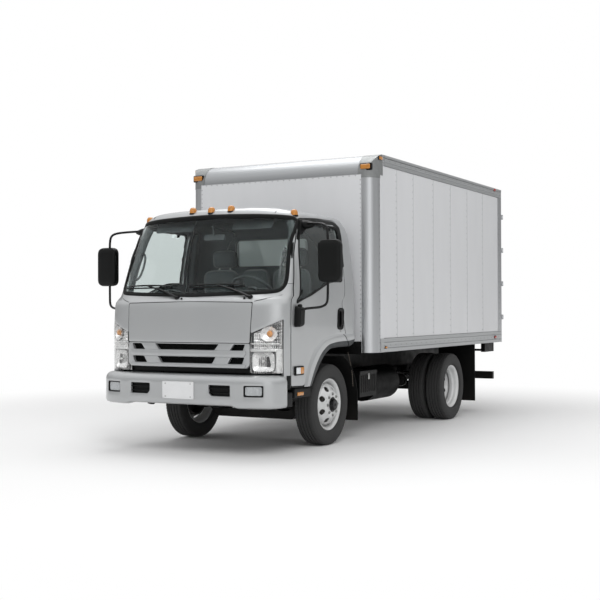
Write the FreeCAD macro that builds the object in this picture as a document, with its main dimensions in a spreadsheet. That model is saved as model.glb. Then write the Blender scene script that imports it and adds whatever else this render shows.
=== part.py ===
import FreeCAD, Part
import math
import os
import re

import Sketcher

# Box truck: a low cab-forward light truck with a dry-freight box body.
# Frame: +X is the truck's left, -Y is its front, +Z is up. The origin is on the ground,
# under the middle of the truck's outer box. Stations are distances from the front axle,
# positive towards the rear. All lengths are in millimetres.

# ---------------------------------------------------------------- driving sizes
SIZES = [
    # alias, value, meaning
    ("wheelbase", 3120, "front axle to rear axle"),
    ("front_overhang", 1484, "front axle to the bumper's face"),
    ("box_front", 500, "station of the box body's front face"),
    ("box_length", 4386, "box body, front face to rear frame"),
    ("box_half", 1219, "half width of the box body"),
    ("box_low", 967, "underside of the box body"),
    ("box_high", 3173, "top of the box body"),
    ("box_wall", 25, "side, front and roof panel thickness"),
    ("floor_deck", 38, "cargo floor boards"),
    ("floor_sill", 82, "depth of the floor's cross sills"),
    ("sill_width", 75, "width of a floor cross sill"),
    ("sill_pitch", 600, "spacing of the floor cross sills"),
    ("side_rail_high", 150, "height of the bottom side rail"),
    ("top_rail_high", 113, "height of the top side rail"),
    ("rail_proud", 4, "rails stand out from the wall panels"),
    ("post_radius", 155, "corner post radius"),
    ("post_flange", 36, "corner post flange on the front panel"),
    ("cove_radius", 230, "radius of the front header"),
    ("rear_post", 110, "width of a rear door post"),
    ("rear_header", 150, "height of the rear header"),
    ("rear_sill", 120, "height of the rear sill"),
    ("rear_frame_deep", 159, "length of the rear door frame"),
    ("door_wall", 35, "box door thickness"),
    ("door_gap", 6, "clear gap round a door"),
    ("lock_reach", 30, "lock rod reach behind the box doors"),
    ("lock_radius", 12, "lock rod radius"),
    ("hinge_out", 14, "box door hinge pin outside and behind the body"),
    ("hinge_pin", 6, "box door hinge pin radius"),
    ("hinge_eye", 10, "box door hinge eye radius"),
    ("strap_half", 22, "half height of a hinge strap"),
    ("frame_half", 426, "half width over the chassis rails"),
    ("frame_top", 867, "top of the chassis rails"),
    ("frame_depth", 216, "height of a chassis rail"),
    ("rail_flange", 70, "width of a chassis rail's flanges"),
    ("rail_gauge", 8, "chassis rail plate"),
    ("rail_nose", 1190, "rail front end ahead of the front axle"),
    ("rail_tail", 60, "rail rear end ahead of the box's rear"),
    ("member_high", 120, "height of a cross member"),
    ("member_long", 80, "length of a cross member"),
    ("tyre_radius", 433, "tyre outer radius"),
    ("tyre_width", 225, "tyre section width"),
    ("tread_half", 92, "half width of the tread"),
    ("bead_radius", 249, "rim bead seat radius"),
    ("flange_radius", 275, "rim flange radius"),
    ("rim_half", 85, "half width over the rim flanges"),
    ("rim_gauge", 8, "rim barrel thickness"),
    ("well_radius", 226, "rim well outer radius"),
    ("disc_offset", 125, "wheel centre plane to the disc's outer face"),
    ("disc_gauge", 12, "wheel disc thickness"),
    ("disc_flat", 150, "radius of the disc's flat middle"),
    ("hand_hole", 36, "hand hole radius"),
    ("hand_pitch", 188, "radius to the hand holes' centres"),
    ("hub_radius", 80, "hub cap radius"),
    ("hub_reach", 42, "hub cap reach past the disc"),
    ("drum_radius", 175, "brake drum radius"),
    ("front_track", 825, "truck centre to a front wheel's centre plane"),
    ("dual_track", 895, "truck centre to the middle of the twin wheels"),
    ("kingpin_half", 690, "truck centre to a kingpin"),
    ("kingpin_radius", 20, "kingpin radius"),
    ("pin_clear", 0.05, "running clearance of a pin or spindle"),
    ("boss_radius", 42, "kingpin boss radius"),
    ("boss_half", 60, "half height of the kingpin boss"),
    ("ear_high", 28, "thickness of a knuckle's ears"),
    ("seat_clear", 0.3, "clear gap between parts that move"),
    ("spindle_radius", 34, "front spindle radius"),
    ("beam_drop", 178, "front axle beam's drop below the wheel centres"),
    ("beam_high", 90, "front axle beam height"),
    ("beam_long", 90, "front axle beam length along the truck"),
    ("beam_flat", 480, "half width of the beam's dropped middle"),
    ("beam_rise", 130, "run of the front axle beam's sloping part"),
    ("axle_tube", 58, "rear axle tube radius"),
    ("diff_radius", 175, "rear axle bowl radius"),
    ("spring_track", 391, "truck centre to a leaf spring"),
    ("spring_width", 68, "leaf spring width"),
    ("spring_pack", 56, "leaf pack thickness"),
    ("front_spring_half", 620, "half length of a front spring"),
    ("rear_spring_half", 660, "half length of a rear spring"),
    ("front_camber", 170, "rise of a front spring's ends"),
    ("rear_camber", 74, "rise of a rear spring's ends"),
    ("hanger_long", 64, "spring hanger length"),
    ("engine_half", 260, "half width of the engine"),
    ("engine_fore", 640, "engine front ahead of the front axle"),
    ("engine_aft", 260, "engine rear behind the front axle"),
    ("engine_low", 470, "engine underside"),
    ("engine_high", 985, "engine top"),
    ("gearbox_half", 165, "half width of the gearbox"),
    ("gearbox_aft", 880, "gearbox rear behind the front axle"),
    ("gearbox_low", 500, "gearbox underside"),
    ("gearbox_high", 800, "gearbox top"),
    ("shaft_radius", 45, "propeller shaft radius"),
    ("tank_radius", 205, "fuel tank radius"),
    ("tank_fore", 1285, "fuel tank front station"),
    ("tank_long", 660, "fuel tank length"),
    ("tank_out", 880, "fuel tank outer side"),
    ("tank_low", 358, "fuel tank underside"),
    ("battery_fore", 800, "battery box front station"),
    ("battery_long", 450, "battery box length"),
    ("battery_low", 446, "battery box underside"),
    ("battery_high", 741, "battery box top"),
    ("battery_out", 890, "battery box outer side"),
    ("muffler_radius", 130, "silencer radius"),
    ("muffler_fore", 1250, "silencer front station"),
    ("muffler_long", 620, "silencer length"),
    ("pipe_radius", 38, "exhaust pipe radius"),
    ("bumper_half", 1097, "half width of the bumper"),
    ("bumper_low", 514, "bumper underside"),
    ("bumper_high", 812, "bumper top"),
    ("bumper_ledge", 37, "bumper top edge chamfer"),
    ("bumper_gauge", 14, "bumper wall"),
    ("bumper_lip", 150, "depth of the bumper's top flange at the middle"),
    ("bumper_wing", 268, "bumper end behind the bumper's face"),
    ("plate_half", 188, "half width of the plate recess"),
    ("plate_hole_half", 145, "half spacing of the plate's holes"),
    ("plate_hole_high", 130, "height between the plate's hole rows"),
    ("plate_hole", 3.5, "plate hole radius"),
    ("plate_mid", 641, "height of the plate's middle"),
    ("vent_low", 600, "bumper vent underside"),
    ("vent_high", 708, "bumper vent top"),
    ("vent_in", 348, "bumper vent inner side"),
    ("vent_out", 596, "bumper vent outer side"),
    ("fog_in", 753, "fog lamp inner side"),
    ("fog_out", 935, "fog lamp outer side"),
    ("guard_low", 440, "rear guard underside"),
    ("guard_high", 545, "rear guard top"),
    ("guard_deep", 60, "rear guard thickness"),
    ("guard_half", 1150, "half width of the rear guard"),
    ("flap_gauge", 8, "mud flap thickness"),
    ("cab_nose", 1345, "front axle to the cab's front face"),
    ("cab_low", 679, "underside of the cab's sides"),
    ("cab_half", 1064, "half width of the cab at the belt"),
    ("cab_back", 378, "cab back station"),
    ("roof_high", 2510, "top of the cab's roof"),
    ("cab_wall", 45, "cab and door wall thickness"),
    ("roof_lamp", 38, "roof lamp radius"),
    ("nose_turn", 11300, "plan radius of the cab's front"),
    ("cowl_high", 1521, "lid seam height"),
    ("screen_low", 1590, "windscreen's lowest edge"),
    ("screen_high", 2411, "windscreen's highest edge"),
    ("screen_base", 1232, "front axle to the windscreen's foot"),
    ("screen_head", 916, "front axle to the windscreen's head"),
    ("glass_gauge", 6, "glass thickness"),
    ("glass_inset", 16, "glass behind the outer skin"),
    ("lid_half", 745, "half width of the service lid"),
    ("lid_low", 1113, "service lid's lower edge"),
    ("lid_gauge", 28, "service lid and grille thickness"),
    ("lid_recess", 92, "depth of the recess behind the lid"),
    ("lid_seam", 14, "open seam between the lid and the cowl"),
    ("lid_pin", 4, "radius of the lid's hinge pins"),
    ("lid_pin_in", 38, "cab front to the lid's hinge pins"),
    ("lid_pin_down", 8, "lid's upper edge down to the hinge pins"),
    ("lid_pin_at", 120, "middle of a hinge pin from the cab's middle"),
    ("grille_low", 862, "grille's lower edge"),
    ("firewall", 30, "cab front bulkhead"),
    ("lamp_in", 757, "headlamp inner edge"),
    ("lamp_out", 1034, "headlamp outer edge"),
    ("lamp_low", 826, "headlamp lower edge"),
    ("lamp_split", 1043, "headlamp upper and lower split"),
    ("lamp_top_in", 1219, "headlamp top at its inner edge"),
    ("lamp_top_out", 1334, "headlamp top at its outer edge"),
    ("lamp_gauge", 40, "headlamp depth"),
    ("door_front", 1096, "cab door front edge ahead of the front axle"),
    ("door_rear", 118, "cab door rear edge behind the front axle"),
    ("door_top", 2392, "cab door top"),
    ("belt_low", 1500, "window sill at its front"),
    ("belt_high", 1738, "window sill at its rear"),
    ("arch_foot", 675, "wheel arch foot ahead of the front axle"),
    ("arch_knee", 412, "wheel arch upper corner ahead of the front axle"),
    ("arch_high", 1102, "wheel arch top"),
    ("arch_round", 440, "wheel arch corner radius"),
    ("flare_width", 74, "width of the wheel arch flare"),
    ("flare_proud", 14, "wheel arch flare stands out from the side"),
    ("deck_high", 1150, "seat deck height inside the cab"),
    ("tunnel_half", 450, "half width of the opening over the engine"),
    ("tunnel_high", 1020, "top of the opening over the engine"),
    ("footwell", 760, "footwell floor height"),
    ("sheet", 30, "cab floor thickness"),
    ("step_low", 580, "step underside"),
    ("step_high", 671, "step top"),
    ("mirror_in", 1256, "mirror head inner side"),
    ("mirror_out", 1499, "mirror head outer side"),
    ("mirror_low", 1712, "mirror head underside"),
    ("mirror_high", 2135, "mirror head top"),
    ("mirror_deep", 84, "mirror head thickness"),
    ("mirror_station", 866, "mirror plane ahead of the front axle"),
    ("arm_radius", 13, "mirror arm radius"),
    ("tilt_ahead", 1352, "cab tilt axis ahead of the front axle"),
    ("tilt_high", 520, "cab tilt axis height"),
    ("tilt_pin", 15, "cab tilt pin radius"),
    ("tilt_lug", 28, "half width of a tilt lug"),
]

# Places worked out from the sizes, each an expression in them.
PLACES = [
    ("front_axle", "(front_overhang - box_front - box_length - lock_reach) / 2"),
    ("rear_axle", "front_axle + wheelbase"),
    ("bumper_face", "front_axle - front_overhang"),
    ("body_front", "front_axle + box_front"),
    ("body_rear", "body_front + box_length"),
    ("frame_low", "frame_top - frame_depth"),
    ("deck_top", "box_low + floor_sill + floor_deck"),
    ("wall_in", "box_half - rail_proud - box_wall"),
    ("door_plane", "body_rear - door_wall"),
    ("door_low", "box_low + rear_sill"),
    ("door_high", "box_high - rear_header"),
    ("beam_low", "tyre_radius - beam_drop"),
    ("cab_front", "front_axle - cab_nose"),
    ("cab_rear", "front_axle + cab_back"),
]

DOC = FreeCAD.newDocument("box_truck")
SHEET = DOC.addObject("Spreadsheet::Sheet", "Sizes")
for row, (alias, value, meaning) in enumerate(SIZES, start=1):
    SHEET.set(f"A{row}", str(value))
    SHEET.setAlias(f"A{row}", alias)
    SHEET.set(f"B{row}", "'" + meaning)
DOC.recompute()
SET = DOC.addObject("App::VarSet", "Places")

OWNERS = {alias: "Sizes" for alias, _, _ in SIZES}
WORD = re.compile(r"[a-z_]+")
NODES = []


def tie(text):
    """An expression with each size or place named by its owner."""
    return WORD.sub(lambda m: f"{OWNERS[m[0]]}.{m[0]}" if m[0] in OWNERS else m[0], str(text))


for place, rule in PLACES:
    SET.addProperty("App::PropertyFloat", place, "Places")
    SET.setExpression(place, tie(rule))
    OWNERS[place] = "Places"
DOC.recompute()


def bind(item, **rules):
    """Tie an object's properties to expressions; two underscores stand for a full stop."""
    for name, rule in rules.items():
        item.setExpression(name.replace("__", "."), tie(rule))
    return item


def move(item, x=0, y=0, z=0):
    """Tie an object's place."""
    return bind(item, Placement__Base__x=x, Placement__Base__y=y, Placement__Base__z=z)


def side(sign, rule):
    """An expression on the left (sign 1) or mirrored to the right (sign -1)."""
    return f"({sign}) * ({rule})"


def span(sign, low, high):
    """A pair of X expressions from low to high on one side, in rising order."""
    pair = (side(sign, low), side(sign, high))
    return pair if sign > 0 else pair[::-1]


def node(item, name):
    """Mark an object as a sub-part: its label names its file."""
    item.Label = name
    NODES.append(item)
    return item


def box(name, x, y, z):
    """A Part::Box between pairs of expressions."""
    item = DOC.addObject("Part::Box", name)
    bind(item, Length=f"({x[1]}) - ({x[0]})", Width=f"({y[1]}) - ({y[0]})", Height=f"({z[1]}) - ({z[0]})")
    return move(item, x[0], y[0], z[0])


TURNS = {
    "X": FreeCAD.Rotation(FreeCAD.Vector(0, 1, 0), 90),
    "Y": FreeCAD.Rotation(FreeCAD.Vector(1, 0, 0), -90),
    "Z": FreeCAD.Rotation(),
}


def rod(name, axis, radius, length, x=0, y=0, z=0):
    """A Part::Cylinder that starts at x, y, z and runs along +axis."""
    item = DOC.addObject("Part::Cylinder", name)
    item.Placement = FreeCAD.Placement(FreeCAD.Vector(), TURNS[axis])
    bind(item, Radius=radius, Height=length)
    return move(item, x, y, z)


def fuse(name, *parts):
    item = DOC.addObject("Part::MultiFuse", name)
    item.Shapes = list(parts)
    return item


def common(name, *parts):
    item = DOC.addObject("Part::MultiCommon", name)
    item.Shapes = list(parts)
    return item


def cut(name, base, *tools):
    """A Part::Cut by one tool, or by several tools fused."""
    item = DOC.addObject("Part::Cut", name)
    item.Base = base
    item.Tool = tools[0] if len(tools) == 1 else fuse(name + "_tools", *tools)
    return item


PLANES = {"XY": "XY_Plane", "XZ": "XZ_Plane", "YZ": "YZ_Plane"}


def sketch(body, plane, points):
    """A closed polygon on one of the body's origin planes, each corner tied to expressions."""
    item = body.newObject("Sketcher::SketchObject", body.Name + "_sketch")
    origin = [f for f in body.Origin.OriginFeatures if f.Role == PLANES[plane]][0]
    item.AttachmentSupport = [(origin, "")]
    item.MapMode = "FlatFace"
    spots = [(read(a), read(b)) for a, b in points]
    for start, end in zip(spots, spots[1:] + spots[:1]):
        item.addGeometry(Part.LineSegment(FreeCAD.Vector(*start, 0), FreeCAD.Vector(*end, 0)))
    for index, (rules, spot) in enumerate(zip(points, spots)):
        item.addConstraint(Sketcher.Constraint("Coincident", index, 2, (index + 1) % len(spots), 1))
        for kind, rule, value in zip(("DistanceX", "DistanceY"), rules, spot):
            number = item.addConstraint(Sketcher.Constraint(kind, -1, 1, index, 1, value))
            item.renameConstraint(number, f"{kind}_{index}")
            item.setExpression(f"Constraints.{kind}_{index}", tie(rule))
    return item


PROBE = DOC.addObject("App::VarSet", "Probe")
PROBE.addProperty("App::PropertyFloat", "value", "Probe")


def read(rule):
    """The number that an expression gives now."""
    PROBE.setExpression("value", tie(rule))
    PROBE.recompute()
    return PROBE.value


def prism(name, plane, points, low, high):
    """A PartDesign body: a polygon padded along the plane's positive normal from low to high."""
    body = DOC.addObject("PartDesign::Body", name)
    outline = sketch(body, plane, points)
    pad = body.newObject("PartDesign::Pad", name + "_pad")
    pad.Profile = outline
    pad.Reversed = plane == "XZ"
    bind(pad, Length=f"({high}) - ({low})")
    body.Tip = pad
    outline.Visibility = False
    return move(body, **{{"XY": "z", "XZ": "y", "YZ": "x"}[plane]: low})


def ring(name, points, x, y, z):
    """A PartDesign body turned about the X axis: points are (axial, radius)."""
    body = DOC.addObject("PartDesign::Body", name)
    outline = sketch(body, "XZ", points)
    turn = body.newObject("PartDesign::Revolution", name + "_turn")
    turn.Profile = outline
    turn.ReferenceAxis = (outline, ["H_Axis"])
    turn.Angle = 360
    body.Tip = turn
    return move(body, x, y, z)


def rounded(name, body, radius, *spots):
    """Fillet a prism's edges that pass through the given sketch corners."""
    DOC.recompute()
    pad = body.Tip
    base = pad.Profile[0].Placement.inverse()
    names = []
    for index, edge in enumerate(pad.Shape.Edges, start=1):
        ends = [base.multVec(v.Point) for v in edge.Vertexes]
        for a, b in spots:
            if all(math.dist((e.x, e.y), (read(a), read(b))) < 0.01 for e in ends):
                names.append(f"Edge{index}")
    fillet = body.newObject("PartDesign::Fillet", name)
    fillet.Base = (pad, names)
    bind(fillet, Radius=radius)
    body.Tip = fillet
    return body


def tube(name, rules, radius, bend):
    """A round bar along straight runs joined by tangent arcs, through points of expressions."""
    spots = [FreeCAD.Vector(*(read(rule) for rule in point)) for point in rules]
    curve, start = [], spots[0]
    for before, corner, after in zip(spots, spots[1:], spots[2:]):
        back, ahead = (before - corner).normalize(), (after - corner).normalize()
        half = back.getAngle(ahead) / 2
        first, last = corner + back * (bend / math.tan(half)), corner + ahead * (bend / math.tan(half))
        middle = corner + (back + ahead).normalize() * (bend / math.sin(half) - bend)
        curve += [Part.LineSegment(start, first), Part.Arc(first, middle, last)]
        start = last
    curve.append(Part.LineSegment(start, spots[-1]))
    path = Part.Wire([segment.toShape() for segment in curve])
    ends = Part.Wire([Part.makeCircle(read(radius), spots[0], spots[1] - spots[0])])
    item = DOC.addObject("Part::Feature", name)
    item.Shape = path.makePipeShell([ends], True, True)
    return item


SIDES = [("left", 1), ("right", -1)]


# ---------------------------------------------------------------- chassis
def rails():
    """Two channel rails that open towards each other."""
    for name, sign in SIDES:
        outer, inner = side(sign, "frame_half"), side(sign, "frame_half - rail_flange")
        web = side(sign, "frame_half - rail_gauge")
        top, low = "frame_top - rail_gauge", "frame_low + rail_gauge"
        corners = [
            (outer, "frame_low"), (outer, "frame_top"), (inner, "frame_top"), (inner, top),
            (web, top), (web, low), (inner, low), (inner, "frame_low"),
        ]
        node(prism(f"Rail_{name}", "XZ", corners, "front_axle - rail_nose", "body_rear - rail_tail"),
             f"chassis_rail_{name}")


CROSS_STATIONS = [
    ("nose", "front_axle - rail_nose + member_long"),
    ("gearbox", "front_axle + gearbox_aft + member_long"),
    ("tank", "front_axle + tank_fore + tank_long / 2"),
    ("spring_fore", "rear_axle - rear_spring_half - member_long"),
    ("spring_aft", "rear_axle + rear_spring_half + member_long"),
    ("tail", "body_rear - rail_tail - 2 * member_long"),
]


def cross_members():
    reach = "frame_half - rail_gauge"
    middle = "(frame_top + frame_low) / 2"
    bars = [
        box(f"Member_{name}", (f"-({reach})", reach),
            (f"{station} - member_long / 2", f"{station} + member_long / 2"),
            (f"{middle} - member_high / 2", f"{middle} + member_high / 2"))
        for name, station in CROSS_STATIONS
    ]
    rests = [
        box(f"CabRest_{name}", span(sign, "frame_half - rail_flange", "frame_half"),
            ("cab_rear - 150", "cab_rear - 90"), ("frame_top", "tunnel_high - seat_clear"))
        for name, sign in SIDES
    ]
    node(fuse("CrossMembers", *bars, *rests), "cross_members")


def leaf_springs():
    """Bowed leaf packs: a ring between two radii, kept between the hangers."""
    table = [  # name, axle, half length, rise, seat height
        ("front", "front_axle", "front_spring_half", "front_camber", "beam_low + beam_high"),
        ("rear", "rear_axle", "rear_spring_half", "rear_camber", "tyre_radius + axle_tube"),
    ]
    packs = []
    for name, axle, half, rise, seat in table:
        bow = f"(({half}) ^ 2 + ({rise}) ^ 2) / (2 * {rise})"
        for hand, sign in SIDES:
            low, high = span(sign, "spring_track - spring_width / 2", "spring_track + spring_width / 2")
            tag = f"{name}_{hand}"
            outer = rod(f"Bow_{tag}", "X", bow, "spring_width", low, axle, f"{seat} + {bow}")
            inner = rod(f"Inside_{tag}", "X", f"{bow} - spring_pack", "spring_width", low, axle,
                        f"{seat} + {bow}")
            window = box(f"Window_{tag}", (low, high), (f"{axle} - {half}", f"{axle} + {half}"),
                         (seat, "frame_low"))
            pack = common(f"Pack_{tag}", cut(f"Leaf_{tag}", outer, inner), window)
            hangers = [
                box(f"Hanger_{tag}_{end}", (low, high), (f"{axle} + {way} * {half} - hanger_long / 2",
                                                        f"{axle} + {way} * {half} + hanger_long / 2"),
                    (f"{seat} + {rise} - spring_pack / 4", "frame_low"))
                for end, way in (("fore", -1), ("aft", 1))
            ]
            packs.append(fuse(f"Spring_{tag}", pack, *hangers))
    node(fuse("LeafSprings", *packs), "leaf_springs")


def front_axle():
    low, high = "beam_low", "beam_low + beam_high"
    up, top = "tyre_radius - beam_high / 2", "tyre_radius + beam_high / 2"
    half, foot = "kingpin_half", "beam_flat + beam_rise"
    corners = [
        (f"-({half})", up), (f"-({foot})", up), ("-beam_flat", low), ("beam_flat", low), (foot, up),
        (half, up),
        (half, top), (f"{foot} - beam_high / 2", top), ("beam_flat - beam_high / 2", high),
        ("-beam_flat + beam_high / 2", high), (f"-({foot}) + beam_high / 2", top), (f"-({half})", top),
    ]
    beam = prism("AxleBeam", "XZ", corners, "front_axle - beam_long / 2", "front_axle + beam_long / 2")
    bosses, bores = [], []
    for name, sign in SIDES:
        spot = (side(sign, "kingpin_half"), "front_axle", "tyre_radius - boss_half")
        bosses.append(rod(f"Boss_{name}", "Z", "boss_radius", "2 * boss_half", *spot))
        bores.append(rod(f"BossBore_{name}", "Z", "kingpin_radius + pin_clear", "2 * boss_half", *spot))
    node(cut("FrontAxle", fuse("AxleForging", beam, *bosses), *bores), "front_axle")


def knuckles():
    """A forked knuckle on each kingpin, with the spindle that carries the wheel."""
    for name, sign in SIDES:
        ears = []
        for level, low in (("top", "tyre_radius + boss_half + seat_clear"),
                           ("foot", "tyre_radius - boss_half - seat_clear - ear_high")):
            ears.append(box(f"Ear_{level}_{name}",
                            span(sign, "kingpin_half - boss_radius", "kingpin_half + boss_radius + 8"),
                            ("front_axle - boss_radius", "front_axle + boss_radius"),
                            (low, f"{low} + ear_high")))
        reach = "boss_half + seat_clear + ear_high"
        yoke = box(f"Yoke_{name}", span(sign, "kingpin_half + boss_radius + 4",
                                        "kingpin_half + boss_radius + 34"),
                   ("front_axle - boss_radius", "front_axle + boss_radius"),
                   (f"tyre_radius - ({reach})", f"tyre_radius + {reach}"))
        pin = rod(f"Kingpin_{name}", "Z", "kingpin_radius", f"2 * ({reach})", side(sign, "kingpin_half"),
                  "front_axle",
                  f"tyre_radius - ({reach})")
        start, end = span(sign, "kingpin_half + boss_radius + 30", "front_track + disc_offset")
        spindle = rod(f"Spindle_{name}", "X", "spindle_radius", f"({end}) - ({start})", start, "front_axle",
                      "tyre_radius")
        node(fuse(f"Knuckle_{name}", *ears, yoke, pin, spindle), f"knuckle_{name}")


def rear_axle():
    tube_half = "dual_track - disc_gauge - 20"
    bar = rod("AxleTube", "X", "axle_tube", f"2 * ({tube_half})", f"-({tube_half})", "rear_axle",
              "tyre_radius")
    bowl = DOC.addObject("Part::Sphere", "AxleBowl")
    move(bind(bowl, Radius="diff_radius"), 0, "rear_axle", "tyre_radius")
    nose = rod("AxleNose", "Y", "shaft_radius + 25", "diff_radius + 90", 0, "rear_axle - diff_radius - 90",
               "tyre_radius")
    return node(fuse("RearAxle", bar, bowl, nose), "rear_axle")


def exhaust(engine):
    """Silencer outside the right rail, with a pipe from the engine and a tail pipe."""
    centre = "-(frame_half + 60 + muffler_radius)"
    level, fore = "frame_low - 60", "front_axle + muffler_fore"
    middle, aft = f"{fore} + muffler_long / 2", f"{fore} + muffler_long"
    can = rod("Silencer", "Y", "muffler_radius", "muffler_long", centre, fore, level)
    hang = box("SilencerHanger", (centre, "-frame_half"), (f"{middle} - 20", f"{middle} + 20"),
               ("frame_low + 20", "frame_low + 100"))
    beside = "-engine_half + 40"
    entry = tube("DownPipe", [(centre, f"{fore} + 1", level), (centre, f"{fore} - 200", level),
                              (beside, f"{fore} - 530", level),
                              (beside, "front_axle + engine_aft - 40", "engine_low + 40")],
                 "pipe_radius", 90)
    tail = tube("TailPipe", [(centre, f"{aft} - 1", level), (centre, f"{aft} + 180", level),
                             ("-battery_out", f"{aft} + 260", level)], "pipe_radius", 90)
    node(cut("Exhaust", fuse("ExhaustStock", can, hang, entry, tail), engine), "exhaust")


def drivetrain():
    """The axle, the engine as one block, and the shaft and exhaust that meet them."""
    axle = rear_axle()
    block = box("EngineBlock", ("-engine_half", "engine_half"),
                ("front_axle - engine_fore", "front_axle + engine_aft"),
                ("engine_low", "engine_high"))
    gears = box("Gearbox", ("-gearbox_half", "gearbox_half"),
                ("front_axle + engine_aft", "front_axle + gearbox_aft"),
                ("gearbox_low", "gearbox_high"))
    feet = [
        box(f"EngineFoot_{name}", span(sign, "engine_half", "frame_half - rail_flange"),
            ("front_axle - engine_fore / 2 - 40", "front_axle - engine_fore / 2 + 40"),
            ("frame_low", "frame_low + 60"))
        for name, sign in SIDES
    ]
    engine = node(fuse("Engine", block, gears, *feet), "engine")
    start = "(gearbox_low + gearbox_high) / 2"
    run = "rear_axle - diff_radius - 90 - front_axle - gearbox_aft"
    fall = f"({start}) - tyre_radius"
    shaft = DOC.addObject("Part::Cylinder", "PropShaft")
    lean = 90 + math.degrees(math.atan2(read(fall), read(run)))
    shaft.Placement = FreeCAD.Placement(FreeCAD.Vector(), FreeCAD.Rotation(FreeCAD.Vector(1, 0, 0), -lean))
    bind(shaft, Radius="shaft_radius", Height=f"sqrt(({run}) ^ 2 + ({fall}) ^ 2)")
    move(shaft, 0, "front_axle + gearbox_aft", start)
    node(cut("PropellerShaft", shaft, engine, axle), "propeller_shaft")
    exhaust(engine)


def tank_and_boxes():
    barrel = rod("TankBarrel", "Y", "tank_radius", "tank_long", "tank_out - tank_radius",
                 "front_axle + tank_fore",
                 "tank_low + tank_radius")
    straps = [
        box(f"TankStrap_{end}", ("frame_half", "tank_out - tank_radius"),
            (f"front_axle + tank_fore + {share} * tank_long - 25",
             f"front_axle + tank_fore + {share} * tank_long + 25"),
            ("frame_low", "frame_low + 70"))
        for end, share in (("fore", 0.25), ("aft", 0.75))
    ]
    node(fuse("FuelTank", barrel, *straps), "fuel_tank")
    case = box("BatteryCase", ("frame_half + 50", "battery_out"),
               ("front_axle + battery_fore", "front_axle + battery_fore + battery_long"),
               ("battery_low", "battery_high"))
    shelf = box("BatteryShelf", ("frame_half", "frame_half + 50"),
                ("front_axle + battery_fore + 60", "front_axle + battery_fore + battery_long - 60"),
                ("frame_low", "battery_high"))
    node(fuse("BatteryBox", case, shelf), "battery_box")


def bumper_plan(grow):
    """Half-open plan outline of the bumper, moved in by grow, from one end round to the other."""
    face = f"bumper_face + {grow}"
    half = f"bumper_half - ({grow})"
    tail = "bumper_face + bumper_wing"
    right = [("-(vent_in)", f"{face} + 8"), ("-(vent_out)", f"{face} + 32"), ("-(fog_out)", f"{face} + 98")]
    right = [(f"-({half})", tail), (f"-({half})", f"{face} + 150")] + right[::-1]
    left = [(a[2:-1] if a.startswith("-(") else a, b) for a, b in right[::-1]]
    return right + left


def bumper():
    shell = prism("BumperShell", "XY", bumper_plan("0"), "bumper_low", "bumper_high")
    corners = [("-(bumper_half)", "bumper_face + 150"), ("bumper_half", "bumper_face + 150")]
    rounded("BumperCorners", shell, 70, *corners)
    hollow = prism("BumperHollow", "XY", bumper_plan("bumper_gauge"), "bumper_low - 1",
                   "bumper_high - bumper_gauge")
    edge = [("bumper_half - 18", "bumper_face + bumper_wing + 1"),
            ("bumper_half - 18", "bumper_face + bumper_lip + 35"),
            ("vent_out + 100", "bumper_face + bumper_lip"), ("0", "bumper_face + bumper_lip")]
    tools = [hollow, prism("BumperTopCut", "XY", mirrored(edge), "bumper_high - 2 * bumper_gauge",
                           "bumper_high + 1")]
    for name, sign in SIDES:
        for tag, low, high in (("Vent", "vent_in", "vent_out"), ("Fog", "fog_in", "fog_out")):
            tools.append(box(f"{tag}Cut_{name}", span(sign, low, high),
                             ("bumper_face - 20", "bumper_face + 220"),
                             ("vent_low", "vent_high")))
        for level, way in (("low", -1), ("high", 1)):
            tools.append(rod(f"PlateHole_{level}_{name}", "Y", "plate_hole", "40",
                             side(sign, "plate_hole_half"),
                             "bumper_face - 5", f"plate_mid + {way} * plate_hole_high / 2"))
    brackets = [
        box(f"BumperArm_{name}", span(sign, "frame_half - rail_flange", "frame_half"),
            ("bumper_face + 30", "front_axle - rail_nose"), ("frame_low", "frame_low + 70"))
        for name, sign in SIDES
    ]
    for name, sign in SIDES:
        brackets.append(box(f"TiltBracket_{name}", span(sign, "frame_half - 30", "frame_half"),
                            ("front_axle - tilt_ahead - tilt_lug", "front_axle - tilt_ahead + tilt_lug"),
                            ("tilt_high - tilt_lug", "frame_low")))
        low, high = span(sign, "frame_half - 30", "tunnel_half + 50")
        brackets.append(rod(f"TiltPin_{name}", "X", "tilt_pin", f"({high}) - ({low})", low,
                            "front_axle - tilt_ahead",
                            "tilt_high"))
    backing = box("BumperBeam", ("-frame_half - 60", "frame_half + 60"),
                  ("bumper_face + 20", "bumper_face + 30"),
                  ("frame_low", "vent_high - 20"))
    node(fuse("Bumper", cut("BumperSkin", shell, *tools), *brackets, backing), "front_bumper")


def fog_lamps():
    lamps = [
        box(f"FogLamp_{name}", span(sign, "fog_in", "fog_out"), ("bumper_face + 78", "bumper_face + 128"),
            ("vent_low", "vent_high"))
        for name, sign in SIDES
    ]
    node(fuse("FogLamps", *lamps), "fog_lamps")


def rear_guard():
    place = "body_rear - rail_tail - 2 * member_long"
    bar = box("GuardBar", ("-guard_half", "guard_half"), (place, f"{place} + guard_deep"),
              ("guard_low", "guard_high"))
    legs, hangers = [], []
    for name, sign in SIDES:
        legs.append(box(f"GuardLeg_{name}", span(sign, "frame_half", "frame_half + 60"),
                        (place, f"{place} + guard_deep"),
                        ("guard_high", "frame_top")))
        hangers.append(box(f"StepHanger_{name}", span(sign, "frame_half + 60", "guard_half"),
                           (f"{place} + 10", f"{place} + guard_deep"), ("frame_top - 30", "frame_top")))
        hangers.append(box(f"StepWing_{name}", span(sign, "guard_half - 60", "guard_half"),
                           (f"{place} - 320", f"{place} + guard_deep"), ("frame_top - 30", "box_low")))
    node(fuse("RearGuard", bar, *legs, *hangers), "rear_guard")


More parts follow.
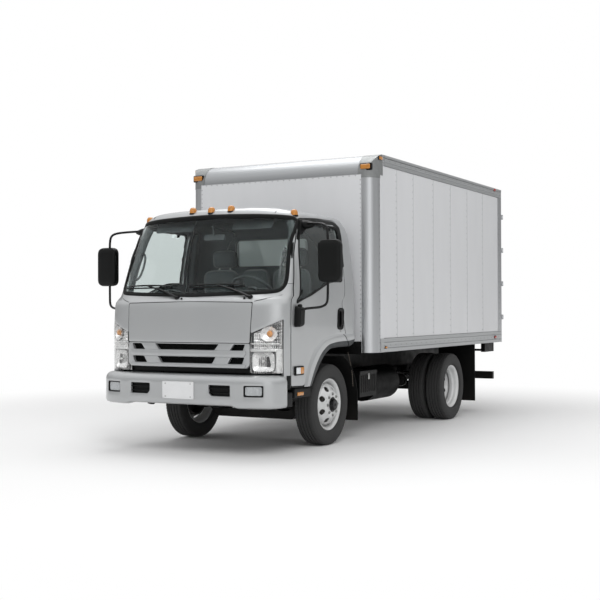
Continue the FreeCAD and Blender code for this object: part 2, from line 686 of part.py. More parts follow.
def mud_flaps():
    """Rear flaps hang from the box floor; front ones from a quarter guard behind each front wheel."""
    pieces = []
    for name, sign in SIDES:
        rear = span(sign, "dual_track - 240", "wall_in - 5")
        plane = "rear_axle + tyre_radius + 270"
        pieces.append(box(f"RearFlap_{name}", rear, (plane, f"{plane} + flap_gauge"),
                          ("0.44 * tyre_radius", "box_low + floor_sill")))
        wide = span(sign, "frame_half + 230", "cab_half - 74")
        round_out, round_in = "tyre_radius + 112", "tyre_radius + 104"
        place = (wide[0], "front_axle", "tyre_radius")
        width = f"({wide[1]}) - ({wide[0]})"
        band = cut(f"GuardBand_{name}", rod(f"GuardOut_{name}", "X", round_out, width, *place),
                   rod(f"GuardIn_{name}", "X", round_in, width, *place))
        quarter = common(f"GuardQuarter_{name}", band,
                         box(f"GuardKeep_{name}", wide, ("front_axle + 200", "front_axle + 700"),
                                                           ("tyre_radius", "tyre_radius + 700")))
        flap = box(f"FrontFlap_{name}", wide, (f"front_axle + {round_in}", f"front_axle + {round_out}"),
                   ("0.5 * tyre_radius", "tyre_radius"))
        arm = box(f"GuardArm_{name}", span(sign, "frame_half", "frame_half + 240"),
                  (f"front_axle + {round_in} - 60", f"front_axle + {round_out} - 46"),
                  ("frame_low + 30", "frame_low + 60"))
        pieces.append(fuse(f"FrontGuard_{name}", quarter, flap, arm))
    node(fuse("MudFlaps", *pieces), "mud_flaps")


# ---------------------------------------------------------------- wheels
def rim_outline(way, face):
    """Section of a wheel, as (axial, radius) corners: way is 1 where the disc bulges outwards."""
    def at(axial, radius):
        return f"{face} + ({way}) * ({axial})", radius
    inner = "well_radius - rim_gauge"
    return [
        at("-rim_half", "flange_radius"), at("-rim_half + 9", "flange_radius"),
        at("-rim_half + 13", "bead_radius - 1"),
        at("-rim_half + 50", "bead_radius - 5"), at("-rim_half + 62", "well_radius"),
        at("rim_half - 62", "well_radius"),
        at("rim_half - 50", "bead_radius - 5"), at("rim_half - 13", "bead_radius - 1"),
        at("rim_half - 9", "flange_radius"), at("rim_half", "flange_radius"),
        at("rim_half", "flange_radius - 7"),
        at("rim_half - 7", "bead_radius - 9"), at("rim_half - 45", "bead_radius - 14"),
        at("rim_half - 52", inner),
        at("rim_half - 44", f"{inner} - 6"), at("disc_offset - 8", "disc_flat + 12"),
        at("disc_offset", "disc_flat"),
        at("disc_offset", "hub_radius"), at("disc_offset - disc_gauge", "hub_radius"),
        at("disc_offset - disc_gauge", "disc_flat - 4"), at("disc_offset - disc_gauge - 10", "disc_flat + 6"),
        at("rim_half - 60", f"{inner} - 10"), at("rim_half - 66", inner), at("-rim_half + 60", inner),
        at("-rim_half + 50", "bead_radius - 14"), at("-rim_half + 8", "bead_radius - 9"),
        at("-rim_half", "flange_radius - 7"),
    ]


HAND_HOLES = 8


def hand_holes(tag, centre, way):
    """Cutters for the round hand holes through a wheel's cone."""
    cutters = []
    for index in range(HAND_HOLES):
        turn = math.radians(360 / HAND_HOLES * index)
        start = f"{centre} + ({way}) * (disc_offset - 80)" if way > 0 else f"{centre} - disc_offset - 20"
        cutters.append(rod(f"HandHole_{tag}_{index}", "X", "hand_hole", "100", start,
                           f"hand_pitch * {math.cos(turn):.6f}", f"hand_pitch * {math.sin(turn):.6f}"))
    return cutters


def wheel(name, sign, tag, discs, hub, bore, axle):
    """A rim node: discs are (centre, way), hub and bore are (start, end, radius) along X."""
    parts, holes = [], []
    for index, (centre, way) in enumerate(discs):
        centre, way = side(sign, centre), sign * way
        parts.append(ring(f"Rim_{tag}_{index}", rim_outline(way, centre), 0, 0, 0))
        holes += hand_holes(f"{tag}_{index}", centre, way)
    for index, (start, end, radius) in enumerate(hub):
        low, high = span(sign, start, end)
        parts.append(rod(f"Hub_{tag}_{index}", "X", radius, f"({high}) - ({low})", low))
    low, high = span(sign, bore[0], bore[1])
    holes.append(rod(f"Bore_{tag}", "X", bore[2], f"({high}) - ({low})", low))
    low, high = span(sign, bore[3], bore[4])
    holes.append(rod(f"Drum_{tag}", "X", bore[5], f"({high}) - ({low})", low))
    node(move(cut(f"Wheel_{tag}", fuse(f"WheelBody_{tag}", *parts), *holes), 0, axle, "tyre_radius"), name)


def tyre_outline(centre):
    """Section of a tyre, symmetric about its centre plane."""
    half = [
        ("rim_half - 13.5", "bead_radius"), ("rim_half - 9.5", "flange_radius + 1"),
        ("tyre_width / 2 - 8", "flange_radius + 25"),
        ("tyre_width / 2", "0.5 * (flange_radius + tyre_radius)"), ("tread_half + 9", "tyre_radius - 22"),
        ("tread_half", "tyre_radius - 5"), ("tread_half - 30", "tyre_radius"),
    ]
    return ([(f"{centre} + {a}", r) for a, r in half] + [(f"{centre} - ({a})", r) for a, r in half[::-1]])


def wheels():
    for hand, sign in SIDES:
        face = "front_track + disc_offset"
        wheel(f"front_rim_{hand}", sign, f"front_{hand}", [("front_track", 1)],
              [("front_track - 40", face, "hub_radius + 4"),
               ("front_track - 68", "front_track + 6", "drum_radius"),
               (face, f"{face} + hub_reach", "hub_radius")],
              ("front_track - 70", f"{face} + 1", "spindle_radius + pin_clear",
               "front_track - 70", "front_track - 40", "drum_radius - 12"), "front_axle")
        node(move(ring(f"FrontTyre_{hand}", tyre_outline(side(sign, "front_track")), 0, "front_axle",
                       "tyre_radius"),
                  0, "front_axle", "tyre_radius"), f"front_tyre_{hand}")
        inner, outer = "dual_track - disc_offset", "dual_track + disc_offset"
        wheel(f"rear_rims_{hand}", sign, f"rear_{hand}", [(inner, 1), (outer, -1)],
              [(f"{inner} - 30", "dual_track + 95", "hub_radius + 4"),
               (f"{inner} - 75", f"{inner} + 20", "drum_radius"),
               ("dual_track + 90", "dual_track + 120", "hub_radius - 22")],
              (f"{inner} - 80", "dual_track - disc_gauge - 19", "axle_tube + pin_clear",
               f"{inner} - 80", f"{inner} - 45", "drum_radius - 12"), "rear_axle")
        pair = [
            move(ring(f"RearTyre_{hand}_{tag}", tyre_outline(side(sign, centre)), 0, "rear_axle",
                      "tyre_radius"),
                 0, "rear_axle", "tyre_radius")
            for tag, centre in (("inner", inner), ("outer", outer))
        ]
        node(fuse(f"RearTyres_{hand}", *pair), f"rear_tyres_{hand}")


# ---------------------------------------------------------------- cargo box
def box_hull(name, grow):
    """The box body's outline moved in by grow: rounded front posts and a rounded front header."""
    half, front, top = f"box_half - ({grow})", f"body_front + {grow}", f"box_high - ({grow})"
    plan = prism(f"{name}Plan", "XY", [(f"-({half})", front), (half, front), (half, "body_rear"),
                                       (f"-({half})", "body_rear")],
                 f"box_low", "box_high")
    rounded(f"{name}Posts", plan, f"post_radius - ({grow})", (f"-({half})", front), (half, front))
    profile = prism(f"{name}Profile", "YZ",
                    [(front, "box_low"), ("body_rear", "box_low"), ("body_rear", top), (front, top)],
                    "-box_half", "box_half")
    rounded(f"{name}Cove", profile, f"cove_radius - ({grow})", (front, top))
    return common(name, plan, profile)


def cargo_box():
    wall = "box_wall + rail_proud"
    inner = box_hull("BoxInner", wall)
    shell = cut("BoxShell", box_hull("BoxOuter", "0"), inner)
    post = "box_half - post_radius"
    frame_zone = cut("FrontZone", box("FrontKeep", ("-box_half", "box_half"), ("body_front",
            "body_front + cove_radius"),
                                      ("box_low", "box_high")),
                     box("PanelZone", (f"-({post})", post),
                         ("body_front - 1", "body_front + cove_radius + 1"),
                         ("box_low - 1", "box_high - cove_radius")),
                     *[box(f"BehindPost_{name}", span(sign, f"{post} - 1", "box_half + 1"),
                           ("body_front + post_radius", "body_front + cove_radius + 1"),
                           ("box_low - 1", "box_high - cove_radius")) for name, sign in SIDES])
    node(common("BoxFrontFrame", shell, frame_zone), "box_front_frame")
    node(box("BoxFrontWall", (f"-({post})", post), ("body_front", f"body_front + {wall}"),
             ("box_low", "box_high - cove_radius")), "box_front_wall")
    rear = "body_rear - rear_frame_deep"
    for name, sign in SIDES:
        low, high = span(sign, "wall_in", "box_half - rail_proud")
        post_end, cove_end, step = "body_front + post_radius", "body_front + cove_radius", "box_high - cove_radius"
        panel = prism(f"WallPanel_{name}", "YZ",
                      [(post_end, "box_low"), (rear, "box_low"), (rear, "box_high"),
                                                 (cove_end, "box_high"), (cove_end, step), (post_end, step)],
                                                 low, high)
        outer = span(sign, "box_half - rail_proud", "box_half")
        foot = box(f"SideRail_{name}", outer, (post_end, rear), ("box_low", "box_low + side_rail_high"))
        head = box(f"TopRail_{name}", outer, (cove_end, rear), ("box_high - top_rail_high", "box_high"))
        node(fuse(f"BoxWall_{name}", panel, foot, head), f"box_wall_{name}")
    node(box("BoxRoof", ("-wall_in", "wall_in"), ("body_front + cove_radius", rear),
             ("box_high - box_wall", "box_high")),
         "box_roof")
    mouth = ("-(box_half - rear_post)", "box_half - rear_post")
    fore = f"body_front + {wall}"
    boards = [("-wall_in", fore), ("wall_in", fore), ("wall_in", rear), (mouth[1], rear),
              (mouth[1], "door_plane"),
              (mouth[0], "door_plane"), (mouth[0], rear), ("-wall_in", rear)]
    deck = prism("FloorDeck", "XY", boards, "box_low + floor_sill", "deck_top")
    sills = []
    count = int(read("(box_length - rear_frame_deep - 2 * post_radius) / sill_pitch"))
    for index in range(count + 1):
        start = f"body_front + post_radius + 20 + {index} * sill_pitch"
        sills.append(box(f"FloorSill_{index}", ("-wall_in", "wall_in"), (start, f"{start} + sill_width"),
                         ("box_low", "box_low + floor_sill")))
    runners = [
        box(f"Runner_{name}", span(sign, "frame_half - rail_flange", "frame_half"),
            (f"body_front + {wall}", "body_rear - rail_tail"), ("frame_top", "box_low + floor_sill"))
        for name, sign in SIDES
    ]
    node(fuse("BoxFloor", common("FloorBoards", deck, inner), *sills, *runners), "box_floor")
    block = box("RearBlock", ("-box_half", "box_half"), (rear, "body_rear"), ("box_low", "box_high"))
    opening = box("RearMouth", mouth, (f"{rear} - 1", "body_rear + 1"), ("door_low", "door_high"))
    ledge = box("FloorLedge", mouth, (f"{rear} - 1", "door_plane"), ("box_low - 1", "deck_top"))
    runner_slots = [box(f"RunnerSlot_{name}", span(sign, "frame_half - rail_flange", "frame_half"),
                        (f"{rear} - 1", "body_rear - rail_tail"), ("box_low - 1", "deck_top")) for name,
                        sign in SIDES]
    frame = cut("RearPosts", block, opening, ledge, *runner_slots)
    hinges = []
    for name, sign in SIDES:
        for index in range(DOOR_STRAPS):
            level = strap_level(index)
            hinges.append(rod(f"HingePin_{name}_{index}", "Z", "hinge_pin", "2 * strap_half + 24",
                              side(sign, "box_half + hinge_out"), "body_rear + hinge_out",
                              f"{level} - strap_half - 12"))
            for tag, start in (("low", f"{level} - strap_half - 12"),
                               ("high", f"{level} + strap_half + seat_clear")):
                hinges.append(box(f"HingePlate_{tag}_{name}_{index}",
                                  span(sign, "box_half - 20", "box_half + hinge_out + hinge_pin"),
                                  ("body_rear", "body_rear + hinge_out + hinge_pin"),
                                  (start, f"{start} + 12 - seat_clear")))
    node(fuse("BoxRearFrame", frame, *hinges), "box_rear_frame")


DOOR_STRAPS = 4


def strap_level(index):
    """Height of a hinge strap's middle, the straps evenly spread over the door."""
    return f"door_low + ({index} + 0.5) / {DOOR_STRAPS} * (door_high - door_low)"


def box_doors():
    """Two swing doors on strap hinges, each with a full-height lock rod."""
    for name, sign in SIDES:
        low, high = "door_low + door_gap", "door_high - door_gap"
        leaf = box(f"Leaf_{name}", span(sign, "0.7 * door_gap", "box_half - rear_post - door_gap"),
                   ("door_plane", "body_rear"), (low, high))
        straps, bores = [], []
        for index in range(DOOR_STRAPS):
            level = strap_level(index)
            deep = (f"{level} - strap_half", f"{level} + strap_half")
            straps.append(box(f"Strap_{name}_{index}",
                              span(sign, "box_half - rear_post - 260", "box_half + hinge_out"),
                              ("body_rear + 6", "body_rear + 12"), deep))
            straps.append(box(f"StrapPad_{name}_{index}",
                              span(sign, "box_half - rear_post - 260", "box_half - rear_post - 30"),
                              ("body_rear", "body_rear + 6"), deep))
            spot = (side(sign, "box_half + hinge_out"), "body_rear + hinge_out", deep[0])
            straps.append(rod(f"StrapEye_{name}_{index}", "Z", "hinge_eye", "2 * strap_half", *spot))
            bores.append(rod(f"StrapBore_{name}_{index}", "Z", "hinge_pin + pin_clear", "2 * strap_half",
                             *spot))
        bar = rod(f"LockRod_{name}", "Z", "lock_radius", f"({high}) - ({low})", side(sign, "0.1 * box_half"),
                  "body_rear + lock_reach - lock_radius", low)
        guides = [
            box(f"LockGuide_{name}_{level}", span(sign, "0.1 * box_half - 30", "0.1 * box_half + 30"),
                ("body_rear", "body_rear + lock_reach - lock_radius"),
                (f"{low} + {share} * ({high} - ({low})) - 30",
                                                                        f"{low} + {share} * ({high} - ({low})) + 30"))
            for level, share in enumerate((0.03, 0.36, 0.64, 0.97))
        ]
        node(cut(f"BoxDoor_{name}", fuse(f"DoorStock_{name}", leaf, *straps, bar, *guides), *bores),
             f"box_door_{name}")


# ---------------------------------------------------------------- cab
NOSE = [  # station behind the nose, height, and how the inset moves each
    ("cab_front", "cab_low", 1, 0),
    ("cab_front", "grille_low + 40", 1, 0),
    ("cab_front + 22", "cowl_high - 20", 1, 0),
    ("cab_front + 45", "cowl_high + 20", 1, 0),
    ("front_axle - screen_base", "screen_low", 1, 0),
    ("front_axle - screen_head", "screen_high", 1, -0.2),
    ("front_axle - screen_head + 60", "roof_high - 45", 0.6, -1),
    ("front_axle - screen_head + 220", "roof_high - 12", 0, -1),
    ("front_axle - 300", "roof_high", 0, -1),
    ("front_axle + 60", "roof_high - 18", 0, -1),
    ("cab_rear + 400", "roof_high - 60", 0, -1),
    ("cab_rear + 400", "cab_low", 0, 0),
]
BACK = [
    ("cab_rear", "cab_low", -1, 0),
    ("cab_rear", "belt_high + 40", -1, 0),
    ("cab_rear - 10", "screen_high - 150", -1, 0),
    ("cab_rear - 38", "screen_high - 66", -1, -0.4),
    ("cab_rear - 105", "screen_high + 20", -0.7, -0.8),
    ("cab_rear - 215", "roof_high - 28", -0.2, -1),
    ("cab_rear - 420", "roof_high + 12", 0, -1),
    ("cab_rear - 700", "roof_high + 60", 0, -1),
    ("cab_front - 200", "roof_high + 60", 0, -1),
    ("cab_front - 200", "cab_low", 0, 0),
]
SECTION = [
    ("cab_half - 2", "cab_low", -1, 0),
    ("cab_half", "belt_low", -1, 0),
    ("cab_half - 64", "screen_high - 210", -1, 0),
    ("cab_half - 99", "screen_high - 70", -1, 0),
    ("cab_half - 160", "screen_high + 22", -0.7, -0.7),
    ("cab_half - 360", "roof_high - 36", 0, -1),
    ("0", "roof_high + 2", 0, -1),
]
PLAN = [
    ("cab_half", "cab_rear", -1, -1),
    ("cab_half", "front_axle - door_front", -1, 0),
    ("lamp_out", "front_axle - door_front - 98", -1, 0.3),
    ("lamp_out - 70", "cab_front + 82", -0.6, 0.7),
    ("lamp_in + 105", "cab_front + 45", -0.3, 1),
    ("lamp_in", "cab_front + 20", 0, 1),
    ("0", "cab_front - 15", 0, 1),
]


def inset_points(table, inset):
    return [(f"({a}) + ({inset}) * ({da})", f"({b}) + ({inset}) * ({db})") for a, b, da, db in table]


def mirrored(points):
    """Points of one side and, in reverse order, their mirror images; the last lies on the middle."""
    return points + [(f"-({a})", b) for a, b in points[-2::-1]]


HULLS = {}


def cab_hull(inset):
    """The cab's outline moved in by an inset: a curved nose, the back, the section and the plan."""
    if inset not in HULLS:
        tag = f"Cab{len(HULLS)}"
        nose = DOC.addObject("PartDesign::Body", f"{tag}Nose")
        outline = sketch(nose, "YZ", [(f"{a} - cab_front - nose_turn", b) for a, b in inset_points(NOSE,
                inset)])
        turn = nose.newObject("PartDesign::Revolution", f"{tag}NoseTurn")
        turn.Profile = outline
        turn.ReferenceAxis = (outline, ["V_Axis"])
        turn.Angle = 16
        turn.Midplane = True
        nose.Tip = turn
        move(nose, 0, "cab_front + nose_turn", 0)
        back = prism(f"{tag}Back", "YZ", inset_points(BACK, inset), "-cab_half - 50", "cab_half + 50")
        section = prism(f"{tag}Section", "XZ", mirrored(inset_points(SECTION, inset)), "cab_front - 100",
                        "cab_rear + 100")
        corners = inset_points(PLAN, inset)
        plan = prism(f"{tag}Plan", "XY", mirrored(corners), "cab_low", "roof_high + 100")
        rounded(f"{tag}Corners", plan, f"110 - ({inset})", corners[0], (f"-({corners[0][0]})", corners[0][1]))
        HULLS[inset] = common(f"{tag}Hull", nose, back, section, plan)
    return HULLS[inset]


def layer(name, depth, thick):
    """The skin between two insets of the cab's outline."""
    return cut(name, cab_hull(depth), cab_hull(f"{depth} + {thick}"))


DOOR = [  # station, height, and how the clear gap moves each outwards
    ("front_axle - door_front", "cab_low", -1, -20),
    ("front_axle - door_front", "belt_low", -1, 0),
    ("front_axle - door_front + 300", "door_top - 50", -1, 1),
    ("front_axle - door_front + 380", "door_top", -1, 1),
    ("front_axle + door_rear - 78", "door_top", 1, 1),
    ("front_axle + door_rear - 14", "screen_high - 261", 1, 0),
    ("front_axle + door_rear", "belt_high", 1, 0),
    ("front_axle + door_rear", "cab_low", 1, -20),
]
WINDOW = [
    ("front_axle - door_front + 112", "belt_low"),
    ("front_axle - door_front + 342", "door_top - 62"),
    ("front_axle + door_rear - 100", "door_top - 60"),
    ("front_axle + door_rear - 93", "belt_high + 7"),
    ("front_axle + door_rear - 368", "belt_high"),
]
SCREEN = [
    ("lamp_out - 52", "screen_low + 50"),
    ("lamp_out - 25", "screen_low + 110"),
    ("lamp_out - 112", "screen_high - 62"),
    ("lamp_out - 190", "screen_high - 12"),
    ("0", "screen_high"),
]
LAMP = [
    ("lamp_in", "lamp_low"), ("lamp_out", "lamp_low"), ("lamp_out", "lamp_top_out"),
    ("lamp_in", "lamp_top_in"),
]


def arch():
    """The wheel arch: everything below its outline, right across the cab."""
    outline = [
        ("front_axle - arch_foot - 63", "cab_low - 100"), ("front_axle - arch_knee", "arch_high"),
        ("cab_rear + 100", "arch_high"), ("cab_rear + 100", "cab_low - 100"),
    ]
    return rounded("ArchKnee", prism("Arch", "YZ", outline, "-cab_half - 100", "cab_half + 100"),
                   "arch_round", outline[1])


def flare(wheel_arch):
    """The band that stands out from the side round the wheel arch."""
    grow = "flare_width"
    outline = [
        (f"front_axle - arch_foot - {grow} * 1.2", "cab_low"),
        (f"front_axle - arch_knee - {grow} * 0.7", f"arch_high + {grow}"),
        ("cab_rear - 120", f"arch_high + {grow}"), ("cab_rear - 120", "cab_low"),
    ]
    band = rounded("FlareKnee", prism("Flare", "YZ", outline, "-cab_half - flare_proud",
                                      "cab_half + flare_proud"),
                   f"arch_round + {grow}", outline[1])
    inside = box("FlareInside", ("-cab_half + cab_wall", "cab_half - cab_wall"),
                 ("cab_front", "cab_rear + 100"),
                 ("cab_low - 1", "arch_high + 200"))
    return cut("FlareBand", band, wheel_arch, inside)


def lid_hinges():
    """The service lid's pins on ears of the cab, and what they clear away in the lid."""
    across, level = "cab_front + lid_pin_in", "cowl_high - door_gap - lid_pin_down"
    pins, seats = [], []
    for name, sign in SIDES:
        run = span(sign, "lid_pin_at - 32", "lid_pin_at + 32")
        length = f"({run[1]}) - ({run[0]})"
        pins.append(rod(f"LidPin_{name}", "X", "lid_pin", length, run[0], across, level))
        seats.append(rod(f"LidBore_{name}", "X", "lid_pin + pin_clear", length, run[0], across, level))
        for end, (near, far) in (("Inner", ("lid_pin_at - 32", "lid_pin_at - 20")),
                                 ("Outer", ("lid_pin_at + 20", "lid_pin_at + 32"))):
            pins.append(box(f"LidEar{end}_{name}", span(sign, near, far),
                            (f"{across} - 6", "cab_front + lid_recess + 1"),
                            (f"{level} - 6", f"{level} + 6")))
            seats.append(box(f"LidNotch{end}_{name}", span(sign, f"{near} - 4", f"{far} + 4"),
                             (f"{across} - 10", "cab_front + lid_recess"), (f"{level} - 12", "cowl_high")))
    return pins, seats


def cab():
    wheel_arch = arch()
    hull, gap = cab_hull("0"), "door_gap + 2"
    wide = ("-cab_half - 100", "cab_half + 100")
    run = ("cab_front - 100", "cab_rear + 100")
    cavity = cut(
        "CabCavity", cab_hull("cab_wall"),
        box("FloorFill", wide, run, ("cab_low - 1", "footwell")),
        box("ToeFill", wide, (run[0], "front_axle - door_front + sheet"),
            ("cab_low - 1", "lamp_low + sheet")),
        box("TunnelFill", ("-tunnel_half - sheet", "tunnel_half + sheet"), run,
            ("cab_low - 1", "tunnel_high + sheet")),
        box("DeckFill", wide, ("front_axle - arch_foot - sheet", run[1]), ("cab_low - 1", "deck_high")),
        box("FirewallFill", wide, (run[0], "cab_front + lid_recess + firewall"),
            ("cab_low - 1", "cowl_high + sheet")),
    )
    panel = ("-lid_half - door_gap", "lid_half + door_gap")
    below = [
        box("TunnelCut", ("-tunnel_half", "tunnel_half"), run, ("cab_low - 1", "tunnel_high")),
        box("FootwellCut", ("-cab_half + cab_wall", "cab_half - cab_wall"),
            (run[0], "front_axle - arch_foot + 40"),
            ("cab_low - 1", "footwell - sheet")),
        box("NoseCut", wide, (run[0], "front_axle - door_front - door_gap"), ("cab_low - 1", "lamp_low")),
        box("PanelRecess", panel, (run[0], "cab_front + lid_recess"),
            ("cab_low - 1", "cowl_high + lid_seam")),
        wheel_arch,
    ]
    doors, panes, leaves = [], [], []
    skin, deep = layer("CabSkin", "0", "cab_wall"), cab_hull(f"cab_wall + {gap}")
    pane = layer("PaneLayer", "glass_inset", "glass_gauge")
    band = flare(wheel_arch)
    for name, sign in SIDES:
        low, high = span(sign, "cab_half - 190", "cab_half + 100")
        grown = prism(f"DoorMouth_{name}", "YZ", inset_points(DOOR, gap), low, high)
        doors.append(cut(f"DoorVoid_{name}", grown, deep))
        leaf = prism(f"DoorForm_{name}", "YZ", inset_points(DOOR, "0"), low, high)
        window = prism(f"WindowForm_{name}", "YZ", WINDOW, low, high)
        panel_skin = common(f"DoorPanel_{name}", fuse(f"SkinStock_{name}", skin, band), leaf)
        leaves.append((name, cut(f"DoorLeaf_{name}", panel_skin, window, wheel_arch)))
        panes.append((name, common(f"Pane_{name}", pane, window)))
    screen = prism("ScreenForm", "XZ", screen_points(), run[0], "front_axle - screen_head + 50")
    rear_light = box("RearLight", ("-500", "500"), ("cab_rear - 300", run[1]),
                     ("screen_high - 461", "screen_high - 166"))
    lamps = []
    for name, sign in SIDES:
        points = [(side(sign, a), b) for a, b in LAMP]
        lamps.append(common(f"LampForm_{name}", layer(f"LampLayer_{name}", "0", "lamp_gauge"),
                            prism(f"LampPrism_{name}", "XZ", points, run[0], "front_axle - door_front - 60")))
    shell = cut("CabBody", fuse("CabStock", hull, band), cavity, *below, *doors, screen, rear_light, *lamps)
    lugs, bores = [], []
    for name, sign in SIDES:
        plate = span(sign, "tunnel_half + 4", "tunnel_half + 44")
        points = [("front_axle - tilt_ahead - tilt_lug", "tilt_high - tilt_lug"),
                  ("front_axle - tilt_ahead + tilt_lug", "tilt_high - tilt_lug"),
                  ("front_axle - door_front + 130", "footwell - sheet"),
                  ("front_axle - door_front + 20", "footwell - sheet"),
                  ("front_axle - tilt_ahead - tilt_lug", "tilt_high + tilt_lug")]
        lugs.append(prism(f"TiltLug_{name}", "YZ", points, *plate))
        bores.append(rod(f"TiltBore_{name}", "X", "tilt_pin + pin_clear", f"({plate[1]}) - ({plate[0]})",
                         plate[0],
                         "front_axle - tilt_ahead", "tilt_high"))
    pins, seats = lid_hinges()
    node(cut("CabShell", fuse("CabWithLugs", shell, *lugs, *pins), *bores), "cab_shell")
    front = common("Windscreen", layer("ScreenLayer", "glass_inset", "glass_gauge"), screen)
    back = common("BackLight", pane, rear_light)
    node(fuse("CabGlass", front, back), "cab_glass")
    for (name, leaf), (_, glass), lamp in zip(leaves, panes, lamps):
        node(leaf, f"cab_door_{name}")
        node(glass, f"door_glass_{name}")
        node(lamp, f"headlamp_{name}")
    sheet, ahead = layer("PanelSkin", "0", "lid_gauge"), (run[0], "cab_front + 300")
    lid = box("LidForm", ("-lid_half", "lid_half"), ahead, ("lid_low + door_gap", "cowl_high - door_gap"))
    node(cut("FrontLid", common("LidSkin", sheet, lid), *seats), "front_lid")
    grille = common("GrillePanel", sheet, box("GrilleForm", panel, ahead, ("grille_low", "lid_low")))
    node(cut("Grille", grille, *grille_slots(ahead)), "grille")


def screen_points():
    """The windscreen's outline on the front plane, mirrored about the middle."""
    right = [("0", "screen_low")] + SCREEN
    return right + [(f"-({a})", b) for a, b in right[-2:0:-1]]


GRILLE_ROWS = [  # top and bottom heights, then the half widths of the middle slot and the outer slots at each
    ("lid_low - 8", "lid_low - 68", 391, 338, 556, 509, 687, 663),
    ("lid_low - 143", "lid_low - 208", 355, 310, 525, 482, 680, 654),
]


def grille_slots(run):
    slots = []
    for row, (top, low, mid_top, mid_low, in_top, in_low, out_top, out_low) in enumerate(GRILLE_ROWS):
        slots.append(prism(f"SlotMid_{row}", "XZ",
                           [(-mid_top, top), (mid_top, top), (mid_low, low), (-mid_low, low)], *run))
        for name, sign in SIDES:
            points = [(side(sign, in_top), top), (side(sign, out_top), top), (side(sign, out_low), low),
                      (side(sign, in_low), low)]
            slots.append(prism(f"Slot_{row}_{name}", "XZ", points, *run))
    return slots


def cab_fittings():
    inner = cab_hull("cab_wall + door_gap")
    dash_rear = "cab_front + lid_recess + firewall"
    dash = prism("DashForm", "YZ", [(dash_rear, "deck_high + 200"), (f"{dash_rear} + 190", "deck_high + 200"),
                                    (f"{dash_rear} + 330", "cowl_high - 60"),
                                    (f"{dash_rear} + 300", "screen_low - 20"),
                                    (dash_rear, "screen_low - 20")], "-cab_half", "cab_half")
    board = node(common("Dashboard", inner, dash), "dashboard")
    seats = []
    for name, middle, half in (("driver", "430", 235), ("middle", "0", 165), ("passenger", "-430", 235)):
        wide = (f"{middle} - {half}", f"{middle} + {half}")
        back = "front_axle + 30"
        cushion = box(f"Cushion_{name}", wide, (f"{back} - 560", f"{back} + 60"),
                      ("deck_high", "deck_high + 190"))
        rest = prism(f"Backrest_{name}", "YZ",
                     [(f"{back} - 70", "deck_high + 180"), (f"{back} + 60", "deck_high + 180"),
                                               (f"{back} + 130", "deck_high + 770"),
                                               (f"{back} + 40", "deck_high + 770")],
                     f"{middle} - {half} + 10", f"{middle} + {half} - 10")
        head = box(f"Headrest_{name}", (f"{middle} - 135", f"{middle} + 135"),
                   (f"{back} + 45", f"{back} + 130"),
                   ("deck_high + 765", "deck_high + 950"))
        seats.append(fuse(f"Seat_{name}", cushion, rest, head) if half > 200 else cushion)
    node(fuse("Seats", *seats), "seats")
    rim = DOC.addObject("Part::Torus", "SteeringRim")
    rim.Radius1, rim.Radius2 = 215, 16
    hub = DOC.addObject("Part::Cylinder", "SteeringHub")
    hub.Radius, hub.Height = 60, 30
    spoke = DOC.addObject("Part::Box", "SteeringSpoke")
    spoke.Length, spoke.Width, spoke.Height = 420, 40, 16
    stem = DOC.addObject("Part::Cylinder", "SteeringStem")
    stem.Radius, stem.Height = 35, 300
    lean = FreeCAD.Rotation(FreeCAD.Vector(1, 0, 0), -38)
    for item, offset in ((rim, (0, 0, 0)), (hub, (0, 0, -20)), (spoke, (-210, -20, -8)),
                         (stem, (0, 0, -300))):
        shift = lean.multVec(FreeCAD.Vector(*offset))
        item.Placement = FreeCAD.Placement(FreeCAD.Vector(), lean)
        move(item, f"430 + {shift.x:.4f}", f"front_axle - 760 + {shift.y:.4f}",
             f"screen_low + 60 + {shift.z:.4f}")
    node(cut("SteeringWheel", fuse("SteeringStock", rim, hub, spoke, stem), board), "steering_wheel")
    wipers = []
    for index, (pivot, tip, low, high) in enumerate(((-161, -569, -803, -398), (699, 306, -115, 434))):
        foot, level = "front_axle - screen_base - 60", "screen_low - 38"
        post = rod(f"WiperPost_{index}", "Y", 18, 50, pivot, foot, level)
        arm = tube(f"WiperArm_{index}", [(pivot, f"{foot} + 6", level), (tip, f"{foot} + 66",
                "screen_low + 73")], 6, 0)
        blade = box(f"WiperBlade_{index}", (low, high), (f"{foot} + 44", f"{foot} + 130"),
                    ("screen_low + 64", "screen_low + 82"))
        wipers.append(fuse(f"Wiper_{index}", post, arm, blade))
    node(cut("Wipers", fuse("WiperStock", *wipers), cab_hull("0")), "wipers")
    steps = []
    for name, sign in SIDES:
        tread = box(f"StepTread_{name}", span(sign, "cab_half - 214", "cab_half - 2"),
                    ("front_axle - door_front - 5", "front_axle - arch_foot + 10"), ("step_low", "step_high"))
        leg = box(f"StepLeg_{name}", span(sign, "cab_half - 190", "cab_half - cab_wall - door_gap - 4"),
                  ("front_axle - door_front + 60", "front_axle - arch_foot - 40"),
                  ("step_high", "footwell - sheet"))
        steps.append(fuse(f"Step_{name}", tread, leg))
    node(fuse("CabSteps", *steps), "cab_steps")


ROOF_LAMPS = [  # place across the cab, station ahead of the front axle and height of the lamp's top
    (-905, 726, 2475), (-237, 858, 2530), (0, 890, 2530), (237, 858, 2530), (905, 726, 2475),
]


def roof_lamps():
    """Five round clearance lamps standing on the cab's roof."""
    lamps = [rod(f"RoofLamp_{index}", "Z", "roof_lamp", "4 * roof_lamp", across, f"front_axle - {ahead}",
                 f"{top} - 4 * roof_lamp") for index, (across, ahead, top) in enumerate(ROOF_LAMPS)]
    node(cut("RoofLamps", fuse("RoofLampStock", *lamps), cab_hull("0")), "roof_lamps")


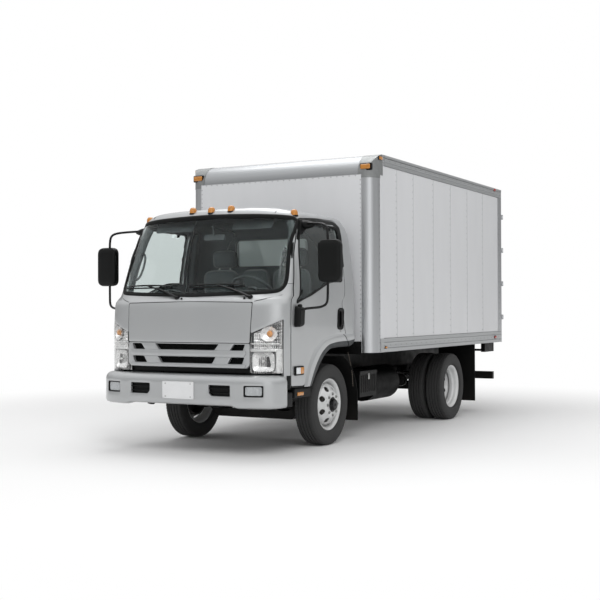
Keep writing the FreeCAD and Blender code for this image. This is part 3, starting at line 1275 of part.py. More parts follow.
def mirrors():
    """A tall mirror head on a bent tube, carried by two brackets on each door."""
    for name, sign in SIDES:
        plane = "front_axle - mirror_station"
        hull = cab_hull("0")
        head = box(f"MirrorHead_{name}", span(sign, "mirror_in", "mirror_out"),
                   (f"{plane} - mirror_deep / 2", f"{plane} + mirror_deep / 2"),
                   ("mirror_low", "mirror_high"))
        upright = side(sign, "mirror_in + 98")
        upper = tube(f"MirrorUpper_{name}", [(side(sign, "cab_half - 110"), plane, "screen_high - 150"),
                                             (upright, plane, "screen_high - 150"),
                                             (upright, plane, "mirror_high - 5")],
                     "arm_radius", 50)
        lower = tube(f"MirrorLower_{name}", [(side(sign, "cab_half - 8"), plane, "belt_low - 55"),
                                             (upright, plane, "belt_low - 55"),
                                             (upright, plane, "mirror_low + 5")],
                     "arm_radius", 50)
        pod = box(f"MirrorPod_{name}", span(sign, "cab_half - 6", "cab_half + 44"),
                  (f"{plane} - 190", f"{plane} + 20"), ("belt_low - 225", "belt_low - 18"))
        node(cut(f"Mirror_{name}", fuse(f"MirrorStock_{name}", head, upper, lower, pod), hull),
             f"mirror_{name}")


# ---------------------------------------------------------------- build and write
def check():
    """Stop on any failed object, and on a sub-part with no valid solid."""
    DOC.recompute()
    failed = [item.Name for item in DOC.Objects if {"Invalid", "Error"} & set(item.State)]
    if failed:
        raise RuntimeError(f"failed objects: {failed}")
    for item in NODES:
        if item.Shape.isNull() or not item.Shape.isValid() or not item.Shape.Solids:
            raise RuntimeError(f"{item.Label} has no valid solid")


def write():
    os.makedirs("parts", exist_ok=True)
    for item in NODES:
        item.Shape.exportStep(f"parts/{item.Label}.step")
        size = item.Shape.BoundBox
        print(f"{item.Label}: {len(item.Shape.Solids)} solids, {item.Shape.Volume / 1e6:.2f} l, "
              f"X {size.XMin:.0f}..{size.XMax:.0f} Y {size.YMin:.0f}..{size.YMax:.0f} Z {size.ZMin:.0f}..{size.ZMax:.0f}")


for make in (rails, cross_members, leaf_springs, front_axle, knuckles, drivetrain, tank_and_boxes, bumper,
             fog_lamps, rear_guard, mud_flaps, wheels, cargo_box, box_doors, cab, cab_fittings, roof_lamps,
             mirrors):
    make()
check()
write()
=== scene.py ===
"""Dress for a low cab-forward box truck: skins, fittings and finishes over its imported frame.

Every length is in metres. +Z is up, the truck faces -Y, and +X is the truck's own left.
"""

import logging
import math
from dataclasses import dataclass
from enum import Enum
from typing import Any, Callable, ClassVar, Sequence

import bmesh
import bpy
import numpy as np
from mathutils.geometry import delaunay_2d_cdt
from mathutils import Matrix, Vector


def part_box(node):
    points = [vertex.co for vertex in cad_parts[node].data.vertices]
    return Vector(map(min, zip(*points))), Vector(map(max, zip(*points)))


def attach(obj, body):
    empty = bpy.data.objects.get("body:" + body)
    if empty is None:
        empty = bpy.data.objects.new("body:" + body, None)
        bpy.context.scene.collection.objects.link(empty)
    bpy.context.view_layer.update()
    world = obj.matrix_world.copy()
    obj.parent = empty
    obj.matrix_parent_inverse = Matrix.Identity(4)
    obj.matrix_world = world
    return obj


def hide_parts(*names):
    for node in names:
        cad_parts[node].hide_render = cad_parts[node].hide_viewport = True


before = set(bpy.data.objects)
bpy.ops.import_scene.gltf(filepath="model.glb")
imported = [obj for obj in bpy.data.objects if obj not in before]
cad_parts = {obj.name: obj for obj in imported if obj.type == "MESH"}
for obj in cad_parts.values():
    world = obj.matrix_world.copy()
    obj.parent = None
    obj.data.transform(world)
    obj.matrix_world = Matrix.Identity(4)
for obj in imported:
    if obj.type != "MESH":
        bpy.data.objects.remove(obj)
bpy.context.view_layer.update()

logging.basicConfig(level=logging.INFO, format="%(message)s")
LOG = logging.getLogger("box_truck")

Array = np.ndarray
Node = bpy.types.Node
Colour = tuple[float, float, float, float]
Pairs = Sequence[tuple[float, float]]
Corners = Sequence[tuple[float, ...]]
Surface = Callable[[Array, Array], Array]


class Side(Enum):
    """The two sides of the truck; the value is the sign of X."""

    LEFT = 1
    RIGHT = -1

    @property
    def word(self) -> str:
        """The side's name as the bodies and nodes spell it."""
        return self.name.lower()


# ------------------------------------------------------------------ places read off the frame
def middle(node: str) -> Array:
    """Middle of a CAD node's box."""
    low, high = (np.array(corner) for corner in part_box(node))
    return (low + high) / 2


AXLE, WHEEL_HIGH = (float(value) for value in middle("front_tyre_left")[1:])
REAR_AXLE = float(middle("rear_tyres_left")[1])


# ------------------------------------------------------------------ colour and nodes
def linear(code: str) -> Colour:
    """Turn an sRGB hex colour into linear light.

    Args:
        code: six hex digits.

    Returns:
        Linear red, green, blue and alpha of 1.
    """
    value = np.array([int(code[i:i + 2], 16) for i in (0, 2, 4)]) / 255
    light = np.where(value <= 0.04045, value / 12.92, ((value + 0.055) / 1.055) ** 2.4)
    return (float(light[0]), float(light[1]), float(light[2]), 1.0)


def add(tree: bpy.types.NodeTree, kind: str, inputs: dict[Any, Any] | None = None, **settings: Any) -> Node:
    """Add one shader node.

    Args:
        tree: the node tree.
        kind: the node's type name, without the ShaderNode that it begins with.
        inputs: socket name or number to a value, or to a (node, output) pair that is linked.
        settings: attributes of the node itself.

    Returns:
        The new node.
    """
    node = tree.nodes.new("ShaderNode" + kind)
    for name, value in settings.items():
        setattr(node, name, value)
    for key, value in (inputs or {}).items():
        if isinstance(value, tuple) and isinstance(value[0], Node):
            tree.links.new(value[0].outputs[value[1]], node.inputs[key])
        else:
            node.inputs[key].default_value = value
    return node


def bare_tree(owner: bpy.types.Material | bpy.types.World) -> bpy.types.NodeTree:
    """The node tree of a material or world, emptied."""
    owner.use_nodes = True
    owner.node_tree.nodes.clear()
    return owner.node_tree


@dataclass(frozen=True)
class Finish:
    """A finish: the plain shader values that each kind of surface starts from.

    Mottle is a slow change of colour over the surface and grain is a fine bump; both have a real size.
    """

    name: str
    base: str
    dark: str
    slot: str
    metallic: float = 0.0
    roughness: float = 0.5
    coat: float = 0.0
    ior: float = 1.5
    mottle_mm: float = 120.0
    mottle: float = 0.5
    grain_mm: float = 3.0
    grain: float = 0.0
    rough_swing: float = 0.08
    dust: float = 0.0
    dust_top: float = 1.0
    stretch: tuple[float, float, float] = (1.0, 1.0, 1.0)
    dust_hex: ClassVar[str] = "8d857a"

    def shader(self, tree: bpy.types.NodeTree) -> Node:
        """Build the surface shader.

        Args:
            tree: the material's node tree.

        Returns:
            The Principled node.
        """
        place = add(tree, "TexCoord")
        turned = add(tree, "Mapping", {"Vector": (place, "Object"), "Scale": self.stretch})
        patch = add(tree, "TexNoise", {"Vector": (turned, "Vector"), "Scale": 1000 / self.mottle_mm, "Detail": 4.0,
            "Roughness": 0.6})
        spread = add(tree, "MapRange", {"Value": (patch, "Fac"), "From Min": 0.35, "From Max": 0.65, "To Min": 0.0,
            "To Max": self.mottle})
        colour = add(tree, "Mix", {"Factor": (spread, "Result"), "A": linear(self.base), "B": linear(self.dark)},
            data_type="RGBA")
        colour_out = (colour, 2)
        if self.dust:
            height = add(tree, "SeparateXYZ", {"Vector": (place, "Object")})
            low = add(tree, "MapRange", {"Value": (height, "Z"), "From Min": self.dust_top, "From Max": 0.1,
                "To Min": 0.0, "To Max": self.dust}, interpolation_type="SMOOTHSTEP")
            speck = add(tree, "TexNoise", {"Vector": (place, "Object"), "Scale": 9.0, "Detail": 8.0,
                "Roughness": 0.7})
            amount = add(tree, "Math", {0: (low, "Result"), 1: (speck, "Fac")}, operation="MULTIPLY")
            dusty = add(tree, "Mix", {"Factor": (amount, "Value"), "A": colour_out, "B": linear(self.dust_hex)},
                data_type="RGBA")
            colour_out = (dusty, 2)
        rough = add(tree, "MapRange", {"Value": (patch, "Fac"), "From Min": 0.3, "From Max": 0.7,
            "To Min": max(self.roughness - self.rough_swing, 0.02), "To Max": min(self.roughness + self.rough_swing,
            1.0)})
        inputs: dict[Any, Any] = {"Base Color": colour_out, "Roughness": (rough, "Result"), "Metallic": self.metallic,
            "Coat Weight": self.coat, "Coat Roughness": 0.04}
        if not self.metallic:
            inputs["IOR"] = self.ior
        if self.grain:
            pits = add(tree, "TexNoise", {"Vector": (turned, "Vector"), "Scale": 1000 / self.grain_mm, "Detail": 3.0})
            bump = add(tree, "Bump", {"Height": (pits, "Fac"), "Strength": self.grain,
                "Distance": self.grain_mm / 4000})
            inputs["Normal"] = (bump, "Normal")
        return add(tree, "BsdfPrincipled", inputs)

    def material(self) -> bpy.types.Material:
        """The finish's material, made once.

        Returns:
            The material.
        """
        made = bpy.data.materials.get(self.name)
        if not made:
            made = bpy.data.materials.new(self.name)
            tree = bare_tree(made)
            add(tree, "OutputMaterial", {"Surface": (self.shader(tree), 0)})
        return made


# ------------------------------------------------------------------ curves and surfaces on arrays
def pchip(knots: Pairs, at: Array) -> Array:
    """Smooth curve through knots that never overshoots them.

    A cubic on each run, whose slope at a knot is the harmonic mean of the runs beside it, or zero at a peak.

    Args:
        knots: (place, value) pairs in rising order of place.
        at: places to read, held at the end values outside the knots.

    Returns:
        The values, one for each place.
    """
    x, y = np.array(knots, float).T
    gap, rise = np.diff(x), np.diff(y) / np.diff(x)
    slope = np.empty_like(y)
    slope[0], slope[-1] = rise[0], rise[-1]
    same = rise[:-1] * rise[1:] > 0
    slope[1:-1] = np.where(same, 2 * rise[:-1] * rise[1:] / np.where(same, rise[:-1] + rise[1:], 1.0), 0.0)
    at = np.clip(np.asarray(at, float), x[0], x[-1])
    run = np.clip(np.searchsorted(x, at, side="right") - 1, 0, len(gap) - 1)
    t, width = (at - x[run]) / gap[run], gap[run]
    return ((1 + 2 * t) * (1 - t) ** 2 * y[run] + t * (1 - t) ** 2 * width * slope[run]
        + t * t * (3 - 2 * t) * y[run + 1] + t * t * (t - 1) * width * slope[run + 1])


def xyz(x: Array | float, y: Array | float, z: Array | float) -> Array:
    """Places from their three coordinates, any of which may be one number for them all."""
    return np.stack(np.broadcast_arrays(x, y, z), axis=-1).astype(float)


def quad(x0: float, x1: float, low: float, high: float) -> list[tuple[float, float]]:
    """The four corners of an upright rectangle, anticlockwise."""
    return [(x0, low), (x1, low), (x1, high), (x0, high)]


def resample(points: Array, spacing: float) -> Array:
    """Points at even arc length round a closed polyline, never fewer than eight.

    Args:
        points: the corners of the polyline.
        spacing: rough distance between the new points.

    Returns:
        The new points, the first of them the first corner.
    """
    ring = np.vstack([points, points[:1]])
    length = np.concatenate([[0], np.cumsum(np.linalg.norm(np.diff(ring, axis=0), axis=1))])
    count = max(8, int(round(length[-1] / spacing)))
    places = np.linspace(0, length[-1], count, endpoint=False)
    return np.stack([np.interp(places, length, ring[:, k]) for k in range(ring.shape[1])], axis=1)


def rounded(corners: Corners, radius: float, steps: int = 8) -> Array:
    """Closed outline whose corners are eased by a quadratic arc.

    Each corner gives way to the curve (1-t)^2 a + 2t(1-t) c + t^2 b, where a and b lie one radius along its sides,
    or half a side where that is shorter. A third number at a corner is that corner's own radius.

    Args:
        corners: (u, v) or (u, v, radius) corners in order.
        radius: length taken off each side at a corner.
        steps: points on each eased corner.

    Returns:
        The outline's points.
    """
    place = np.array([corner[:2] for corner in corners], float)
    reach = np.array([corner[2] if len(corner) > 2 else radius for corner in corners])
    back, ahead = np.roll(place, 1, axis=0) - place, np.roll(place, -1, axis=0) - place
    long_back, long_ahead = np.linalg.norm(back, axis=1), np.linalg.norm(ahead, axis=1)
    first = place + back * (np.minimum(reach / long_back, 0.49))[:, None]
    last = place + ahead * (np.minimum(reach / long_ahead, 0.49))[:, None]
    t = np.linspace(0, 1, steps)[None, :, None]
    curve = (1 - t) ** 2 * first[:, None] + 2 * t * (1 - t) * place[:, None] + t * t * last[:, None]
    return curve.reshape(-1, 2)


def rectangle(width: float, height: float, radius: float) -> Array:
    """Rounded rectangle about the origin."""
    w, h = width / 2, height / 2
    return rounded([(-w, -h), (w, -h), (w, h), (-w, h)], radius)


def spaced(outline: Array, count: int, fine: float = 0.001) -> Array:
    """A set number of points picked at even steps round a closed outline.

    Args:
        outline: the outline.
        count: how many points are picked.
        fine: spacing of the points that they are picked from.

    Returns:
        The picked points.
    """
    ring = resample(outline, fine)
    return ring[np.linspace(0, len(ring) - 1, count).astype(int)]


def grown(outline: Array, reach: float) -> Array:
    """Closed outline moved outwards along its normals, which are its slopes turned a quarter clockwise.

    Args:
        outline: the outline, anticlockwise.
        reach: how far it is moved; less than zero moves it inwards.

    Returns:
        The moved outline.
    """
    along = np.roll(outline, -1, axis=0) - np.roll(outline, 1, axis=0)
    normal = np.stack([along[:, 1], -along[:, 0]], axis=1)
    return outline + reach * normal / np.maximum(np.linalg.norm(normal, axis=1, keepdims=True), 1e-9)


def inside(points: Array, loop: Array) -> Array:
    """Tell which points a closed outline surrounds, by counting the edges to each point's right.

    Args:
        points: the points to test.
        loop: the outline.

    Returns:
        True for each point inside.
    """
    x, y = points[:, :1], points[:, 1:]
    x0, y0 = loop[:, 0][None], loop[:, 1][None]
    x1, y1 = np.roll(loop[:, 0], -1)[None], np.roll(loop[:, 1], -1)[None]
    crosses = (y0 > y) != (y1 > y)
    at = x0 + (y - y0) * (x1 - x0) / np.where(y1 == y0, 1e-12, y1 - y0)
    return (np.sum(crosses & (x < at), axis=1) % 2).astype(bool)


def clearance(points: Array, loop: Array) -> Array:
    """Distance of each point from the nearest point of an outline."""
    gaps = points[:, None] - loop[None]
    return np.sqrt(np.min(np.sum(gaps * gaps, axis=2), axis=1))


def turn(axis: str, degrees: float) -> Array:
    """Rotation matrix about one of the frame's axes.

    Args:
        axis: the letter of the axis.
        degrees: the angle turned by.

    Returns:
        The matrix.
    """
    c, s = math.cos(math.radians(degrees)), math.sin(math.radians(degrees))
    return np.array({"x": [[1, 0, 0], [0, c, -s], [0, s, c]], "y": [[c, 0, s], [0, 1, 0], [-s, 0, c]],
        "z": [[c, -s, 0], [s, c, 0], [0, 0, 1]]}[axis])


class Piece:
    """One mesh in the making: surfaces are laid in one by one and then become an object."""

    def __init__(self) -> None:
        """Start with nothing."""
        self.points: list[Array] = []
        self.faces: list[list[int]] = []
        self.count = 0

    def lay(self, points: Array, faces: Array | list[list[int]]) -> "Piece":
        """Add points and the faces that index them.

        Args:
            points: places, in metres.
            faces: corners of each face, as indices into the points.

        Returns:
            This piece.
        """
        shift = self.count
        rows = faces.tolist() if isinstance(faces, np.ndarray) else faces
        self.faces += [[index + shift for index in row] for row in rows]
        self.points.append(np.asarray(points, float).reshape(-1, 3))
        self.count += len(self.points[-1])
        return self

    def grid(self, points: Array, wrap_u: bool = False, wrap_v: bool = False, flip: bool = False) -> "Piece":
        """Lay a grid of points with a quad between each four of them.

        Args:
            points: places, of shape (u, v, 3).
            wrap_u: whether the last row is joined to the first.
            wrap_v: whether the last column is joined to the first.
            flip: whether the faces are turned the other way.

        Returns:
            This piece.
        """
        rows, cols = points.shape[:2]
        index = np.arange(rows * cols).reshape(rows, cols)
        if wrap_u:
            index = np.vstack([index, index[:1]])
        if wrap_v:
            index = np.hstack([index, index[:, :1]])
        quads = np.stack([index[:-1, :-1], index[1:, :-1], index[1:, 1:], index[:-1, 1:]], axis=-1).reshape(-1, 4)
        return self.lay(points, quads[:, ::-1] if flip else quads)

    def hoops(self, rings: Sequence[Array] | Array, flip: bool = False) -> "Piece":
        """Lay closed rings, one after another, as a sleeve without ends."""
        return self.grid(np.array(rings), wrap_v=True, flip=flip)

    def bars(self, runs: Sequence[Array], flip: bool = False) -> "Piece":
        """Lay lines that run side by side, joined round as the edges of one bar."""
        return self.grid(np.stack(runs, axis=1), wrap_v=True, flip=flip)

    def cap(self, ring: Array, flip: bool = False) -> "Piece":
        """Close a flat ring with one face."""
        order = list(range(len(ring)))
        return self.lay(ring, [order[::-1] if flip else order])

    def stack(self, rings: Array, ends: tuple[bool, bool] = (True, True)) -> "Piece":
        """Lay rings of shape (levels, points, 3) as a closed body, with flat ends if asked.

        Args:
            rings: places, of shape (levels, points, 3).
            ends: whether the first and last rings are closed.

        Returns:
            This piece.
        """
        self.grid(rings, wrap_v=True, flip=True)
        if ends[0]:
            self.cap(rings[0], flip=True)
        if ends[1]:
            self.cap(rings[-1])
        return self

    def tube(self, path: Array, radius: float | Array, sides: int = 12, up: tuple[float, float, float] = (0, 0, 1),
            flat: float = 1.0) -> "Piece":
        """Carry a round section along a path.

        A point of the section is path + r (cos a * across + flat * sin a * over), where across is the path's
        direction crossed with up, and over is across crossed with that direction.

        Args:
            path: points of shape (n, 3).
            radius: radius, or one for each point.
            sides: points round the section.
            up: a direction that the path never takes.
            flat: how far the section is squashed along over.

        Returns:
            This piece.
        """
        path = np.asarray(path, float)
        along = np.gradient(path, axis=0)
        along /= np.linalg.norm(along, axis=1, keepdims=True)
        across = np.cross(along, np.array(up, float))
        across /= np.linalg.norm(across, axis=1, keepdims=True)
        over = np.cross(across, along)
        angle = np.linspace(0, 2 * np.pi, sides, endpoint=False)[None, :, None]
        size = np.broadcast_to(np.asarray(radius, float), (len(path),))[:, None, None]
        rings = path[:, None] + size * (np.cos(angle) * across[:, None] + flat * np.sin(angle) * over[:, None])
        return self.stack(rings)

    def lathe(self, profile: Pairs, at: Sequence[float], steps: int = 48, axis: str = "x", sign: int = 1) -> "Piece":
        """Turn a profile about an axis.

        A point is at + sign * along * axis + radius * (cos a, sin a) in the plane across the axis.

        Args:
            profile: (along, radius) pairs.
            at: the origin of the axis.
            steps: points round.
            axis: x, y or z.
            sign: -1 turns the profile to point the other way.

        Returns:
            This piece.
        """
        along, radius = np.array(profile, float).T
        angle = np.linspace(0, 2 * np.pi, steps, endpoint=False)
        first, second = radius[:, None] * np.cos(angle), radius[:, None] * np.sin(angle)
        height = np.broadcast_to(sign * along[:, None], first.shape)
        order = {"x": (height, first, second), "y": (second, height, first), "z": (first, second, height)}[axis]
        rings = np.stack(order, axis=-1) + np.array(at, float)
        return self.grid(rings, wrap_v=True, flip=sign > 0)

    def block(self, low: Sequence[float], high: Sequence[float], round_by: float = 0.002, axis: str = "z",
            corner: float | None = None) -> "Piece":
        """A box whose edges are eased: rounded rectangles stacked along an axis, drawn in at both ends.

        Args:
            low: lowest corner.
            high: highest corner.
            round_by: easing of the edges at the ends.
            axis: the stacking axis.
            corner: easing of the edges along the axis, as round_by where it isn't given.

        Returns:
            This piece.
        """
        low, high = np.minimum(low, high), np.maximum(low, high)
        k = "xyz".index(axis)
        i, j = [n for n in range(3) if n != k]
        size, centre = high - low, (low + high) / 2
        soft = min(corner if corner is not None else round_by, size[i] * 0.49, size[j] * 0.49)
        ease = min(round_by, size[k] * 0.49)
        angle = np.array([0.0, 0.35, 0.7, 1.0]) * np.pi / 2
        draw = np.concatenate([1 - np.sin(angle), (1 - np.sin(angle))[::-1]]) * ease
        rise = np.concatenate([(1 - np.cos(angle)) * ease, size[k] - ((1 - np.cos(angle)) * ease)[::-1]])
        rings = []
        for inward, height in zip(draw, rise):
            flat = rectangle(size[i] - 2 * inward, size[j] - 2 * inward, max(soft - inward * 0.6, 0.0004))
            ring = np.empty((len(flat), 3))
            ring[:, i], ring[:, j], ring[:, k] = flat[:, 0] + centre[i], flat[:, 1] + centre[j], low[k] + height
            rings.append(ring)
        return self.stack(np.array(rings))

    def copies(self, other: "Piece", places: Array) -> "Piece":
        """Lay another piece at each of many places, all at once.

        Args:
            other: the piece that is repeated.
            places: where each copy goes.

        Returns:
            This piece.
        """
        base = np.vstack(other.points)
        places = np.asarray(places, float).reshape(-1, 3)
        for row in range(0, len(places), 4096):
            some = places[row:row + 4096]
            spread = (base[None] + some[:, None]).reshape(-1, 3)
            faces = [[index + len(base) * k for index in face] for k in range(len(some)) for face in other.faces]
            self.lay(spread, faces)
        return self

    def moved(self, matrix: Array | None = None, by: Sequence[float] = (0, 0, 0)) -> "Piece":
        """Turn and then shift every point laid so far.

        Args:
            matrix: the turn.
            by: the shift that follows it.

        Returns:
            This piece.
        """
        spin = np.eye(3) if matrix is None else matrix
        self.points = [points @ spin.T + np.array(by, float) for points in self.points]
        return self

    def flipped(self) -> "Piece":
        """The same piece with its faces turned the other way."""
        self.faces = [face[::-1] for face in self.faces]
        return self

    def mirrored(self) -> "Piece":
        """The same piece on the other side of the truck, with its faces turned to match.

        Returns:
            A new piece.
        """
        other = Piece()
        other.points = [points * np.array([-1.0, 1.0, 1.0]) for points in self.points]
        other.faces = [face[::-1] for face in self.faces]
        other.count = self.count
        return other

    def also(self, other: "Piece") -> "Piece":
        """Lay another piece's surfaces in this one."""
        return self.lay(np.vstack(other.points), other.faces)

    def make(self, name: str, finish: Finish, body: str, nodes: Sequence[str] = (), angle: float = 32.0,
            closed: bool = False, merge: float = 0.00002) -> bpy.types.Object:
        """Turn the piece into an object that rides on a body.

        Args:
            name: the object's name.
            finish: its finish.
            body: the body that carries it.
            nodes: CAD nodes that it stands for.
            angle: edges sharper than this many degrees stay crisp.
            closed: whether its faces are turned outwards as a closed body's.
            merge: points nearer than this become one.

        Returns:
            The object.
        """
        mesh = bpy.data.meshes.new(name)
        mesh.from_pydata(np.vstack(self.points).tolist(), [], self.faces)
        work = bmesh.new()
        work.from_mesh(mesh)
        bmesh.ops.remove_doubles(work, verts=work.verts, dist=merge)
        bmesh.ops.dissolve_degenerate(work, dist=1e-7, edges=work.edges)
        if closed:
            bmesh.ops.recalc_face_normals(work, faces=work.faces)
        work.to_mesh(mesh)
        work.free()
        mesh.shade_smooth()
        mesh.set_sharp_from_angle(angle=math.radians(angle))
        made = bpy.data.objects.new(name, mesh)
        bpy.context.scene.collection.objects.link(made)
        mesh.materials.append(finish.material())
        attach(made, body)
        if nodes:
            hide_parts(*nodes)
        LOG.info("%s: %d faces on %s", name, len(mesh.polygons), body)
        return made


    def make_on(self, side: Side, name: str, finish: Finish, body: str, nodes: Sequence[str] = (),
            angle: float = 32.0) -> bpy.types.Object:
        """Make the piece, or its mirror image on the right, under its name and the side's."""
        piece = self if side is Side.LEFT else self.mirrored()
        return piece.make(f"{name}_{side.word}", finish, body, nodes, angle)


@dataclass
class Skin:
    """A trimmed panel on a curved surface.

    The surface turns (u, v) into a place in the frame. The panel is meshed by a grid of points inside its outlines,
    joined to the outlines' own points, and each outline gets a rolled edge and a flange that runs inwards. An
    outline's points stand closer than the grid's, by EDGE_SHARE, and no grid point is nearer to one than CLEAR_SHARE
    of the spacing.
    """

    EDGE_SHARE: ClassVar[float] = 0.45
    CLEAR_SHARE: ClassVar[float] = 0.42

    surface: Surface
    spacing: float = 0.03
    roll: float = 0.003
    flange: float = 0.03

    def normals(self, uv: Array) -> Array:
        """Unit normals, from the surface's slopes along u and v.

        Args:
            uv: places in the surface's two parameters.

        Returns:
            One normal for each place.
        """
        step = 0.0008
        u, v = uv.T
        along = self.surface(u + step, v) - self.surface(u - step, v)
        over = self.surface(u, v + step) - self.surface(u, v - step)
        normal = np.cross(along, over)
        return normal / np.maximum(np.linalg.norm(normal, axis=1, keepdims=True), 1e-12)

    def at(self, uv: Array, out: float | Array = 0.0) -> Array:
        """Places of (u, v) points, moved outwards along the normals."""
        return self.surface(*uv.T) + self.normals(uv) * out

    def loop(self, outline: Array) -> Array:
        """An outline's points as this panel's edge has them."""
        return resample(outline, self.spacing * self.EDGE_SHARE)

    def cut(self, outline: Array, holes: Sequence[Array] = (), into: Piece | None = None, thick: float = 0.0,
            bare: Callable[[Array], Array] | None = None) -> Piece:
        """Mesh one panel.

        Args:
            outline: its outer outline in (u, v), anticlockwise as seen from outside.
            holes: outlines of the openings in it, clockwise.
            into: the piece to lay it in.
            thick: for a pane, its thickness, which takes the place of the rolled edge.
            bare: tells which points of the outlines get no edge, because another surface goes on from them.

        Returns:
            The piece.
        """
        piece = into or Piece()
        loops = [self.loop(line) for line in (outline, *holes)]
        low, high = loops[0].min(axis=0), loops[0].max(axis=0)
        us = np.arange(low[0] + self.spacing / 2, high[0], self.spacing)
        vs = np.arange(low[1] + self.spacing / 2, high[1], self.spacing)
        field = np.stack(np.meshgrid(us, vs), axis=-1).reshape(-1, 2)
        field = field[self.within(field, loops)]
        for loop in loops:
            field = field[clearance(field, loop) > self.spacing * self.CLEAR_SHARE]
        everything = np.vstack([*loops, field])
        starts = np.cumsum([0] + [len(loop) for loop in loops])
        rims = [(int(a + k), int(a + (k + 1) % (b - a))) for a, b in zip(starts, starts[1:]) for k in range(b - a)]
        places, _, faces, *_ = delaunay_2d_cdt([tuple(map(float, p)) for p in everything], rims, [], 0, 1e-7)
        flat = np.array([tuple(place) for place in places])
        faces = np.array(faces, int)
        faces = faces[self.within(flat[faces].mean(axis=1), loops)]
        corner = flat[faces]
        area = np.cross(corner[:, 1] - corner[:, 0], corner[:, 2] - corner[:, 0])
        faces = np.where((area < 0)[:, None], faces[:, ::-1], faces)
        piece.lay(self.surface(*flat.T), faces)
        if thick:
            piece.lay(self.at(flat, -thick), faces[:, ::-1])
            for loop in loops:
                piece.grid(np.array([self.surface(*loop.T), self.at(loop, -thick)]), wrap_v=True)
            return piece
        for loop in loops:
            self.edge(loop, piece, bare(loop) if bare else np.zeros(len(loop), bool))
        return piece

    @staticmethod
    def within(points: Array, loops: Sequence[Array]) -> Array:
        """True for each point inside the first outline and outside the others.

        Args:
            points: the points to test.
            loops: the outer outline, and then the holes.

        Returns:
            One truth value for each point.
        """
        keep = inside(points, loops[0])
        for loop in loops[1:]:
            keep &= ~inside(points, loop)
        return keep

    def edge(self, loop: Array, piece: Piece, bare: Array) -> None:
        """Roll an outline's edge over and run a flange inwards from it, except between bare points.

        Each ring is the outline moved by a share of the roll outwards, along the direction crossed with the normal,
        and then down the normal.

        Args:
            loop: the outline, in the surface's two parameters.
            piece: what the faces are laid in.
            bare: the points between which no flange is run.
        """
        rim, normal = self.surface(*loop.T), self.normals(loop)
        along = np.roll(rim, -1, axis=0) - np.roll(rim, 1, axis=0)
        out = np.cross(along, normal)
        out /= np.maximum(np.linalg.norm(out, axis=1, keepdims=True), 1e-12)
        angle = np.array([0.0, 0.4, 0.75, 1.0]) * np.pi / 2
        rings = [rim + out * self.roll * math.sin(a) - normal * self.roll * (1 - math.cos(a)) for a in angle]
        rings.append(rim + out * self.roll - normal * (self.roll + self.flange))
        rows, count = len(rings), len(loop)
        index = np.arange(rows * count).reshape(rows, count)
        index = np.hstack([index, index[:, :1]])
        quads = np.stack([index[:-1, :-1], index[1:, :-1], index[1:, 1:], index[:-1, 1:]], axis=-1)
        quads = quads[:, ~(bare & np.roll(bare, -1))].reshape(-1, 4)
        piece.lay(np.array(rings), quads)


# ------------------------------------------------------------------ finishes
# Metallic basecoat under clear lacquer: a soft grey metal with a sharp gloss over it.
CAB_PAINT = Finish("silver_metallic_paint", "b1b3b4", "a6a8aa", "cab_silver", metallic=0.6, roughness=0.36, coat=0.5,
    mottle_mm=900, mottle=0.4, grain_mm=1.6, grain=0.02, rough_swing=0.03, dust=0.16, dust_top=0.95)
# Pre-painted aluminium sheet: a cool off-white enamel, slightly wavy, with faint streaks of road film.
BODY_SHEET = Finish("enamelled_aluminium_sheet", "cfd0d2", "c6c7c9", "body_white", roughness=0.34, ior=1.5,
    mottle_mm=800, mottle=0.6, grain_mm=420, grain=0.05, rough_swing=0.06, dust=0.12, dust_top=1.5,
    stretch=(1.0, 1.0, 0.35))
# Extruded aluminium: bare metal drawn lengthways, so the light runs in soft bands.
POST_METAL = Finish("extruded_aluminium", "c2c4c6", "aeb0b2", "body_aluminium", metallic=1.0, roughness=0.34,
    mottle_mm=60, mottle=0.35, grain=0.05, rough_swing=0.08, stretch=(1.0, 1.0, 0.03))
# Sheet aluminium rolled to the cove's curve: its grain runs across, and it is a little duller than the posts. Its
# colour is set darker than theirs as painted shade, to hold down the bright sky that its upward face reflects.
COVE_METAL_SHADED = Finish("rolled_aluminium_cove_shaded", "a6a8aa", "989a9c", "body_aluminium", metallic=0.9, roughness=0.4,
    mottle_mm=60, mottle=0.35, grain=0.05, rough_swing=0.06, stretch=(0.03, 1.0, 1.0))
# Driven aluminium rivets in a dull dark grey, so that they read as small dark dots. The same grey lies in the rails'
# grooves as painted shade.
RIVET_AND_GROOVE_SHADE = Finish("rivet_and_groove_shade_grey", "7b7d7f", "636567", "body_aluminium", metallic=0.5, roughness=0.5,
    mottle_mm=90, grain=0.05)
# Polyurethane sealer wiped along the sheets' laps: a matt grey line.
JOINT_SEALER = Finish("grey_joint_sealer", "a2a4a6", "8f9193", "body_aluminium", roughness=0.7, mottle_mm=90,
    grain=0.05)
# Extruded aluminium rail: as the posts, with the grain lying along the body.
RAIL_METAL = Finish("extruded_aluminium_rail", "b9bbbc", "a2a4a6", "body_aluminium", metallic=0.9, roughness=0.42,
    mottle_mm=60, mottle=0.35, grain=0.05, rough_swing=0.08, stretch=(1.0, 0.03, 1.0))
# Sand-cast aluminium corner: darker and duller than the posts.
CAST_CORNER = Finish("cast_aluminium", "8f9191", "818383", "body_aluminium", metallic=0.75, roughness=0.5,
    mottle_mm=60, grain_mm=2, grain=0.25)
# Silver enamel on pressed steel wheels, with speckled dust that thickens towards the bottom.
WHEEL_PAINT = Finish("silver_wheel_enamel", "d4d5d5", "bfc0c0", "wheel_silver", metallic=0.25, roughness=0.38,
    coat=0.2, grain_mm=2, grain=0.06, dust=0.25, dust_top=0.6)
# Semi-gloss chassis black under road dust.
FRAME_PAINT = Finish("chassis_black_enamel", "0b0b0c", "121211", "frame_black", roughness=0.48, ior=1.3,
    mottle_mm=140, grain=0.25, rough_swing=0.12, dust=0.05, dust_top=1.0)
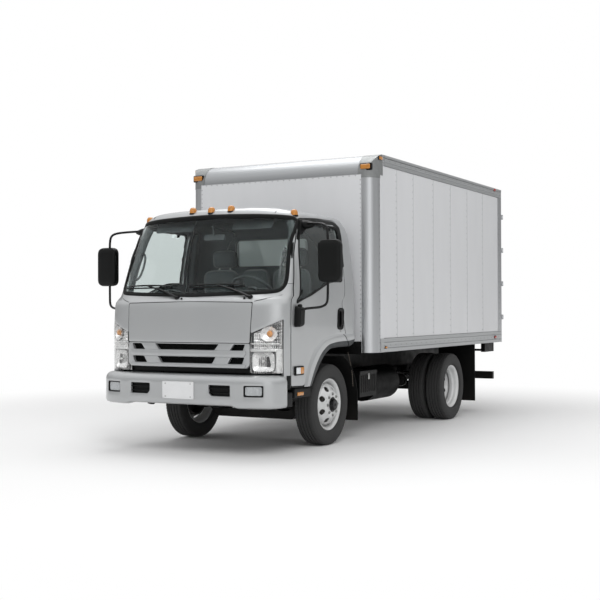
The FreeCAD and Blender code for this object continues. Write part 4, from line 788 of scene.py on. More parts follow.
# Stove enamel on a pressed tank, set a deeper black than the rails as painted shade under the body, with broad soft
# highlights.
TANK_PAINT_SHADED = Finish("tank_black_painted_deeper", "040404", "080808", "frame_black", roughness=0.45, ior=1.2, mottle_mm=160,
    grain_mm=4, grain=0.15, rough_swing=0.1)
# Sprayed stone-chip sealer under the cab: a coarse orange peel that takes no highlight.
UNDER_PAINT = Finish("underbody_sealer", "141415", "1a1a19", "frame_black", roughness=0.7, ior=1.27, grain_mm=6,
    grain=0.4)
# Sand-cast iron of drums, hubs and engine: rough, brownish black and dusty.
CAST_IRON = Finish("cast_iron", "1b1a1a", "262423", "cast_grey", metallic=0.3, roughness=0.6, mottle_mm=90,
    grain_mm=2.5, grain=0.5, dust=0.15, dust_top=1.0)
# Zinc-plated steel of nuts, locks and posts: a pale metal, slightly clouded.
BRIGHT_STEEL = Finish("zinc_plated_steel", "a9aaa8", "8b8b88", "exhaust_steel", metallic=1.0, roughness=0.35,
    mottle_mm=30, grain_mm=2, grain=0.1)
# Aluminised steel that heat has browned in patches.
EXHAUST = Finish("aluminised_steel", "77726b", "5a5048", "exhaust_steel", metallic=0.9, roughness=0.5, mottle_mm=110,
    mottle=0.8, grain_mm=4, grain=0.2, dust=0.25)
# Spark-eroded black ABS: a fine leather-like pebble that keeps highlights soft.
BLACK_PLASTIC = Finish("pebbled_black_abs", "0a0b0b", "0f1010", "black_plastic", roughness=0.42, ior=1.27,
    mottle_mm=200, grain_mm=2.2, grain=0.3, rough_swing=0.05)
# Polished black ABS of arms, caps and tubes: a narrow bright highlight.
GLOSS_BLACK = Finish("smooth_black_plastic", "0a0a0b", "0e0e0f", "black_plastic", roughness=0.2, ior=1.36,
    mottle_mm=200, grain=0.03)
# Extruded EPDM rubber of seals: matt black with a faint skin. The same black also lies in the panel gaps and in a rail
# groove as painted shade.
SEAL_RUBBER_AND_GAP_SHADE = Finish("black_rubber_and_gap_shade", "090a0a", "0d0e0e", "black_plastic", roughness=0.5, ior=1.27,
    mottle_mm=90, grain_mm=2, grain=0.12)
# Moulded flap rubber: coarser and duller than the seals.
FLAP_RUBBER = Finish("moulded_flap_rubber", "0b0b0b", "0f0f0e", "flap_rubber", roughness=0.65, ior=1.27, grain=0.25,
    dust=0.04, dust_top=0.5)
# Vacuum-formed grey vinyl with a leather grain, for the linings.
CAB_TRIM = Finish("grained_grey_vinyl", "3b4042", "34393b", "cab_plastic", roughness=0.6, mottle_mm=240, grain=0.3)
# The same vinyl in dark grey, for the dash and the handles.
DARK_TRIM = Finish("dark_grey_vinyl", "2b2f31", "25292b", "cab_plastic", roughness=0.55, mottle_mm=240, grain=0.3)
# Vacuum-aluminised plastic behind the lens: bright, and broken up by the flutes.
REFLECTOR = Finish("aluminised_reflector", "cfcfce", "bababa", "lamp_lens", metallic=0.6, roughness=0.24,
    mottle_mm=40, grain_mm=14, grain=0.12)
# Silver-painted ABS bars inside the lamp.
LAMP_GREY = Finish("satin_silver_abs", "c0c0bf", "b2b2b1", "lamp_lens", metallic=0.3, roughness=0.32, mottle_mm=60,
    grain_mm=2, grain=0.05)
# Dark grey rubber lip under the wheel-arch flare.
FLARE_LIP = Finish("dark_flare_rubber", "35383a", "2e3132", "black_plastic", roughness=0.6, grain_mm=2.5, grain=0.2,
    dust=0.05, dust_top=1.2)
# Moulded amber acrylic, prismatic inside and glossy outside.
AMBER_LENS = Finish("amber_acrylic", "bd7c2c", "9c6120", "lamp_lens", roughness=0.16, coat=0.6, mottle_mm=24,
    grain_mm=5, grain=0.25)
# Pressed lamp glass with a bright reflector behind it: silvery, with upright flutes.
FOG_LENS = Finish("fluted_lamp_glass", "b4b7b9", "9a9ea0", "lamp_lens", metallic=0.55, roughness=0.18, coat=0.4,
    mottle_mm=24, grain_mm=8, grain=0.15)
# Moulded red acrylic, as the amber.
RED_LENS = Finish("red_acrylic", "a3130f", "860c0a", "lamp_lens", roughness=0.16, coat=0.6, mottle_mm=24, grain_mm=5,
    grain=0.25)
# Clear acrylic frosted on its inner face.
WHITE_LENS = Finish("frosted_clear_acrylic", "d9dcde", "bfc3c6", "lamp_lens", roughness=0.2, coat=0.5, mottle_mm=20,
    grain_mm=5, grain=0.3)
# White-painted aluminium sheet, bare of any marks.
PLATE_BLANK = Finish("white_sheet_plate", "d6d7d8", "cecfd0", "body_white", roughness=0.4, grain_mm=30, grain=0.03)


@dataclass(frozen=True)
class TyreRubber(Finish):
    """Carbon-black tyre rubber with fine moulding rings on the walls, a little coarser than real so that they show."""

    ring_pitch: float = 0.006
    ring_deep: float = 0.0008

    def shader(self, tree: bpy.types.NodeTree) -> Node:
        """Build the surface shader, with rings about each wheel's axle in the bump.

        Args:
            tree: the material's nodes.

        Returns:
            The shader's node.
        """
        shader = super().shader(tree)
        place = add(tree, "TexCoord")
        part = add(tree, "SeparateXYZ", {"Vector": (place, "Object")})
        front = add(tree, "Math", {0: (part, "Y"), 1: (AXLE + REAR_AXLE) / 2}, operation="LESS_THAN")
        axle = add(tree, "MapRange", {"Value": (front, "Value"), "To Min": REAR_AXLE, "To Max": AXLE})
        run = add(tree, "Math", {0: (part, "Y"), 1: (axle, "Result")}, operation="SUBTRACT")
        rise = add(tree, "Math", {0: (part, "Z"), 1: WHEEL_HIGH}, operation="SUBTRACT")
        arm = add(tree, "CombineXYZ", {"X": (run, "Value"), "Y": (rise, "Value")})
        reach = add(tree, "VectorMath", {0: (arm, "Vector")}, operation="LENGTH")
        rings = add(tree, "Math", {0: (reach, "Value"), 1: 2 * math.pi / self.ring_pitch}, operation="MULTIPLY")
        wave = add(tree, "Math", {0: (rings, "Value")}, operation="SINE")
        bump = add(tree, "Bump", {"Height": (wave, "Value"), "Strength": 0.12, "Distance": self.ring_deep})
        tree.links.new(bump.outputs["Normal"], shader.inputs["Normal"])
        return shader


# Tyre rubber: near-black, greyed by road dust low down, with no gloss.
TYRE = TyreRubber("tyre_rubber", "101010", "151514", "tyre_rubber", roughness=0.6, ior=1.3, mottle_mm=60, mottle=0.5,
    rough_swing=0.08, dust=0.06, dust_top=0.85)


@dataclass(frozen=True)
class Glazing(Finish):
    """Toughened glass that lamps shine through: a tinted body with a clean reflection on it."""

    tint: str = "b9c6c2"

    def material(self) -> bpy.types.Material:
        """The glass material: a Principled pane for the eye and a plain tint for the lamps' light.

        Returns:
            The material.
        """
        made = bpy.data.materials.get(self.name)
        if made:
            return made
        made = bpy.data.materials.new(self.name)
        tree = bare_tree(made)
        pane = add(tree, "BsdfPrincipled", {"Base Color": linear(self.base), "Roughness": self.roughness,
            "IOR": self.ior, "Transmission Weight": 1.0})
        through = add(tree, "BsdfTransparent", {"Color": linear(self.tint)})
        ray = add(tree, "LightPath")
        mixed = add(tree, "MixShader", {0: (ray, "Is Shadow Ray"), 1: (pane, 0), 2: (through, 0)})
        add(tree, "OutputMaterial", {"Surface": (mixed, 0)})
        return made


# Tinted float glass: the cabin shows through it, with a faint green cast.
WINDOW_GLASS = Glazing("tinted_cab_glass", "eef4f3", "eef4f3", "tinted_glass", roughness=0.0, ior=1.2, tint="e6edea")
# Opaque pale grey with a clean gloss for the rear window: painted light standing in for the brightness seen through
# the glass.
PAINTED_BRIGHT_GLASS = Finish("glass_painted_bright", "d6dcdb", "c9d0cf", "tinted_glass", roughness=0.1, coat=0.8, mottle_mm=400)
# Hard-coated polycarbonate: water-clear, with a sharp reflection.
LAMP_GLASS = Glazing("clear_polycarbonate_lens", "fbfbfb", "fbfbfb", "lamp_lens", roughness=0.02, ior=1.45,
    tint="f4f6f7")
# Silvered glass, near-perfectly smooth.
MIRROR_GLASS = Finish("silvered_mirror", "c9cdd0", "c3c7ca", "black_plastic", metallic=1.0, roughness=0.03,
    mottle_mm=200, rough_swing=0.01)


@dataclass(frozen=True)
class Fabric(Finish):
    """Woven seat cloth: two sets of threads crossing, drawn at 6 mm so that the weave shows."""

    thread_mm: float = 6.0

    def shader(self, tree: bpy.types.NodeTree) -> Node:
        """Build the surface shader, with crossing threads in the bump and a soft sheen.

        Args:
            tree: the material's nodes.

        Returns:
            The shader's node.
        """
        shader = super().shader(tree)
        place = add(tree, "TexCoord")
        waves = []
        for direction in ("X", "Y"):
            waves.append(add(tree, "TexWave", {"Vector": (place, "Object"), "Scale": 160 / self.thread_mm,
                "Distortion": 0.4}, bands_direction=direction))
        weave = add(tree, "Math", {0: (waves[0], "Fac"), 1: (waves[1], "Fac")}, operation="MULTIPLY")
        bump = add(tree, "Bump", {"Height": (weave, "Value"), "Strength": 0.5, "Distance": 0.001})
        tree.links.new(bump.outputs["Normal"], shader.inputs["Normal"])
        shader.inputs["Sheen Weight"].default_value = 0.3
        shader.inputs["Sheen Roughness"].default_value = 0.5
        return shader


SEAT_CLOTH = Fabric("woven_seat_cloth", "3c4143", "33383a", "seat_fabric", roughness=0.85)


# ------------------------------------------------------------------ studio
@dataclass
class Studio:
    """Plain pale floor, soft light and the camera."""

    eye: tuple[float, float, float] = (6.1628, -11.8633, 1.4499)
    yaw: float = 28.9
    pitch: float = 0.5
    roll: float = 0.2
    lens: float = 64.04
    floor_half: float = 60.0
    floor_pales: tuple[float, float] = (3.6, 8.0)
    patch_way: tuple[float, float, float] = (0.66, -0.74, 0.12)

    def build(self) -> None:
        """Make the whole studio."""
        self.camera()
        self.floor()
        self.lights()
        bpy.context.scene.view_settings.view_transform = "Standard"

    def camera(self) -> None:
        """Camera that looks along +Y, turned by yaw about +Z."""
        data = bpy.data.cameras.new("camera")
        data.lens, data.sensor_width, data.clip_end = self.lens, 36.0, 300.0
        camera = bpy.data.objects.new("camera", data)
        camera.location = self.eye
        camera.rotation_euler = (math.radians(90 + self.pitch), math.radians(self.roll), math.radians(self.yaw))
        bpy.context.scene.collection.objects.link(camera)
        bpy.context.scene.camera = camera

    def floor(self) -> None:
        """Floor that keeps the truck's shadow and pales to the background's white away from it."""
        half = self.floor_half
        mesh = bpy.data.meshes.new("floor")
        mesh.from_pydata([(-half, -half, 0), (half, -half, 0), (half, half, 0), (-half, half, 0)], [], [(0, 1, 2, 3)])
        floor = bpy.data.objects.new("floor", mesh)
        bpy.context.scene.collection.objects.link(floor)
        material = bpy.data.materials.new("pale_floor")
        tree = bare_tree(material)
        place = add(tree, "TexCoord")
        reach = add(tree, "VectorMath", {0: (place, "Object")}, operation="LENGTH")
        away = add(tree, "MapRange", {"Value": (reach, "Value"), "From Min": self.floor_pales[0],
            "From Max": self.floor_pales[1]}, interpolation_type="SMOOTHSTEP")
        ray = add(tree, "LightPath")
        seen = add(tree, "Math", {0: (ray, "Is Camera Ray"), 1: (ray, "Is Glossy Ray")}, operation="MAXIMUM")
        wide = add(tree, "Math", {0: (seen, "Value"), 1: (ray, "Is Transmission Ray")}, operation="MAXIMUM")
        share = add(tree, "Math", {0: (away, "Result"), 1: (wide, "Value")}, operation="MULTIPLY")
        paint = add(tree, "BsdfPrincipled", {"Base Color": linear("f4f4f4"), "Roughness": 0.7})
        glow = add(tree, "Emission", {"Color": (1, 1, 1, 1), "Strength": 1.0})
        mixed = add(tree, "MixShader", {0: (share, "Value"), 1: (paint, 0), 2: (glow, 0)})
        add(tree, "OutputMaterial", {"Surface": (mixed, 0)})
        mesh.materials.append(material)

    def lights(self) -> None:
        """White surroundings, a broad key from the front left, a fill, a side and a top light.

        Mirror-like surfaces see a sky that darkens towards the horizon, with a bright patch where the key stands,
        because only the top light shows in them itself.
        """
        world = bpy.data.worlds.new("studio")
        bpy.context.scene.world = world
        tree = bare_tree(world)
        ray = add(tree, "LightPath")
        seen = add(tree, "Math", {0: (ray, "Is Camera Ray"), 1: (ray, "Is Transmission Ray")}, operation="MAXIMUM")
        strength = add(tree, "MapRange", {"Value": (seen, "Value"), "To Min": 0.56, "To Max": 1.0})
        look = add(tree, "TexCoord")
        way = add(tree, "SeparateXYZ", {"Vector": (look, "Generated")})
        beam = add(tree, "VectorMath", {0: (look, "Generated"), 1: self.patch_way}, operation="DOT_PRODUCT")
        glow = add(tree, "MapRange", {"Value": (beam, "Value"), "From Min": 0.9, "From Max": 0.995, "To Min": 0.0,
            "To Max": 1.1})
        height = add(tree, "MapRange", {"Value": (way, "Z"), "From Min": 0.05, "From Max": 0.75, "To Min": -0.26,
            "To Max": 0.6})
        both = add(tree, "Math", {0: (height, "Result"), 1: (glow, "Result")}, operation="ADD")
        gloss = add(tree, "Math", {0: (both, "Value"), 1: (ray, "Is Glossy Ray")}, operation="MULTIPLY")
        lit = add(tree, "Math", {0: (strength, "Result"), 1: (gloss, "Value")}, operation="ADD")
        sky = add(tree, "Background", {"Color": (1, 1, 1, 1), "Strength": (lit, "Value")})
        add(tree, "OutputWorld", {"Surface": (sky, 0)})
        for name, spot, target, size, power in (("key", (5.5, -9.0, 7.0), (0.0, -1.0, 1.4), 5.0, 430.0),
                ("top", (-1.0, 0.5, 8.5), (0.0, 0.5, 1.0), 6.0, 255.0), ("fill", (-7.5, -7.0, 4.0), (0.0, -1.5, 1.4),
                5.0, 130.0), ("side", (9.0, 3.0, 4.5), (1.0, 0.5, 1.6), 5.0, 115.0)):
            data = bpy.data.lights.new(name, "AREA")
            data.shape, data.size, data.energy = "DISK", size, power
            light = bpy.data.objects.new(name, data)
            light.visible_glossy = name == "top"
            light.location = spot
            aim = np.array(target) - np.array(spot)
            flat = math.hypot(aim[0], aim[1])
            light.rotation_euler = (math.atan2(flat, -aim[2]), 0.0, math.atan2(-aim[0], aim[1]))
            bpy.context.scene.collection.objects.link(light)


# ------------------------------------------------------------------ the frame's own nodes
NODE_FINISH: dict[str, Finish] = {"chassis_rail": FRAME_PAINT, "cross_members": FRAME_PAINT,
    "leaf_springs": FRAME_PAINT, "front_axle": FRAME_PAINT, "rear_axle": FRAME_PAINT, "engine": CAST_IRON,
    "propeller_shaft": FRAME_PAINT, "fuel_tank": TANK_PAINT_SHADED, "battery_box": BLACK_PLASTIC, "exhaust": EXHAUST,
    "front_bumper": CAB_PAINT, "fog_lamps": WHITE_LENS, "rear_guard": FRAME_PAINT, "mud_flaps": FLAP_RUBBER,
    "box_front_frame": POST_METAL, "box_front_wall": BODY_SHEET, "box_wall": BODY_SHEET, "box_roof": BODY_SHEET,
    "box_floor": FRAME_PAINT, "box_rear_frame": POST_METAL, "box_door": BODY_SHEET, "cab_shell": CAB_PAINT,
    "cab_glass": WINDOW_GLASS, "cab_door": CAB_PAINT, "door_glass": WINDOW_GLASS, "headlamp": WHITE_LENS,
    "front_lid": CAB_PAINT, "grille": CAB_PAINT, "dashboard": DARK_TRIM, "seats": SEAT_CLOTH,
    "steering_wheel": DARK_TRIM, "wipers": GLOSS_BLACK, "cab_steps": BLACK_PLASTIC, "mirror": BLACK_PLASTIC,
    "knuckle": CAST_IRON, "front_rim": WHEEL_PAINT, "front_tyre": TYRE, "rear_rims": WHEEL_PAINT, "rear_tyres": TYRE,
    "roof_lamps": AMBER_LENS,}


def dress_nodes() -> None:
    """Give each CAD node the finish whose key begins its name."""
    for name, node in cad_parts.items():
        key = max((key for key in NODE_FINISH if name.startswith(key)), key=len)
        node.data.materials.clear()
        node.data.materials.append(NODE_FINISH[key].material())


# ------------------------------------------------------------------ the cab's outer form
def arc_length(knots: Pairs) -> tuple[Array, Array, Array]:
    """Length run along a line of knots, with their two coordinates."""
    first, second = np.array(knots, float).T
    return np.concatenate([[0], np.cumsum(np.hypot(np.diff(first), np.diff(second)))]), first, second


@dataclass(frozen=True)
class CabForm:
    """The cab's outer surface as one function of girth round the cab and height up it.

    Seen from above the nose is a flat-fronted curve, (x / half)^5 + (1 - sag / depth)^2 = 1, that runs into straight
    sides and round rear corners. The half width, nose and back are smooth curves of height. Above the shoulder each
    point slides in towards the roof's crown by a share of its distance, and rises, along a front, side or rear
    profile, mixed by the way that the wall faces, and the roof is arched by a parabola across the cab.

    Positions are heights above the ground and lengths from the front axle.
    """

    half: Pairs = ((0.679, 1.062), (1.5, 1.064), (2.201, 1.0), (2.341, 0.966))
    nose: Pairs = ((0.6, -1.345), (1.1, -1.345), (1.501, -1.323), (1.541, -1.3), (1.59, -1.232), (2.0, -1.078),
        (2.341, -0.943))
    back: Pairs = ((0.6, 0.376), (1.778, 0.376), (2.261, 0.366), (2.341, 0.34))
    depth: float = 0.244
    rear_round: float = 0.09
    shoulder: float = 2.33
    crown: float = -0.3
    brim: float = 0.16
    front_roof: Pairs = ((0, 0), (0.03, 0.07), (0.087, 0.132), (0.247, 0.155), (0.643, 0.167))
    side_roof: Pairs = ((0, 0), (0.061, 0.092), (0.15, 0.122), (0.261, 0.14), (0.6, 0.161), (0.965, 0.167))
    rear_roof: Pairs = ((0, 0), (0.03, 0.055), (0.067, 0.09), (0.177, 0.135), (0.382, 0.155), (0.645, 0.167))
    arch: float = 0.026

    def contour(self) -> tuple[Array, Array, Array]:
        """Girth, share of the half width and sag behind the nose, for the front curve at its nominal width.

        Returns:
            The three, one value of each for every point of the curve.
        """
        share = np.concatenate([np.linspace(0, 0.52, 160), np.sin(np.linspace(0.2, np.pi / 2, 500)[1:]) ** 0.4])
        sag = self.depth * (1 - np.sqrt(np.clip(1 - share ** 5, 0, 1)))
        step = np.hypot(np.diff(share) * 1.064, np.diff(sag))
        return np.concatenate([[0], np.cumsum(step)]), share, sag

    def roof(self, knots: Pairs, up: Array) -> tuple[Array, Array]:
        """Share of the way to the crown and the rise, at a height coordinate along one roof profile.

        Args:
            knots: the profile's knots.
            up: height coordinates, less the shoulder's.

        Returns:
            The share and the rise, one of each for every height coordinate.
        """
        length, inward, rise = arc_length(knots)
        past = np.maximum(up - self.brim, 0)
        reach = np.minimum(up, self.brim) + past * (length[-1] - self.brim)
        way = pchip(list(zip(length, inward)), reach)
        return way / inward[-1], pchip(list(zip(length, rise)), reach)

    def place(self, girth: Array, height: Array) -> Array:
        """Places on the surface.

        Args:
            girth: length round the contour from the middle of the nose, positive on the truck's left.
            height: height, or above the shoulder its height plus the length up the roof's profile; past the brim, one
                unit more runs to the crown.

        Returns:
            Places in the frame.
        """
        girth, height = np.broadcast_arrays(np.asarray(girth, float), np.asarray(height, float))
        table, share, sag = self.contour()
        level, up = np.minimum(height, self.shoulder), np.maximum(height - self.shoulder, 0)
        a = np.abs(girth)
        x = pchip(self.half, level) * np.interp(a, table, share)
        y = pchip(self.nose, level) + np.interp(a, table, sag) + np.maximum(a - table[-1], 0)
        turn_in = np.interp(a, table, np.gradient(sag, table))
        face_x, face_y = turn_in, -np.sqrt(np.clip(1 - turn_in ** 2, 0, 1))
        back = pchip(self.back, level)
        phi = (y - back + self.rear_round) / self.rear_round
        bend = np.clip(phi, 0, np.pi / 2)
        wrapped = phi > 0
        x = np.where(wrapped, x - self.rear_round * (1 - np.cos(bend) + np.maximum(phi - np.pi / 2, 0)), x)
        y = np.where(wrapped, back - self.rear_round * (1 - np.sin(bend)), y)
        face_x, face_y = np.where(wrapped, np.cos(bend), face_x), np.where(wrapped, np.sin(bend), face_y)
        front, side, rear = np.maximum(-face_y, 0) ** 2, face_x ** 2, np.maximum(face_y, 0) ** 2
        total = front + side + rear
        slide, rise = np.zeros_like(x), np.zeros_like(x)
        for weight, knots in ((front, self.front_roof), (side, self.side_roof), (rear, self.rear_roof)):
            way, lift = self.roof(knots, up)
            slide, rise = slide + weight / total * way, rise + weight / total * lift
        x, y = x * (1 - slide), self.crown + (y - self.crown) * (1 - slide)
        swell = np.clip(up / 0.09, 0, 1)
        level = level + self.arch * swell * swell * (3 - 2 * swell) * np.clip(1 - (x / 0.95) ** 2, 0, 1)
        level = level + rise
        return np.stack([np.sign(girth) * x, y + AXLE, level], axis=-1)

    def front(self, x: float, z: float) -> tuple[float, float]:
        """Girth and height of the point of the nose or windscreen with this x and z.

        Args:
            x: distance from the middle plane.
            z: height over the ground.

        Returns:
            Girth and height coordinate.
        """
        up, way = self.lift(z, self.front_roof)
        table, share, _ = self.contour()
        base = min(abs(x) / (1 - way) / float(pchip(self.half, np.array(min(z, self.shoulder)))), 0.9999)
        return math.copysign(float(np.interp(base, share, table)), x), up

    def side(self, y: float, z: float) -> tuple[float, float]:
        """Girth and height of the point of the left side with this y and z.

        Args:
            y: distance along the truck.
            z: height over the ground.

        Returns:
            Girth and height coordinate.
        """
        up, way = self.lift(z, self.side_roof)
        table, _, _ = self.contour()
        base = self.crown + (y - self.crown) / (1 - way)
        return float(table[-1] + base - pchip(self.nose, np.array(min(z, self.shoulder))) - self.depth), up

    def lift(self, z: float, knots: Pairs) -> tuple[float, float]:
        """Height coordinate for a height z on one roof profile, and the share slid inwards there.

        Args:
            z: height over the ground.
            knots: the profile's knots.

        Returns:
            Height coordinate and share.
        """
        if z <= self.shoulder:
            return z, 0.0
        length, inward, rise = arc_length(knots)
        fine = np.linspace(0, self.brim, 60)
        up = float(np.interp(z - self.shoulder, pchip(list(zip(length, rise)), fine), fine))
        return self.shoulder + up, float(pchip(list(zip(length, inward)), np.array(up))) / inward[-1]

    def end(self, z: float) -> tuple[float, float]:
        """Girth where the rear corner has turned onto the back, at a height below the shoulder.

        Args:
            z: height over the ground.

        Returns:
            Girth and height coordinate.
        """
        table, _, _ = self.contour()
        level = np.array(min(z, self.shoulder))
        run = float(pchip(self.back, level) - pchip(self.nose, level)) - self.depth - self.rear_round
        return float(table[-1]) + run + self.rear_round * math.pi / 2, z


CAB = CabForm()
CAB_SKIN = Skin(CAB.place)


def fronts(corners: Corners) -> list[tuple[float, ...]]:
    """Corners given as (x, z) or (x, z, radius) on the front, as girth and height."""
    return [(*CAB.front(*corner[:2]), *corner[2:]) for corner in corners]


def sides(corners: Corners) -> list[tuple[float, ...]]:
    """Corners given as (y, z) or (y, z, radius) on the left side, as girth and height."""
    return [(*CAB.side(*corner[:2]), *corner[2:]) for corner in corners]


def even(corners: Pairs) -> Array:
    """The mirror image of corners with positive girth followed by the corners: a symmetric outline, anticlockwise."""
    right = [(-corner[0], *corner[1:]) for corner in corners if corner[0] > 1e-9]
    return rounded([*corners, *right[::-1]], 0.012)


def on_front(x: float, z: float, out: float = 0.0) -> Array:
    """Place on the nose at x and z, moved outwards by a little."""
    return CAB_SKIN.at(np.array([CAB.front(x, z)]), out)[0]


def on_side(y: float, z: float, out: float = 0.0) -> Array:
    """Place on the left side at y and z, moved outwards by a little."""
    return CAB_SKIN.at(np.array([CAB.side(y, z)]), out)[0]


def proud(form: Surface, by: float) -> Surface:
    """A surface that stands off another one by a constant distance along its normals.

    Args:
        form: the surface underneath.
        by: the distance, in metres.

    Returns:
        The surface that stands off it.
    """
    skin = Skin(form)

    def place(u: Array, v: Array) -> Array:
        """Place on the raised surface."""
        u, v = np.broadcast_arrays(np.asarray(u, float), np.asarray(v, float))
        flat = np.stack([u.ravel(), v.ravel()], axis=1)
        return skin.at(flat, by).reshape(*u.shape, 3)

    return place




# ------------------------------------------------------------------ the cab's skin
@dataclass
class CabSkin:
    """Pressed steel panels of the cab: body, doors, front lid and roof, with their rubbers and glass."""

    gap: float = 0.014
    rubber: float = 0.036
    door_front: Pairs = ((-1.096, 0.69), (-1.096, 1.255), (-1.089, 1.499), (-1.02, 1.656), (-0.924, 2.012),
        (-0.831, 2.222), (-0.791, 2.335))
    door_top: Corners = ((-0.72, 2.378, 0.05), (-0.332, 2.402, 0.1), (0.1, 2.404, 0.05))
    door_rear: Corners = ((0.12, 2.25, 0.08), (0.116, 1.172, 0.004))
    arch_out: Pairs = ((-0.803, 0.679), (-0.74, 0.832), (-0.655, 0.953), (-0.54, 1.058), (-0.364, 1.136),
        (-0.12, 1.167), (0.116, 1.172))
    arch_in: Pairs = ((-0.675, 0.679), (-0.592, 0.795), (-0.497, 0.905), (-0.365, 1.006), (-0.21, 1.062),
        (0.007, 1.074), (0.222, 1.076))
    window: Corners = ((-0.982, 1.5, 0.03), (-0.239, 1.732, 0.1), (0.045, 1.738, 0.04), (0.082, 2.33, 0.06),
        (-0.75, 2.345, 0.07), (-0.874, 2.012, 0.3))
    screen: Corners = ((0.0, 1.58), (0.83, 1.6, 0.3), (1.008, 1.628, 0.15), (0.986, 1.922, 0.3), (0.96, 2.17, 0.3),
        (0.94, 2.384, 0.13), (0.76, 2.397, 0.3), (0.0, 2.405))
    lid_low: float = 1.127
    lid_high: float = 1.514
    lid_half: float = 0.743
    seam_half: float = 0.012
    wall: float = 0.04

    def door_outline(self) -> Array:
        """The door's opening in the cab's skin, anticlockwise, in girth and height.

        Returns:
            The outline.
        """
        arch = [(y, z, 0.06) for y, z in self.arch_out[:-1]]
        corners = [*sides(self.door_front[::-1]), *sides(arch), *sides(self.door_rear[::-1]),
            *sides(self.door_top[::-1])]
        return rounded([(c[0], c[1], c[2] if len(c) > 2 else 0.02) for c in corners], 0.02)

    def body_outline(self) -> Array:
        """The fixed skin's outline: from the cowl out to the rear corner and back over the roof's brim.

        Returns:
            The outline.
        """
        rear, brim = CAB.end(1.13), CAB.end(CAB.shoulder)
        lamp_side = self.lid_half + 0.001
        middle = CAB.front(0.0, self.lid_high + 0.013 + self.seam_half)
        right = [*fronts([(self.lid_half + self.seam_half, self.lid_high + self.seam_half, 0.012),
            (lamp_side, 1.222, 0.01), (1.037, 1.361, 0.02), (1.037, 0.826, 0.004), (1.037, 0.679, 0.004)]),
            *sides([(y - 0.005, z, 0.02) for y, z in ((-1.096, 0.679), *self.door_front[1:])]), *sides(self.door_top),
            *sides(self.door_rear[:1]), *sides([(0.116, 1.172, 0.004)]), (*CAB.side(0.24, 1.172), 0.02),
            (rear[0], 1.16, 0.004), (rear[0], CAB.shoulder, 0.05), (brim[0], CAB.shoulder + CAB.brim, 0.0005)]
        left = [(-corner[0], *corner[1:]) for corner in right[::-1]]
        return rounded([*left, (*middle, 0.3), *right], 0.012)

    def build(self) -> None:
        """Make every panel."""
        self.body()
        self.back()
        for side in Side:
            self.door(side)
        self.lid()
        self.screen_parts()

    def body(self) -> None:
        """The fixed skin with its windscreen opening, and the roof that shares its brim's points."""
        skin = Skin(CAB.place, spacing=0.032, flange=0.045)
        outline = self.body_outline()
        screen = even(fronts(self.screen))[::-1]
        brim = CAB.shoulder + CAB.brim

        def bare(points: Array) -> Array:
            """Where the skin goes on into the roof."""
            return points[:, 1] > brim - 1e-6

        piece = skin.cut(outline, [screen], bare=bare)
        ring = skin.loop(outline)
        top = ring[ring[:, 1] > brim - 1e-6]
        top = top[np.argsort(top[:, 0])]
        roof = CAB.place(top[:, :1], brim + np.linspace(0, 1, 26)[None])
        piece.grid(roof)
        for half in (self.roof_back(), self.roof_back().mirrored()):
            piece.also(half)
        piece.make("cab_body_skin", CAB_PAINT, "cab", ["cab_shell"], angle=38)
        inner = Skin(proud(CAB.place, -self.wall), spacing=0.05, roll=0.0, flange=0.0)
        rim = grown(outline, -0.006)
        lining = inner.cut(rim[rim[:, 1] > 0.745], [grown(screen[::-1], 0.002)[::-1]], bare=everywhere)
        lining.grid(roof - np.array([0, 0, self.wall]))
        for half in (self.roof_back(), self.roof_back().mirrored()):
            lining.also(half.moved(by=(0, -0.01, -self.wall)))
        lining.flipped().make("cab_inner_frame", CAB_TRIM, "cab", angle=38)
        # Dark strips and thin dark tubes along the door and lid gaps, the cowl and pillar seams, the pillar's slot and
        # the door's foot by the bumper's end: painted shade of the gaps.
        gaps = gap_ring(grown(self.door_outline(), -0.004), 0.021)
        for low, high in (((0.762, 1.53), (0.985, 1.592)), ((0.752, 2.412), (0.752, 2.44))):
            start, end = (np.array(CAB.front(*spot)) for spot in (low, high))
            gaps.tube(CAB.place(*(start + (end - start) * np.linspace(0, 1, 12)[:, None]).T), 0.0028, 6)
        pillar = [on_side(y, 1.702, -0.0005) for y in np.linspace(-1.09, -1.005, 8)]
        gaps.tube(np.array(pillar), 0.0026, 6)
        vent = np.linspace(1.955, 2.115, 12)
        edge = np.interp(vent, *np.array(self.door_front)[:, ::-1].T)
        gaps.tube(np.array([on_side(y - 0.018, z, 0.002) for y, z in zip(edge, vent)]),
            0.011 * np.clip(np.sin(np.linspace(0.12, np.pi - 0.12, 12)), 0, 1) ** 0.3, 10)
        girths, heights = np.linspace(CAB.side(-1.162, 0.672), CAB.side(-1.104, 0.806), 5).T
        gaps.grid(proud(CAB.place, 0.0012)(girths[:, None], heights[None]))
        gaps.also(gaps.mirrored()).also(gap_ring(grown(self.lid_outline(), 0.0095), 0.013))
        gaps.make("panel_gap_shade", SEAL_RUBBER_AND_GAP_SHADE, "cab")

    def roof_back(self) -> Piece:
        """The roof's left rear part, from the rear corner to the middle of the back and up to the crown.

        Returns:
            The piece, with its edge rolled.
        """
        start = CAB.end(CAB.shoulder)[0] - 0.002
        girths = np.linspace(start, start + 0.002 + pchip(CAB.half, np.array(CAB.shoulder)) - CAB.rear_round, 28)
        ups = np.concatenate([np.linspace(-0.004, CAB.brim, 14), CAB.brim + np.linspace(0, 1, 26)[1:]])
        return Piece().grid(CAB.place(girths[:, None], CAB.shoulder + ups[None]))

    def back(self) -> None:
        """The back panel with its window opening, and the window in it."""
        def place(x: Array, z: Array) -> Array:
            """A sheet that follows the back's line of height."""
            return np.stack([-x, AXLE + pchip(CAB.back, z) + 0 * x, z], axis=-1)

